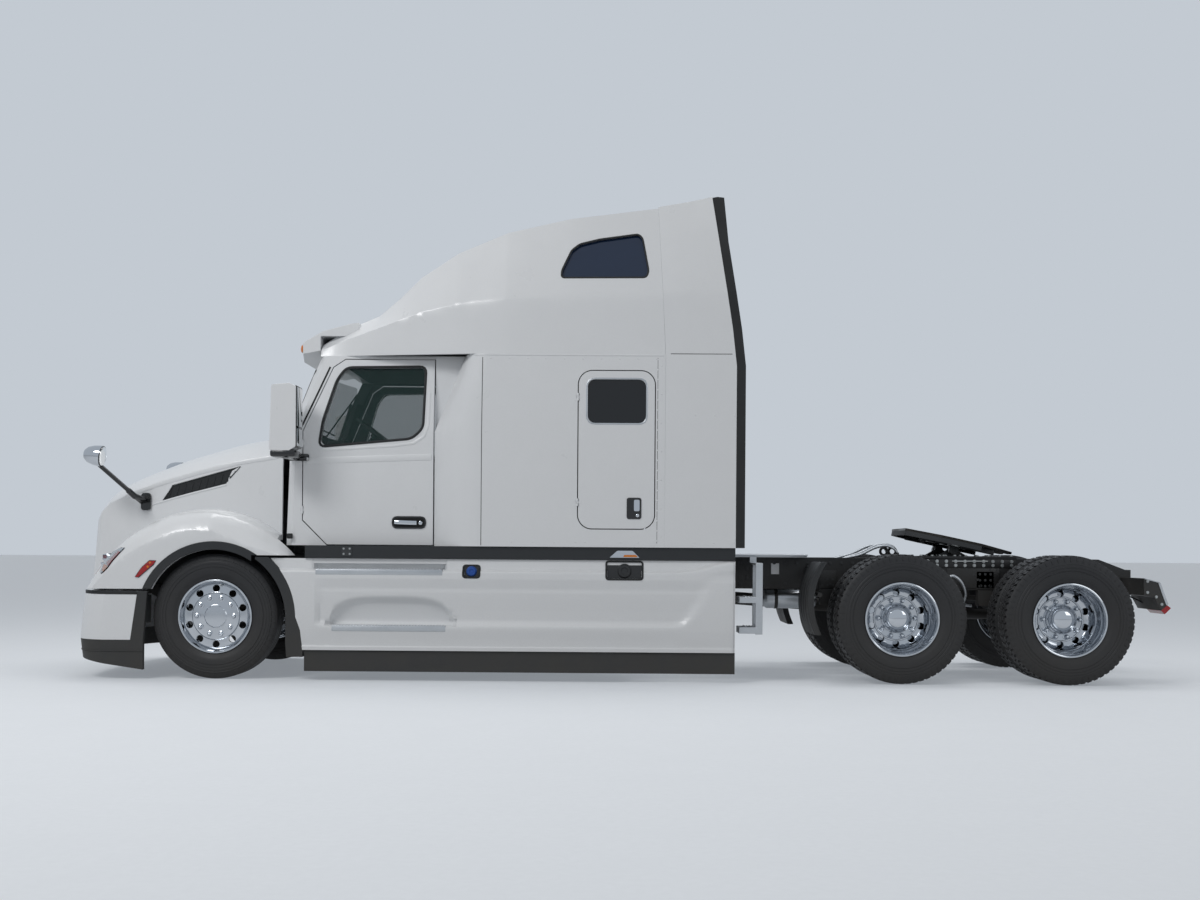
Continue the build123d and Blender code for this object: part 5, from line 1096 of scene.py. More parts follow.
class TRACTOR_OT_side_trim(bpy.types.Operator):
    """Fit seams, rivets, window seals, handles, latches and lamps along the truck's sides"""
    bl_idname = "tractor.side_trim"
    bl_label = "Side trim"

    def execute(self, context):
        for name, side in SIDES:
            self.sleeper(context.scene.tractor_trim, name, side)
            self.cab_door(name, side)
            self.bunk_door(name, side)
            self.belt(name, side)
            strip("pillar_channel_" + name, ("cab_shell",), [((-650, 1990), (-762, 2240), (-876, 2500))], side,
                  bead(0.014, 0.004), "epdm_rubber")
        return {"FINISHED"}

    def sleeper(self, trim, name, side):
        """Seams and rivets of the sleeper, the roof and the extenders."""
        shell, roof, wing = ("sleeper_shell",), ("roof_fairing",), ("side_extenders",)
        # black strips laid on the panels: painted shade in the gaps between them
        seams = bmesh.new()
        line = bead(0.005, 0.0012)
        trim_line(seams, shell, ((-2113, 1075), (-2113, 1980), (-2118, 2560)), side, line)
        trim_line(seams, wing, ((-3600, 2594), (-4085, 2594)), side, line)
        trim_line(seams, shell, ((-3500, 1100), (-3500, 2560)), side, bead(0.003, 0.0008))
        piece_of("body_seams_" + name, seams, "shadow_black")
        strip("roof_drip_rail_" + name, shell, [((-1990, 2580), (-3545, 2580))], side, bead(0.012, 0.004),
              "white_enamel")
        pitch = trim.pitch * 1000
        rows = side_row(shell, (-2185, 2552), (-3490, 2552), pitch, side)
        rows += side_row(shell, (-2185, 1106), (-2860, 1106), pitch, side)
        rows += side_row(shell, (-2935, 1106), (-3490, 1106), pitch, side)
        rows += side_row(shell, (-3502, 1119), (-3502, 2547), 79, side)
        rows += side_row(shell, (-3529, 1150), (-3529, 2500), 240, side)
        for z in (1106, 2110):
            rows += side_row(wing, (-3795, z), (-4105, z), 155, side)
        studs("body_rivets_" + name, rows, "white_enamel", trim.rivet, trim.rivet * 0.5)
        loft = eased(((-2737, 3205), (-3400, 3208), (-3418, 3255), (-3370, 3530), (-3340, 3562), (-3035, 3520),
                      (-2877, 3480), (-2815, 3430), (-2740, 3262)), 22)
        strip("loft_window_seal_" + name, roof, [widen(loft, 5)], side, bead(0.014, 0.004), "epdm_rubber",
              closed=True, pitch=30)

    def cab_door(self, name, side):
        """Window seal, waist creases, pull handle and grab trim on a cab door."""
        node, body = ("cab_door_" + name,), "cab_door_%s_body" % name
        window = eased(((-808, 1862), (-838, 2070), (-940, 2395), (-1010, 2490), (-1640, 2500), (-1625, 2010),
                        (-1540, 1930)), 45)
        strip("door_window_seal_" + name, node, [widen(window, 7)], side, bead(0.02, 0.006), "epdm_rubber", body,
              closed=True, pitch=30)
        ridges = bmesh.new()
        waist = ((-800, 1828), (-1050, 1842), (-1400, 1866), (-1560, 1888), (-1640, 1942), (-1672, 2030),
                 (-1680, 2300))
        trim_line(ridges, node, waist, side, bead(0.022, 0.004))
        trim_line(ridges, node, ((-705, 1742), (-1000, 1752), (-1400, 1768), (-1700, 1778)), side, bead(0.05, 0.006))
        piece_of("door_creases_" + name, ridges, "white_enamel", body, 60)
        # the dish is a thin black sheet on the bezel's face: painted shade in the handle's recess
        for title, outline, lift, thick, material in (
                ("bezel_", slab((-1662, 1204), (-1388, 1304), 48), -2, 8, "gloss_abs"),
                ("shade_dish_", slab((-1650, 1216), (-1400, 1292), 36), 6, 1.5, "shadow_black")):
            plate("door_handle_" + title + name, node, outline, side, lift, thick, material, body)
        grip = bmesh.new()
        path, ups = along_side(node, ((-1412, 1256), (-1440, 1254), (-1560, 1250), (-1585, 1250)), side, 20)
        ends = (0, len(path) - 1)
        lifted = [place + up * (0.006 if i in ends else 0.012) for i, (place, up) in enumerate(zip(path, ups))]
        sweep(grip, lifted, [(-0.017, -0.004), (-0.017, 0.004), (-0.01, 0.009), (0.01, 0.009), (0.017, 0.004),
                             (0.017, -0.004), (0, -0.007)], ups)
        self.button(grip, node, -1618, 1250, side, ((2, 0), (2, 15), (11, 15), (13, 12), (13, 0)), 20)
        piece_of("door_handle_grip_" + name, grip, "chrome_plate", body, 40)

    def button(self, work, node, x, z, side, outline, segments):
        """Adds a round lock barrel on the truck's side; the outline counts outwards from the surface."""
        place = beside(node, x, z, side)[0]
        lathe(work, [(side * (across + 1000 * abs(place.y)), r) for across, r in outline],
              Vector((place.x, 0, place.z)), segments)

    def bunk_door(self, name, side):
        """Window frame and paddle latch of a luggage door."""
        node, body = ("bunk_door_" + name,), "bunk_door_%s_body" % name
        window = slab((-3409, 2045), (-2948, 2390), 60)
        strip("bunk_window_frame_" + name, node, [widen(window, 6)], side, bead(0.013, 0.004), "mill_aluminium", body,
              closed=True, pitch=30)
        plate("bunk_latch_plate_" + name, node, slab((-3376, 1290), (-3261, 1458), 20), side, -2, 7, "gloss_abs", body)
        paddle = bmesh.new()
        lay_plate(paddle, node, slab((-3362, 1352), (-3318, 1442), 12), side, 5, 9)
        self.button(paddle, node, -3346, 1318, side, ((3, 0), (3, 13), (9, 13), (11, 10), (11, 0)), 18)
        piece_of("bunk_latch_paddle_" + name, paddle, "chrome_plate", body, 40)

    def belt(self, name, side):
        """Bracket and puddle lamp on the black belt."""
        node = ("sill_trim",)
        plate("belt_bracket_" + name, node, slab((-1092, 984), (-1012, 1058), 14), side, -1, 6, "cast_iron")
        points = [beside(node, x, z, side) for x, z in ((-1076, 1042), (-1028, 1042), (-1076, 1000), (-1028, 1000))]
        studs("belt_bracket_bolts_" + name, [(place + up * 0.005, up) for place, up in points], "zinc_plate", 0.006,
              0.004, hexagon=True)
        for title, outline, lift, thick, material in (
                ("housing_", eased(((-3366, 985), (-3128, 985), (-3190, 1040), (-3310, 1040)), 8), -1, 12,
                 "chrome_plate"),
                ("lens_", eased(((-3352, 990), (-3235, 990), (-3245, 1008), (-3336, 1008)), 6), 10, 4,
                 "amber_acrylic")):
            plate("belt_lamp_" + title + name, node, outline, side, lift, thick, material)


HOOD = ("hood",)


def spun(name, outline, centre, way, material, body="chassis", segments=32):
    """Makes one piece spun about an axis through a place."""
    work = bmesh.new()
    spindle(work, outline, centre, way, segments)
    return piece_of(name, work, material, body)


class TRACTOR_OT_front(bpy.types.Operator):
    """Fit the hood vents, creases, lamps, markers, grille mesh and bumper trim"""
    bl_idname = "tractor.front"
    bl_label = "Hood and bumper"

    def execute(self, context):
        for name, side in SIDES:
            self.vent(name, side)
            self.mirror(name, side)
            self.headlamp(name, side)
            self.marker(name, side)
            self.fog_lamp(name, side)
        self.meshes()
        self.bumper_trim()
        return {"FINISHED"}

    def vent(self, name, side):
        """Black mesh panel with slanted ribs inside the vent's recess, its lip, and the long crease above it."""
        outline = widen([(533, 1423), (453, 1552), (-127, 1708), (-54, 1668), (-7, 1563)], -4)
        plate("hood_vent_mesh_" + name, HOOD, outline, side, 1, 3, "vent_mesh", "hood_body", 30, 40)
        ribs = []
        for i in range(9):
            x = 478 - i * 62
            low, high = 1444 + (478 - x) * 0.255, 1536 + (478 - x) * 0.255
            ribs.append(((x, low + 6), (x - 22, high - 6)))
        strip("hood_vent_ribs_" + name, HOOD, ribs, side, bead(0.006, 0.008, -0.003), "gloss_abs", "hood_body", 30)
        for title, points, shape in (
                ("vent_lip_", ((618, 1394), (545, 1414), (300, 1480), (-12, 1555)), bead(0.016, 0.006)),
                ("creases_", ((860, 1452), (809, 1477), (555, 1563), (227, 1655), (-100, 1731), (-440, 1785)),
                 bead(0.034, 0.0055))):
            strip("hood_" + title + name, HOOD, [points], side, shape, "white_enamel", "hood_body", 60)

    def mirror(self, name, side):
        """A hood mirror's foot with its arm, its glass and its shell, and the hood's rubber latch."""
        work = bmesh.new()
        lay_plate(work, HOOD, slab((632, 1345), (716, 1488), 30), side, -2, 24, 30)
        foot = beside(HOOD, 676, 1425, side)[0]
        sweep(work, [foot, spot(720, side * 935, 1455), spot(762, side * 962, 1502)], round_bar(0.024, 12), UP)
        piece_of("hood_mirror_base_" + name, work, "gloss_abs", "hood_body", 40)
        head = Matrix.Translation(spot(925, side * 1090, 1765))
        turn = Matrix.Rotation(math.radians(82), 4, "Y") @ Matrix.Rotation(math.radians(-90), 4, "X")
        for title, outline, material in (
                ("glass_", ((0, 0), (0, 76), (3, 76), (5, 70), (6.5, 40), (7, 0)), "silvered_glass"),
                ("shell_", ((-6, 81), (-6, 84), (-20, 84.5), (-70, 78), (-115, 63.5), (-142, 39), (-154, 0), (-152, 0),
                            (-142, 36), (-115, 61), (-70, 75), (-20, 81)), "chrome_plate")):
            work = bmesh.new()
            lathe(work, outline, ORIGIN, 40)
            work.transform(head @ turn)
            piece_of("hood_mirror_" + title + name, work, material, "hood_body")
        work = bmesh.new()
        block(work, spot(-600, side * 1098 - 0.02, 1118), spot(-556, side * 1098 + 0.02, 1160), 0.006)
        piece_of("hood_latch_" + name, work, "epdm_rubber", "hood_body")

    def headlamp(self, name, side):
        """Bowl, red side reflex, amber turn lamp and beams behind the lens, and the lamp's thin end on the fender."""
        node = ("headlamps", "hood")
        bowl = eased(((800, 1015), (945, 985), (1030, 860), (1060, 790), (950, 800), (890, 870)), 12)
        reflex = eased(((836, 1000), (880, 985), (945, 900), (985, 822), (950, 815), (900, 884)), 8)
        turn = eased(((940, 852), (985, 868), (1006, 820), (962, 812)), 12)
        for title, outline, lift, thick, pitch, material in (
                ("bowl_", widen(bowl, -6), -34, 6, 30, "chrome_plate"), ("reflex_", reflex, -27, 5, 30, "red_acrylic"),
                ("turn_", turn, -21, 7, 20, "amber_acrylic")):
            plate("headlamp_" + title + name, node, outline, side, lift, thick, material, "hood_body", 30, pitch)
        beams = [(place - up * 0.03, up) for place, up in
                 (land(node, spot(1400, side * y, 868), BACK) for y in (820, 930))]
        studs("headlamp_beams_" + name, beams, "chrome_plate", 0.036, 0.012, "hood_body")
        wing = [(721, 1037), (757, 1033), (815, 1008), (868, 960), (900, 906), (906, 850), (896, 834), (878, 844),
                (846, 876), (805, 940), (757, 997)]
        for title, shape, lift, thick, material in (
                ("rim_", widen(wing, 6), -1, 3, "gloss_abs"), ("bowl_", wing, 2, 2, "chrome_plate"),
                ("reflex_", ((862, 918), (773, 1014), (752, 1004), (805, 944), (840, 892)), 4, 2, "red_acrylic"),
                ("turn_", ((888, 905), (852, 898), (848, 882), (877, 850), (892, 852)), 4, 3, "amber_acrylic"),
                ("lens_", widen(wing, 2), 9, 2.5, "clear_polycarbonate")):
            work = bmesh.new()
            lay_plate(work, node, shape, side, lift, thick, 30)
            bmesh.ops.translate(work, verts=work.verts[:], vec=(lift * 0.0008, 0, 0))
            piece_of("headlamp_wing_" + title + name, work, material, "hood_body")

    def marker(self, name, side):
        """Red side marker with two amber lights and a thin black rim on the fender."""
        outline = [(592, 806), (476, 906), (457, 935), (505, 935), (566, 880), (617, 806)]
        plate("marker_rim_" + name, HOOD, widen(outline, 5), side, -2, 6, "gloss_abs", "hood_body", 30, 30)
        plate("marker_lens_" + name, HOOD, outline, side, 3, 6, "red_acrylic", "hood_body", 30, 30)
        spots = [beside(HOOD, x, z, side) for x, z in ((499, 920), (517, 888))]
        studs("marker_lights_" + name, [(place + up * 0.008, up) for place, up in spots], "amber_acrylic", 0.011,
              0.007, "hood_body")

    def fog_lamp(self, name, side):
        """Round lamp in a dark recess of the bumper's front corner, and a tow hook beside the intake."""
        place, up = land(("bumper",), spot(1600, side * 640, 470), BACK)
        for title, material, outline in (
                ("fog_bezel_", "gloss_abs", ((-4, 0), (-4, 74), (4, 74), (7, 66), (3, 60), (2, 0))),
                ("fog_lens_", "clear_polycarbonate", ((1, 0), (1, 56), (8, 50), (12, 30), (13, 0))),
                ("fog_bowl_", "chrome_plate", ((-2, 0), (2.2, 54), (0.5, 20), (0, 0)))):
            spun(title + name, outline, place, up, material, segments=36)
        hook = bmesh.new()
        path = [spot(x, side * 430, z) for x, z in ((1150, 470), (1192, 470), (1201, 500), (1190, 522), (1150, 524))]
        sweep(hook, path, round_bar(0.011, 10), LEFT)
        piece_of("tow_hook_" + name, hook, "cast_iron", angle=40)

    def meshes(self):
        """Woven wire behind the grille bars, and the bumper's intake with its screen and duct."""
        lean, wire = math.tan(math.radians(3.5)), flat_bar(0.0015, 0.0015)
        work = bmesh.new()
        for y in range(-480, 481, 20):
            top = spot(1098 - 620 * lean, y, 1378)
            if abs(y) > 400:
                top = spot(1098 - 200 * lean, y, 760 + (520 - abs(y)) * 5.1)
            sweep(work, [spot(1098, y, 760), top], wire, AHEAD)
        for i in range(30):
            z = 765 + i * 20.5
            half = 515 - 120 * (z - 750) / 635
            x = 1096 - (z - 760) * lean
            sweep(work, [spot(x, -half, z), spot(x, half, z)], wire, AHEAD)
        piece_of("grille_screen", work, "gloss_abs", "hood_body")
        work = bmesh.new()
        for i in range(9):
            z = 414 + i * 20
            block(work, spot(1120, -385, z), spot(1132, 385, z + 5), 0.0015)
        for i in range(13):
            y = -360 + i * 60
            block(work, spot(1118, y - 3, 396), spot(1134, y + 3, 594), 0.001)
        piece_of("intake_screen", work, "grained_polypropylene")
        work = bmesh.new()
        for low, high in (((1000, -420, 370), (1008, 420, 620)), ((1008, -420, 370), (1112, 420, 378)),
                          ((1008, -420, 612), (1112, 420, 620)), ((1008, -420, 378), (1112, -412, 612)),
                          ((1008, 412, 378), (1112, 420, 612))):
            block(work, spot(*low), spot(*high), 0.002)
        piece_of("intake_duct", work, "grained_polypropylene")

    def bumper_trim(self):
        """The black strip on the bumper's top edge and a soft crease on the air dam below it."""
        for title, z, setback, start, shape, material in (
                ("bumper_top_strip", 683, 40, 602, bead(0.03, 0.003), "epdm_rubber"),
                ("air_dam_crease", 222, 11, 556, bead(0.01, 0.006), "grained_polypropylene")):
            tip, half = 1215 - setback, 1218
            plan = [(start, -half)] + arc((tip - 330, -half), (tip - 165, 100 - half), (tip - 72, 290 - half), 10)
            plan += arc((tip - 72, 290 - half), (tip, 0), (tip - 72, half - 290), 24)[1:]
            plan += arc((tip - 72, half - 290), (tip - 165, half - 100), (tip - 330, half), 10)[1:] + [(start, half)]
            path = [spot(x, y, z) for x, y in plan]
            ups = []
            for i in range(len(path)):
                along = path[min(i + 1, len(path) - 1)] - path[max(i - 1, 0)]
                ups.append(along.cross(UP).normalized())
            work = bmesh.new()
            sweep(work, path, shape, ups)
            piece_of(title, work, material, angle=40)


class TRACTOR_OT_cab_outside(bpy.types.Operator):
    """Fit the cab mirrors' housings and glass, wipers, visor lamps and the windshield's seal"""
    bl_idname = "tractor.cab_outside"
    bl_label = "Cab outside"

    def execute(self, context):
        for name, side in SIDES:
            self.mirror(name, side)
        self.visor_lamps()
        self.wipers()
        return {"FINISHED"}

    def mirror(self, name, side):
        """Black rear housing, main and wide-angle glass, and the lower bracket of a cab mirror."""
        work = bmesh.new()
        block(work, spot(-700, side * 1232, 1822), spot(-676, side * 1438, 2306), 0.012)
        block(work, spot(-690, side * 1226, 1750), spot(-490, side * 1440, 1806), 0.018)
        sweep(work, [spot(-560, side * 1300, 1775), spot(-600, side * 1180, 1768), spot(-620, side * 1060, 1765)],
              round_bar(0.028, 12), AHEAD)
        block(work, spot(-724, side * 1075 - 0.02, 1740), spot(-560, side * 1075 + 0.02, 1795), 0.012)
        piece_of("cab_mirror_housing_" + name, work, "gloss_abs", angle=40)
        work = bmesh.new()
        for low, high in ((1990, 2292), (1836, 1972)):
            block(work, spot(-703, side * 1244, low), spot(-698, side * 1426, high), 0.002)
        piece_of("cab_mirror_glass_" + name, work, "silvered_glass", angle=40)

    def visor_lamps(self):
        """Five amber clearance lamps along the visor."""
        places = [land(("visor",), spot(1000, y, 2668), BACK) for y in (-820, -300, 0, 300, 820)]
        studs("clearance_lamp_bases", places, "gloss_abs", 0.05, 0.006)
        studs("clearance_lamps", [(place + up * 0.003, up) for place, up in places], "amber_acrylic", 0.036, 0.02)

    def wipers(self):
        """Two wiper arms with their blades resting on the windshield, and its seal."""
        pane, scuttle = ("windshield",), ("cab_shell",)
        work = bmesh.new()
        for y0, y1 in ((60, 640), (-760, -180)):
            blade, ups = [], []
            for i in range(13):
                place, up = land(pane, spot(400, y0 + (y1 - y0) * i / 12, 2085 + 26 * i / 12), BACK)
                blade.append(place + up * 0.012)
                ups.append(up)
            sweep(work, blade, [(-0.005, -0.011), (0.005, -0.011), (0.007, 0.004), (-0.007, 0.004)], ups)
            mid, up = land(pane, spot(400, (y0 + y1) / 2, 2100), BACK)
            foot, foot_up = land(scuttle, spot(400, y1, 2010), BACK, spot(-540, y1, 2010))
            sweep(work, [foot + foot_up * 0.01, (foot + mid) / 2 + up * 0.04, mid + up * 0.02],
                  flat_bar(0.009, 0.004), up)
        piece_of("wipers", work, "gloss_abs", angle=40)
        seal = bmesh.new()
        outline = eased(((-958, 2034), (958, 2034), (876, 2541), (-876, 2541)), 70)
        path = [land(scuttle, spot(400, y, z), BACK, spot(-640, y, z))[0] for y, z in walk(outline, 60, True)]
        sweep(seal, path, bead(0.024, 0.005), Vector((0.94, 0, 0.34)), True)
        piece_of("windshield_seal", seal, "epdm_rubber", angle=40)


RAIL_FACE = 432     # half the width over the rails
DRIVEN = tuple(x for place, x, radius in AXLES[1:])
PLATE_PIN = spot(-6039.5, 0, 1068)
PLATE_LEAN = math.radians(12)
TAIL_X = -7480.5


class TRACTOR_OT_rear_frame(bpy.types.Operator):
    """Bolt up the frame behind the sleeper: hoses, tanks, dampers, brake chambers, air springs and tail"""
    bl_idname = "tractor.rear_frame"
    bl_label = "Rear frame"

    def execute(self, context):
        for name, side in SIDES:
            self.rail_bolts(name, side)
            self.axle_ends(name, side)
            self.fender_edge(name, side)
            self.tail(name, side)
        self.deck()
        self.hoses()
        self.housings()
        return {"FINISHED"}

    def rail_bolts(self, name, side):
        """Flanged bolts on the rails, the fifth wheel's angle irons, splice plates and a blank label."""
        rows = [(x, 950) for x in range(-4230, -5500, -94)] + [(x, 775) for x in range(-4230, -5060, -188)]
        rows += [(x, z) for x in (-4285, -4325) for z in (820, 900)]
        rows += [(-5984, 905), (-6068, 905), (-6127, 905), (-6186, 861), (-6219, 819), (-6245, 768), (-6320, 768),
                 (-6379, 768), (-6320, 905), (-6379, 905)]
        for x in DRIVEN:
            rows += [(x + 480 + dx, z) for dx in (-45, 0, 45) for z in (765, 815, 865)]
            rows += [(x - 330 + dx, z) for dx in (-60, 60) for z in (765, 830)]
        rows += [(x, 905) for x in range(-6600, -7200, -120)]
        out = Vector((0, side, 0))
        studs("rail_bolts_" + name, [(spot(x, side * (RAIL_FACE + 1), z), out) for x, z in rows], "cast_iron", 0.0115,
              0.009, hexagon=True)
        work = bmesh.new()
        face, proud = side * RAIL_FACE, side * (RAIL_FACE + 9)
        block(work, spot(-6535, face, 918), spot(-5545, proud, 994), 0.002)
        for x in DRIVEN:
            block(work, spot(x + 405, face, 735), spot(x + 555, proud, 890), 0.004)
        block(work, spot(-6400, face, 745), spot(-5960, proud, 915), 0.004)
        piece_of("rail_angles_" + name, work, "chassis_enamel")
        places = [(spot(x, side * (RAIL_FACE + 10), z), out) for x in range(-6500, -5560, 78) for z in (938, 972)]
        studs("angle_bolts_" + name, places, "zinc_plate", 0.0105, 0.009, hexagon=True)
        work = bmesh.new()
        block(work, spot(-6300, side * 441, 968), spot(-6000, side * 452, 978), 0.002)
        piece_of("slide_bar_" + name, work, "zinc_plate")
        if side > 0:
            work = bmesh.new()
            block(work, spot(-4553, 432, 853), spot(-4486, 433.2, 945), 0.0004)
            piece_of("blank_label", work, "white_enamel_low")

    def axle_ends(self, name, side):
        """Brake chambers, air spring bellows and dampers at each driven wheel, and the tanks' straps."""
        cups, steel, rubber, bright, straps = (bmesh.new() for i in range(5))
        chamber = ((0, 0), (0, 30), (6, 52), (40, 62), (52, 64), (54, 69), (64, 69), (66, 64), (84, 60), (112, 60),
                   (114, 66), (124, 66), (126, 60), (150, 54), (160, 34), (160, 0))
        bellows = ((0, 0), (0, 70), (10, 96), (30, 109), (60, 112), (84, 106), (98, 96), (106, 96), (120, 106),
                   (146, 112), (176, 110), (196, 98), (206, 72), (206, 0))
        for x in DRIVEN:
            pot, spring = spot(x + 112, side * 522, 604), spot(x - 330, side * 395, 512)
            spindle(cups, chamber, pot, AHEAD)
            spindle(bright, ((50, 66), (50, 71), (68, 71), (68, 66)), pot, AHEAD)
            sweep(cups, [pot, spot(x + 40, side * 526, 600)], round_bar(0.011, 10), UP)
            spindle(rubber, bellows, spring, UP, 40)
            spindle(steel, ((98, 90), (98, 99), (106, 99), (106, 90)), spring, UP, 40)
            foot, top = spot(x - 96, side * 500, 470), spot(x - 190, side * 476, 905)
            way = top - foot
            spindle(steel, ((0, 0), (0, 20), (20, 26), (26, 32), (250, 32), (256, 26), (256, 0)), foot, way, 24)
            spindle(bright, ((250, 0), (250, 12), (300, 12), (300, 0)), foot, way, 18)
            spindle(steel, ((290, 0), (290, 37), (408, 37), (416, 24), (436, 18), (436, 0)), foot, way, 24)
            for end in (foot, top):
                spindle(rubber, ((-26, 0), (-26, 22), (26, 22), (26, 0)), end, LEFT, 20)
            block(steel, spot(x - 215, side * 433, 880), spot(x - 165, side * 500, 930), 0.004)
        for x in (-3150, -2410):
            spindle(straps, ((-24, 319), (-24, 323), (24, 323), (24, 319)), spot(x, side * 790, 620), AHEAD, 64)
        for title, work, material in (("brake_chambers_", cups, "cast_iron"), ("chamber_bands_", bright, "zinc_plate"),
                                      ("air_bellows_", rubber, "epdm_rubber"), ("dampers_", steel, "chassis_enamel"),
                                      ("tank_straps_", straps, "zinc_plate")):
            piece_of(title + name, work, material)

    def fender_edge(self, name, side):
        """Rolled edges, ribs, stays and bolts of a quarter fender."""
        work = bmesh.new()
        for y in (603, 1187):
            for back in (-4, -41):
                line = arc((-4800 + back, 958), (-4698 + back, 620), (-4756 + back, 387), 24)
                sweep(work, [spot(x, side * y, z) for x, z in line], round_bar(0.007, 8), LEFT)
        for y in (760, 895, 1030):
            line = arc((-4797, 940), (-4697, 620), (-4752, 410), 20)
            sweep(work, [spot(x, side * y, z) for x, z in line], bead(0.03, 0.005), AHEAD)
        piece_of("quarter_fender_edges_" + name, work, "grained_polypropylene", angle=40)
        work = bmesh.new()
        stays = (880, 700)
        for z in stays:
            sweep(work, [spot(-4820, side * 434, z), spot(-4820, side * 700, z), spot(-4800, side * 1120, z)],
                  round_bar(0.019, 12), UP)
            block(work, spot(-4860, side * 452 - 0.02, z - 55), spot(-4780, side * 452 + 0.02, z + 55), 0.004)
        piece_of("quarter_fender_stays_" + name, work, "chassis_enamel", angle=40)
        bolts = [(spot(-4820 + dx, side * 473, z + dz), Vector((0, side, 0)))
                 for z in stays for dx in (-25, 25) for dz in (-38, 38)]
        studs("quarter_fender_bolts_" + name, bolts, "zinc_plate", 0.008, 0.007, hexagon=True)

    def tail(self, name, side):
        """Bright edge, round lamps, bolts and a lead on a tail arm."""
        work = bmesh.new()
        out = Vector((0, side, 0))
        for points, half in ((((-64, 812), (-97, 718), (-128, 637)), 0.009), (((55, 846), (-62, 816)), 0.004)):
            sweep(work, [spot(TAIL_X + x, side * 962, z) for x, z in points], flat_bar(half, 0.003), out)
        piece_of("tail_edge_" + name, work, "mill_aluminium")
        rear = Vector((-0.9, 0, -0.44))
        lamps = [spot(TAIL_X - 142, side * y, 602) for y in (705, 800, 895)]
        studs("tail_lamp_rims_" + name, [(place, rear) for place in lamps], "gloss_abs", 0.028, 0.006)
        studs("tail_lamp_lenses_" + name, [(place + rear * 0.002, rear) for place in lamps], "red_acrylic", 0.022,
              0.012)
        bolts = [(spot(TAIL_X + x, side * 961, z), out) for x, z in ((30, 825), (30, 735), (-40, 700), (-85, 640))]
        studs("tail_arm_bolts_" + name, bolts, "zinc_plate", 0.009, 0.007, hexagon=True)
        work = bmesh.new()
        lead = [spot(TAIL_X + x, side * y, z)
                for x, y, z in ((40, 500, 700), (-20, 560, 668), (-60, 640, 640), (-88, 700, 640))]
        sweep(work, curl(lead), round_bar(0.006, 8), UP)
        piece_of("tail_lamp_lead_" + name, work, "epdm_rubber", angle=40)

    def deck(self):
        """Grip buttons and a rolled edge on the deck, serrated treads on the ladder, and two reservoirs."""
        grips = [(spot(-4740 + 40 * i, -590 + 40 * k + 20 * (i % 2), 1020), UP) for i in range(15) for k in range(30)]
        for z in (440, 680):
            grips += [(spot(-4310 + 24 * i, 885 + 22 * k + 11 * (i % 2), z), UP) for i in range(5) for k in range(11)]
        studs("deck_grips", grips, "mill_aluminium", 0.011, 0.004)
        work = bmesh.new()
        corners = (spot(-4758, -618, 1012), spot(-4142, -618, 1012), spot(-4758, 618, 1012), spot(-4142, 618, 1012))
        for one, other in ((0, 1), (2, 3), (0, 2), (1, 3)):
            sweep(work, [corners[one], corners[other]], round_bar(0.011, 10), UP)
        for z in (440, 680):
            for k in range(12):
                block(work, spot(-4219, 884 + 21 * k, z - 2), spot(-4211, 894 + 21 * k, z + 7), 0.0015)
        piece_of("deck_edges", work, "mill_aluminium", angle=40)
        tanks, bands = bmesh.new(), bmesh.new()
        shape = ((0, 0), (4, 30), (16, 58), (34, 74), (46, 78), (424, 78), (436, 74), (454, 58), (466, 30), (470, 0))
        for side in (1, -1):
            y, end = side * 292, spot(-4890, side * 292, 640)
            spindle(tanks, shape, end, AHEAD, 40)
            for at in (110, 350):
                x0, x1 = -4890 + at - 14, -4890 + at + 14
                spindle(bands, ((at - 14, 77), (at - 14, 81), (at + 14, 81), (at + 14, 77)), end, AHEAD, 40)
                block(bands, spot(x0, y - 0.01, 712), spot(x1, y + 0.01, 742), 0.002)
                block(bands, spot(x0, side * 285, 732), spot(x1, side * 352, 742), 0.002)
        piece_of("air_reservoirs", tanks, "mill_aluminium")
        piece_of("reservoir_bands", bands, "chassis_enamel")

    def hoses(self):
        """The looped air lines ahead of the fifth wheel with their holder, and lines between rails and axles."""
        rubber, silver = bmesh.new(), bmesh.new()

        def hose(work, points, radius, sides, up=LEFT):
            sweep(work, curl([spot(*point) for point in points]), round_bar(radius, sides), up)

        for y, tall in ((205, 0), (235, -14), (-215, -6)):
            hose(silver, ((-5030, y, 930), (-5120, y, 985), (-5265, y, 1034 + tall), (-5390, y, 1094 + tall),
                          (-5480, y, 1112 + tall), (-5550, y, 1090 + tall), (-5575, y, 1050), (-5580, y, 1014)),
                 0.011, 10)
            spindle(rubber, ((-14, 0), (-14, 17), (14, 17), (14, 0)), spot(-5580, y, 1028), UP, 6)
        for y in (188, -196):
            spindle(rubber, ((-14, 22), (-16, 36), (-8, 42), (8, 42), (16, 36), (14, 22)), spot(-5547, y, 1052), LEFT,
                    30)
        for x in DRIVEN:
            for side in (1, -1):
                for k in range(2):
                    hose(rubber, ((x + 60 + 46 * k, side * 440, 800), (x + 70 + 46 * k, side * 498, 790),
                                  (x + 150 + 20 * k, side * 548, 735), (x + 168 + 26 * k, side * 552, 690),
                                  (x + 160 + 42 * k, side * 524, 660)), 0.009, 8)
        for side in (1, -1):
            hose(silver, ((-5905, side * 440, 800), (-5925, side * 496, 812), (-5990, side * 520, 850),
                          (-6060, side * 520, 800), (-6100, side * 515, 700), (-6085, side * 500, 620),
                          (-6160, side * 455, 600)), 0.012, 10)
            hose(rubber, ((-5950, side * 440, 780), (-5965, side * 490, 770), (-6010, side * 500, 700),
                          (-6080, side * 500, 650), (-6190, side * 470, 640)), 0.012, 10)
            for y in (250, 268, 286):
                hose(rubber, ((-4060, side * y, 830), (-4500, side * y, 822), (-5300, side * y, 826),
                              (-6000, side * y, 830), (-6500, side * y, 824), (-7300, side * y, 830)), 0.008, 8, UP)
            for x in range(-4240, -7200, -420):
                block(rubber, spot(x - 12, side * 238, 814), spot(x + 12, side * 343, 842), 0.002)
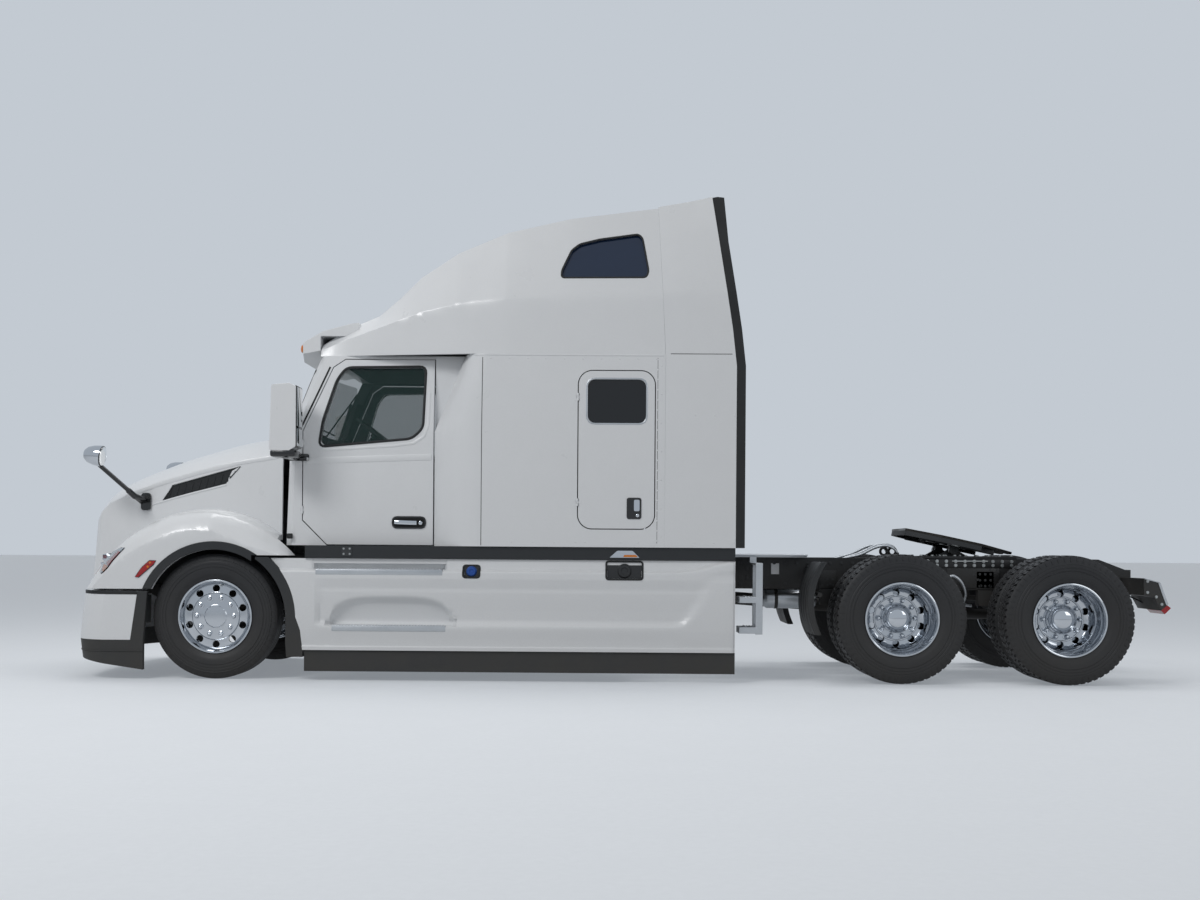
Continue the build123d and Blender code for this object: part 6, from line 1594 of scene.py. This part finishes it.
        piece_of("air_lines_black", rubber, "epdm_rubber", angle=50)
        piece_of("air_lines_braided", silver, "mill_aluminium", angle=50)

    def housings(self):
        """Bolted covers on the final drives and clamped joints on the shafts."""
        covers, bolts = bmesh.new(), []
        for x in DRIVEN:
            spindle(covers, ((150, 0), (150, 168), (166, 168), (170, 150), (186, 130), (206, 86), (212, 0)),
                    spot(x, 0, 514), BACK, 48)
            for i in range(12):
                turn = math.tau * i / 12
                bolts.append((spot(x - 165, 158 * math.cos(turn), 514 + 158 * math.sin(turn)), BACK))
            for side in (1, -1):
                spindle(covers, ((0, 84), (0, 108), (16, 108), (20, 92), (60, 88), (60, 84)), spot(x, side * 500, 514),
                        Vector((0, side, 0)), 40)
        for x, z in ((-1430, 780), (-3300, 700), (-5139.5, 574)):
            for way in (1, -1):
                spindle(covers, ((44, 0), (44, 76), (56, 80), (66, 80), (70, 60), (96, 58), (96, 0)), spot(x, 0, z),
                        Vector((way, 0, 0)), 32)
        piece_of("final_drive_covers", covers, "cast_iron")
        studs("final_drive_bolts", bolts, "zinc_plate", 0.011, 0.01, hexagon=True)


class TRACTOR_OT_fifth_wheel(bpy.types.Operator):
    """Fit the fifth wheel's grease grooves, jaw, release handle and pivot caps"""
    bl_idname = "tractor.fifth_wheel"
    bl_label = "Fifth wheel"

    def execute(self, context):
        lean = Matrix.Translation(PLATE_PIN) @ Matrix.Rotation(-PLATE_LEAN, 4, "Y")
        work = bmesh.new()
        # black strips laid on the plate for its grooves: the grease they hold, and painted shade in them
        for half, back, front in ((330, -150, 120), (230, -110, 200)):
            path = [Vector((back / 1000, -half / 1000, 0.095)), Vector(((front - 60) / 1000, -half / 1000, 0.095))]
            path += [Vector((x / 1000, y / 1000, 0.095)) for x, y in arc((front - 60, -half), (front + 60, 0),
                                                                         (front - 60, half), 20)[1:]]
            path.append(Vector((back / 1000, half / 1000, 0.095)))
            sweep(work, path, [(-0.008, -0.001), (0.008, -0.001), (0.007, 0.0008), (-0.007, 0.0008)], UP)
        work.transform(lean)
        piece_of("grease_grooves", work, "shadow_black", "fifth_wheel_body")
        work = bmesh.new()
        spindle(work, ((60, 27), (60, 52), (72, 58), (74, 58), (74, 27)), ORIGIN, UP, 36)
        for side in (1, -1):
            block(work, (-0.17, side * 0.03, 0.052), (0.06, side * 0.075, 0.072), 0.004)
            block(work, (-0.34, side * 0.3, 0.028), (0.3, side * 0.33, 0.073), 0.004)
            for x, low in ((-0.14, 0.03), (0.02, 0.042), (0.16, 0.03)):
                block(work, (x, side * 0.08, low), (x + 0.014, side * 0.38, 0.052), 0.002)
        edge = [(-200, 441), (140, 441), (156, 436), (416, 300), (421, 288)]
        rim = [Vector((x / 1000, y / 1000, 0.057)) for x, y in [(x, -y) for x, y in edge] + edge[::-1]]
        sweep(work, rim, [(-0.008, -0.021), (0.008, -0.021), (0.008, 0.019), (-0.008, 0.019)], UP)
        work.transform(lean)
        piece_of("fifth_wheel_jaw", work, "cast_iron", "fifth_wheel_body")
        work = bmesh.new()
        bar = [Vector(place) for place in ((0.06, 0.05, 0.04), (0.06, 0.36, 0.036), (0.05, 0.41, 0.034),
                                           (0.03, 0.43, 0.034), (0.0, 0.432, 0.034), (-0.02, 0.42, 0.034))]
        sweep(work, curl(bar), round_bar(0.009, 10), UP)
        work.transform(lean)
        piece_of("release_handle", work, "zinc_plate", "fifth_wheel_body", 40)
        caps = bmesh.new()
        for side in (1, -1):
            spindle(caps, ((0, 0), (0, 40), (5, 40), (9, 33), (9, 14), (5, 10), (5, 0)),
                    PLATE_PIN + Vector((0, side * 0.3452, 0)), Vector((0, side, 0)), 32)
        piece_of("pivot_caps", caps, "cast_iron")
        places = [(spot(x, side * 412, 1016), UP) for side in (1, -1) for x in range(-6500, -5560, 94)]
        places += [(spot(x, side * y, 1016), UP) for side in (1, -1) for y in (205, 300)
                   for x in (-6150, -6100, -5980, -5930)]
        studs("base_bolts", places, "zinc_plate", 0.0115, 0.01, hexagon=True)
        return {"FINISHED"}


class TRACTOR_OT_sleeper_back(bpy.types.Operator):
    """Rib and rivet the sleeper's back wall and fit its air and electric sockets and work lamps"""
    bl_idname = "tractor.sleeper_back"
    bl_label = "Sleeper back"

    def execute(self, context):
        shell = ("sleeper_shell", "roof_fairing")
        ribs, seams = bmesh.new(), bmesh.new()

        def line(target, points, shape):
            landed = [land(shell, spot(-4700, y, z), AHEAD) for y, z in walk(points, 80)]
            sweep(target, [place for place, up in landed], shape, [up for place, up in landed])

        for y in (-900, -600, -300, 0, 300, 600, 900):
            line(ribs, ((y, 1460 if abs(y) < 400 else 1160), (y, 2500)), bead(0.05, 0.007))
        for y in (-700, -350, 0, 350, 700):
            line(ribs, ((y, 2680), (y, 3300)), bead(0.05, 0.007))
        # the seam is a black strip along the joint of sleeper and roof: painted shade in the gap
        line(seams, ((-1120, 2592), (1120, 2592)), bead(0.006, 0.0015))
        piece_of("back_wall_ribs", ribs, "white_enamel", angle=60)
        piece_of("back_wall_seam", seams, "shadow_black")
        rows = []
        for y in (-1140, -450, 450, 1140):
            rows += [land(shell, spot(-4700, y, z), AHEAD) for z in range(1150, 2560, 120)]
        for z in (1110, 2560, 2625):
            rows += [land(shell, spot(-4700, y, z), AHEAD) for y in range(-1080, 1081, 120)]
        trim = context.scene.tractor_trim
        studs("back_wall_rivets", rows, "white_enamel", trim.rivet, trim.rivet * 0.5)
        wall = land(shell, spot(-4700, 0, 1270), AHEAD)[0]
        work = bmesh.new()
        block(work, wall + Vector((-0.012, -0.26, -0.12)), wall + Vector((0.002, 0.26, 0.12)), 0.004)
        piece_of("socket_panel", work, "mill_aluminium")
        corners = [(wall + Vector((-0.012, y, z)), BACK) for y in (-0.235, 0.235) for z in (-0.095, 0.095)]
        studs("socket_panel_bolts", corners, "zinc_plate", 0.008, 0.006, hexagon=True)
        face = wall + Vector((-0.012, 0, 0))
        for title, y, material in (("service_coupling", 0.16, "blue_polyethylene"),
                                   ("supply_coupling", -0.16, "red_acrylic")):
            work = bmesh.new()
            spindle(work, ((0, 0), (0, 22), (26, 22), (28, 34), (46, 36), (52, 30), (52, 14), (46, 10), (46, 0)),
                    face + Vector((0, y, 0)), BACK, 28)
            block(work, face + Vector((-0.05, y - 0.012, 0.02)), face + Vector((-0.022, y + 0.012, 0.062)), 0.003)
            piece_of(title, work, material)
        work = bmesh.new()
        spindle(work, ((0, 0), (0, 36), (30, 36), (34, 42), (44, 42), (50, 34), (50, 0)), face, BACK, 32)
        block(work, face + Vector((-0.056, -0.03, -0.03)), face + Vector((-0.046, 0.03, 0.05)), 0.004)
        piece_of("trailer_socket", work, "gloss_abs")
        for name, side in SIDES:
            place = land(shell, spot(-4700, side * 700, 2440), AHEAD)[0]
            spun("work_lamp_" + name, ((-2, 0), (-2, 62), (22, 66), (34, 58), (34, 48), (28, 44), (28, 0)), place,
                 BACK, "gloss_abs")
            spun("work_lamp_lens_" + name, ((26, 0), (26, 45), (33, 42), (38, 24), (39, 0)), place, BACK,
                 "clear_polycarbonate")
        return {"FINISHED"}


SEAT_ROWS = (("driver", 520), ("passenger", -520))


def swell(piece, force, cap):
    """Inflates a closed cover by cloth simulation and keeps how far each point may move, in metres."""
    start = [vert.co.copy() for vert in piece.data.vertices]
    change = piece.modifiers.new("cover", "CLOTH")
    change.settings.quality = 4
    change.settings.use_pressure = True
    change.settings.uniform_pressure_force = force
    change.settings.effector_weights.gravity = 0
    change.settings.tension_stiffness = change.settings.compression_stiffness = 12
    change.collision_settings.use_collision = False
    change.point_cache.frame_start, change.point_cache.frame_end = 1, 20
    for step in range(1, 21):
        bpy.context.scene.frame_set(step)
    settle(piece)
    bpy.context.scene.frame_set(1)
    for vert, place in zip(piece.data.vertices, start):
        moved = vert.co - place
        if moved.length > cap:
            vert.co = place + moved.normalized() * cap


def crown(piece, sizes, rise):
    """Raises the middles of a block's faces and pulls its sides in between the corners."""
    for vert in piece.data.vertices:
        share = [min(1.0, abs(vert.co[i]) / (sizes[i] / 2)) for i in range(3)]
        for i in range(3):
            j, k = (i + 1) % 3, (i + 2) % 3
            vert.co[i] += math.copysign(rise[i] * (1 - share[j] ** 2) * (1 - share[k] ** 2) * share[i], vert.co[i])


def cushion(name, sizes, place, lean, channels, voxel, force=4.0):
    """A sewn cushion that fills its block: sizes in metres, channels are (axis, position, depth, width, from, to)."""
    rise = (0.006, 0.006, 0.014)
    work = bmesh.new()
    half = [size / 2 - lift - 0.004 for size, lift in zip(sizes, rise)]
    block(work, [-h for h in half], half, min(0.03, half[0] * 0.4, half[2] * 0.4))
    piece = loose(name, work, "woven_polyester")
    grid = piece.modifiers.new("grid", "REMESH")
    grid.mode, grid.voxel_size = "VOXEL", voxel
    bpy.context.view_layer.update()
    settle(piece)
    swell(piece, force, 0.024)
    for axis, at, depth, width, low, high in channels:
        other = 1 - axis if axis < 2 else 0
        for vert in piece.data.vertices:
            if vert.co.z > 0 and low < vert.co[other] < high:
                fall = math.exp(-((vert.co[axis] - at) / width) ** 2) * min(1.0, vert.co.z / half[2] * 1.6)
                vert.co.z -= depth * fall
    smooth = piece.modifiers.new("smooth", "SMOOTH")
    smooth.factor, smooth.iterations = 0.4, 2
    bpy.context.view_layer.update()
    settle(piece)
    for vert in piece.data.vertices:
        for i in range(3):
            limit = sizes[i] / 2 - 0.001
            vert.co[i] = max(-limit, min(limit, vert.co[i]))
    dress(piece, "woven_polyester")
    soften(piece, 80)
    piece.data.transform(Matrix.Translation(place) @ Matrix.Rotation(lean, 4, "Y"))
    return piece


def twin(piece, name, shift):
    """The same cushion on the other seat."""
    copy = bpy.data.objects.new(name, piece.data.copy())
    copy.data.name = name
    copy.data.transform(Matrix.Translation((0, shift, 0)))
    bpy.context.collection.objects.link(copy)
    return copy


def sit(piece):
    """Rides a cushion on the chassis and hides the seats' block, which it stands for."""
    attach(piece, "chassis")
    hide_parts("seats")


def piping(name, piece, loop):
    """A welt along a loop of rough places, laid on a cushion's cover."""
    tree = BVHTree.FromPolygons([v.co for v in piece.data.vertices], [f.vertices for f in piece.data.polygons])
    laid = [tree.find_nearest(place)[:2] for place in loop]
    work = bmesh.new()
    sweep(work, [near for near, up in laid], round_bar(0.0032, 6), [up for near, up in laid], True)
    piece_of(name, work, "interior_vinyl", angle=60)


class TRACTOR_OT_seats(bpy.types.Operator):
    """Sew the two seats and the bunk's mattress, with their piping, bases and armrests"""
    bl_idname = "tractor.seats"
    bl_label = "Seats and bunk"

    def execute(self, context):
        rows = [(1, at, 0.011, 0.008, -0.25, 0.25) for at in (-0.14, 0.14)]
        rows += [(0, at, 0.006, 0.006, -0.14, 0.14) for at in (-0.13, -0.03, 0.07, 0.17)]
        base = cushion("seat_cushion_driver", (0.51, 0.52, 0.12), spot(-1485, 520, 1540), 0, rows, 0.01)
        rows = [(1, at, 0.011, 0.008, -0.35, 0.18) for at in (-0.14, 0.14)]
        rows += [(0, at, 0.006, 0.006, -0.14, 0.14) for at in (-0.24, -0.14, -0.04, 0.06)]
        rows += [(0, 0.18, 0.013, 0.009, -0.3, 0.3)]
        lean = math.radians(-12) + math.radians(90)
        back = cushion("seat_back_driver", (0.7, 0.5, 0.12), spot(-1800, 520, 1945.4), lean, self.flipped(rows), 0.01)
        rows = [(1, -0.9 + 0.2 * i, 0.008, 0.012, -0.35, 0.35) for i in range(10)]
        rows += [(0, at, 0.008, 0.012, -1.1, 1.1) for at in (-0.18, 0, 0.18)]
        bed = cushion("bunk_mattress", (0.728, 2.188, 0.149), spot(-3145, 0, 1555), 0, rows, 0.018)
        sit(bed)
        for name, y in SEAT_ROWS:
            pieces = (base, back) if y > 0 else (twin(base, "seat_cushion_passenger", -1.04),
                                                twin(back, "seat_back_passenger", -1.04))
            for piece, fill in zip(pieces, (0.75, 0.7)):
                sit(piece)
            loop = [spot(-1485 + x, y + across, 1582) for x, across in self.ring(248, 253)]
            piping("seat_piping_" + name, pieces[0], loop)
            lift = Matrix.Translation(spot(-1800, y, 1945.4)) @ Matrix.Rotation(lean, 4, "Y")
            loop = [lift @ Vector((x / 1000, across / 1000, 0.05)) for x, across in self.ring(343, 243)]
            piping("back_piping_" + name, pieces[1], loop)
            self.base(name, y)
        return {"FINISHED"}

    def flipped(self, rows):
        """Rows for a back whose local X runs down."""
        return [(axis, at, depth, width, -high, -low) if axis else (axis, -at, depth, width, low, high)
                for axis, at, depth, width, low, high in rows]

    def ring(self, long, wide):
        """Places round a rounded rectangle, closely spaced."""
        return walk(slab((-long, -wide), (long, wide), 60), 20, True)

    def base(self, name, y):
        """Moulded side shields, armrests, a bellows over the pedestal and a belt buckle."""
        armrest = [(-0.024, -0.016), (0.024, -0.016), (0.028, 0.0), (0.02, 0.018), (0, 0.023), (-0.02, 0.018),
                   (-0.028, 0.0)]
        rest = ((-1842, 285, 1760), (-1700, 287, 1768), (-1500, 287, 1762), (-1440, 284, 1752))
        work = bmesh.new()
        for way in (1, -1):
            block(work, spot(-1770, y + way * 262, 1440), spot(-1300, y + way * 282, 1520), 0.009)
            path = [spot(x, y + way * out, z) for x, out, z in rest]
            sweep(work, path, armrest, UP)
            block(work, spot(-1862, y + way * 285 - 0.018, 1700), spot(-1815, y + way * 285 + 0.018, 1790), 0.008)
        block(work, spot(-1740, y - 250, 1440), spot(-1250, y + 250, 1479), 0.012)
        piece_of("seat_shields_" + name, work, "interior_vinyl", angle=40)
        work = bmesh.new()
        for i in range(9):
            z, grow_by = 1150 + i * 32, 12 if i % 2 else 2
            block(work, spot(-1652 - grow_by, y - 141 - grow_by, z), spot(-1348 + grow_by, y + 141 + grow_by, z + 33),
                  0.012)
        piece_of("seat_bellows_" + name, work, "epdm_rubber", angle=40)
        work = bmesh.new()
        block(work, spot(-1700, y - 300, 1560), spot(-1660, y - 284, 1650), 0.006)
        block(work, spot(-1696, y - 298, 1648), spot(-1664, y - 286, 1664), 0.003)
        piece_of("belt_buckle_" + name, work, "gloss_abs", angle=40)


class TRACTOR_OT_cab_inside(bpy.types.Operator):
    """Fit the dashboard's gauges, vents and screen, the steering wheel's pad and the door linings"""
    bl_idname = "tractor.cab_inside"
    bl_label = "Cab inside"

    def execute(self, context):
        self.dash()
        self.wheel_pad()
        for name, side in SIDES:
            self.lining(name, side)
        return {"FINISHED"}

    def dash(self):
        """A hooded cluster with dials, centre stack with screen and vents, and a glove box."""
        back = Vector((-0.95, 0, 0.3))
        work = bmesh.new()
        hood = [(-0.21, -0.05), (-0.2, 0.03), (-0.15, 0.062), (0, 0.072), (0.15, 0.062), (0.2, 0.03), (0.21, -0.05),
                (0.195, -0.05), (0.185, 0.022), (0.14, 0.05), (0, 0.06), (-0.14, 0.05), (-0.185, 0.022),
                (-0.195, -0.05)]
        sweep(work, [spot(-800, 520, 1868), spot(-935, 520, 1880)], hood, UP)
        block(work, spot(-902, -170, 1520), spot(-872, 250, 1825), 0.012)
        block(work, spot(-896, -880, 1560), spot(-874, -260, 1720), 0.012)
        block(work, spot(-888, -900, 1745), spot(-872, -200, 1760), 0.004)
        piece_of("dash_trim", work, "interior_vinyl", angle=40)
        rings, faces = bmesh.new(), bmesh.new()
        for y, z, radius in ((430, 1848, 48), (552, 1848, 48), (640, 1862, 26), (640, 1812, 26), (350, 1862, 24),
                             (350, 1812, 24)):
            spindle(rings, ((0, radius), (0, radius + 6), (12, radius + 4), (12, radius)), spot(-884, y, z), back, 36)
            spindle(faces, ((0, 0), (0, radius), (4, radius), (4, 0)), spot(-884, y, z), back, 36)
        for y in (-120, -40, 130, 210, -400, -780, 860):
            z = 1760 if abs(y) < 300 else 1790
            block(rings, spot(-908, y - 34, z - 22), spot(-876, y + 34, z + 22), 0.006)
            for k in range(4):
                block(faces, spot(-913, y - 28, z - 15 + 9 * k), spot(-905, y + 28, z - 11 + 9 * k), 0.001)
        block(faces, spot(-908, -60, 1600), spot(-900, 150, 1725), 0.004)
        piece_of("gauge_rings", rings, "gloss_abs")
        piece_of("gauge_faces", faces, "shadow_black")
        marks = []
        for y, radius in ((430, 40), (552, 40)):
            for i in range(11):
                turn = math.radians(-45 + 27 * i)
                marks.append((spot(-889, y + radius * math.cos(turn), 1849 + radius * math.sin(turn)), back))
        studs("gauge_marks", marks, "white_enamel", 0.0025, 0.001)
        knobs = [(spot(-902, y, 1560), BACK) for y in (-100, -20, 60, 140)]
        studs("dash_knobs", knobs, "gloss_abs", 0.019, 0.014)
        switches = bmesh.new()
        for i in range(8):
            block(switches, spot(-908, -150 + 48 * i, 1532), spot(-900, -112 + 48 * i, 1540), 0.002)
        piece_of("dash_switches", switches, "gloss_abs")
        stalks = bmesh.new()
        for way in (1, -1):
            sweep(stalks, curl([spot(-1130, 520 + way * 40, 1920), spot(-1145, 520 + way * 110, 1935),
                                spot(-1160, 520 + way * 165, 1950)]), round_bar(0.0085, 10), UP)
        piece_of("column_stalks", stalks, "gloss_abs", angle=40)

    def wheel_pad(self):
        """The horn pad and the spokes' switch pads."""
        tilt = math.radians(38)
        way = Vector((-math.sin(tilt), 0, math.cos(tilt)))
        centre = spot(-1190, 520, 1990)
        work = bmesh.new()
        spindle(work, ((3.2, 0), (3.2, 66), (9, 64), (15, 50), (18, 24), (18.5, 0)), centre, way, 40)
        along = LEFT.cross(way).normalized()
        for sign in (1, -1):
            place = centre + LEFT * sign * 0.115 + way * 0.003
            sweep(work, [place - along * 0.022, place + along * 0.022],
                  [(-0.03, 0), (0.03, 0), (0.027, 0.006), (-0.027, 0.006)], way)
        piece_of("steering_wheel_pad", work, "gloss_abs", "steering_wheel_body", 40)

    def lining(self, name, side):
        """A moulded lining on the inside of a cab door, with armrest, pocket, lever and speaker."""
        node, body = ("cab_door_" + name,), "cab_door_%s_body" % name
        panel = eased(((-890, 1130), (-1672, 1130), (-1672, 1840), (-900, 1815), (-722, 1795), (-722, 1340)), 50)
        for title, outline, lift, thick, material in (
                ("door_lining_", panel, -1, 9, "interior_vinyl"),
                ("door_armrest_", slab((-1600, 1560), (-900, 1640), 34), 6, 52, "interior_vinyl"),
                ("door_pocket_", slab((-1540, 1170), (-860, 1370), 50), 6, 30, "interior_vinyl"),
                ("door_lever_", slab((-1040, 1700), (-900, 1732), 12), 7, 14, "chrome_plate"),
                ("door_speaker_", arc((-1380, 1470), (-1300, 1550), (-1220, 1470), 12)
                 + arc((-1220, 1470), (-1300, 1390), (-1380, 1470), 12)[1:-1], 7, 6, "vent_mesh")):
            plate(title + name, node, outline, side, lift, thick, material, body, inside=True)


def seen_share(tree):
    """1 for what the camera sees by itself, in gloss or through glass, and 0 for what only lights."""
    path = add(tree, "ShaderNodeLightPath").outputs
    seen = add(tree, "ShaderNodeMath", {0: path["Is Camera Ray"], 1: path["Is Glossy Ray"]}, operation="ADD")
    return add(tree, "ShaderNodeMath", {0: seen.outputs[0], 1: path["Is Transmission Ray"]}, operation="ADD",
               use_clamp=True).outputs[0]


class TRACTOR_OT_stage(bpy.types.Operator):
    """Build the floor, the studio light and the camera"""
    bl_idname = "tractor.stage"
    bl_label = "Stage"

    def execute(self, context):
        stage = context.scene.tractor_stage
        bpy.ops.mesh.primitive_plane_add(size=400, location=(0, 0, -0.001))
        floor = context.object
        floor.name = "studio_floor"
        finish("sealed_concrete", stage.floor, 0.8, grain=40, mottle=0.02, wear=0.05)
        dress(floor, "sealed_concrete")
        self.brighten(materials["sealed_concrete"], stage.backdrop)
        world = context.scene.world or bpy.data.worlds.new("studio")
        context.scene.world = world
        world.use_nodes = True
        tree = world.node_tree
        tree.nodes.clear()
        soft = add(tree, "ShaderNodeBackground", {"Color": linear("#F4F6F9"), "Strength": 0.35})
        back = add(tree, "ShaderNodeBackground", {"Color": stage.backdrop, "Strength": 1.0})
        mixed = add(tree, "ShaderNodeMixShader", {0: seen_share(tree), 1: soft.outputs[0], 2: back.outputs[0]})
        add(tree, "ShaderNodeOutputWorld", {"Surface": mixed.outputs[0]})
        # (name, place, what it looks at, width, height, watts)
        lamps = (
            ("key", (7.0, 8.5, 9.0), (0, 0, 1.3), 5.0, 3.0, 460),
            ("fill", (-9.0, 8.0, 5.0), (-1, 0, 1.5), 5.0, 4.0, 90),
            ("top", (0, -1.5, 9.0), (0, 0, 0), 10.0, 3.0, 290),
        )
        for name, place, target, wide, high, watts in lamps:
            light = bpy.data.lights.new(name, "AREA")
            light.shape, light.size, light.size_y, light.energy = "RECTANGLE", wide, high, watts
            lamp = bpy.data.objects.new(name, light)
            context.collection.objects.link(lamp)
            way = Vector(target) - Vector(place)
            lamp.matrix_world = Matrix.Translation(place) @ way.to_track_quat("-Z", "Y").to_matrix().to_4x4()
        aim_camera(context)
        return {"FINISHED"}

    def brighten(self, material, pale):
        """Lifts what the camera, gloss and glass see of the floor towards the backdrop; it lights nothing."""
        tree = material.node_tree
        out = next(node for node in tree.nodes if node.type == "OUTPUT_MATERIAL")
        shaded = out.inputs["Surface"].links[0].from_socket
        power = add(tree, "ShaderNodeMath", {0: seen_share(tree), 1: 0.4}, operation="MULTIPLY")
        glow = add(tree, "ShaderNodeEmission", {"Color": pale, "Strength": power.outputs[0]})
        both = add(tree, "ShaderNodeAddShader", {0: shaded, 1: glow.outputs[0]})
        tree.links.new(both.outputs[0], out.inputs["Surface"])


CAMERA_PLACE = (0.068, 12.807, 1.03)
CAMERA_LENS = 44.13
CAMERA_YAW = 0.0079
CAMERA_ROLL = 0.007
CAMERA_SHIFT = 0.0849


def aim_camera(context):
    """The photograph's camera: level, a little turned, looking at the truck's left side."""
    data = bpy.data.cameras.new("photo_camera")
    data.lens, data.sensor_width, data.shift_y = CAMERA_LENS, 36, CAMERA_SHIFT
    data.clip_end = 500
    camera = bpy.data.objects.new("photo_camera", data)
    context.collection.objects.link(camera)
    ahead = Vector((math.sin(CAMERA_YAW), -math.cos(CAMERA_YAW), 0))
    right = Vector((-math.cos(CAMERA_YAW), -math.sin(CAMERA_YAW), 0))
    turned = right * math.cos(CAMERA_ROLL) + UP * math.sin(CAMERA_ROLL)
    upward = UP * math.cos(CAMERA_ROLL) - right * math.sin(CAMERA_ROLL)
    camera.matrix_world = Matrix.Translation(CAMERA_PLACE) @ Matrix((turned, upward, -ahead)).transposed().to_4x4()
    context.scene.camera = camera


OPERATORS = (TRACTOR_OT_stage, TRACTOR_OT_panels, TRACTOR_OT_tyres, TRACTOR_OT_rims, TRACTOR_OT_fairings,
             TRACTOR_OT_side_trim, TRACTOR_OT_front, TRACTOR_OT_cab_outside, TRACTOR_OT_rear_frame,
             TRACTOR_OT_fifth_wheel, TRACTOR_OT_sleeper_back, TRACTOR_OT_seats, TRACTOR_OT_cab_inside)


class TRACTOR_PT_sidebar(bpy.types.Panel):
    """The truck's pieces and settings"""
    bl_idname = "TRACTOR_PT_sidebar"
    bl_label = "Semi truck tractor unit"
    bl_space_type = "VIEW_3D"
    bl_region_type = "UI"
    bl_category = "Tractor"

    def draw(self, context):
        for operator in OPERATORS:
            self.layout.operator(operator.bl_idname)
        for group in SETTINGS:
            settings = getattr(context.scene, group)
            for key in settings.__annotations__:
                self.layout.prop(settings, key)


CLASSES = tuple(SETTINGS.values()) + OPERATORS + (TRACTOR_PT_sidebar,)


def register():
    for item in CLASSES:
        bpy.utils.register_class(item)
    for name, group in SETTINGS.items():
        setattr(bpy.types.Scene, name, bpy.props.PointerProperty(type=group))


def unregister():
    for name in SETTINGS:
        delattr(bpy.types.Scene, name)
    for item in reversed(CLASSES):
        bpy.utils.unregister_class(item)


def main():
    register()
    bpy.context.scene.view_settings.view_transform = "Standard"
    make_materials()
    for operator in OPERATORS:
        group, name = operator.bl_idname.split(".")
        getattr(getattr(bpy.ops, group), name)()


if __name__ == "__main__":
    main()
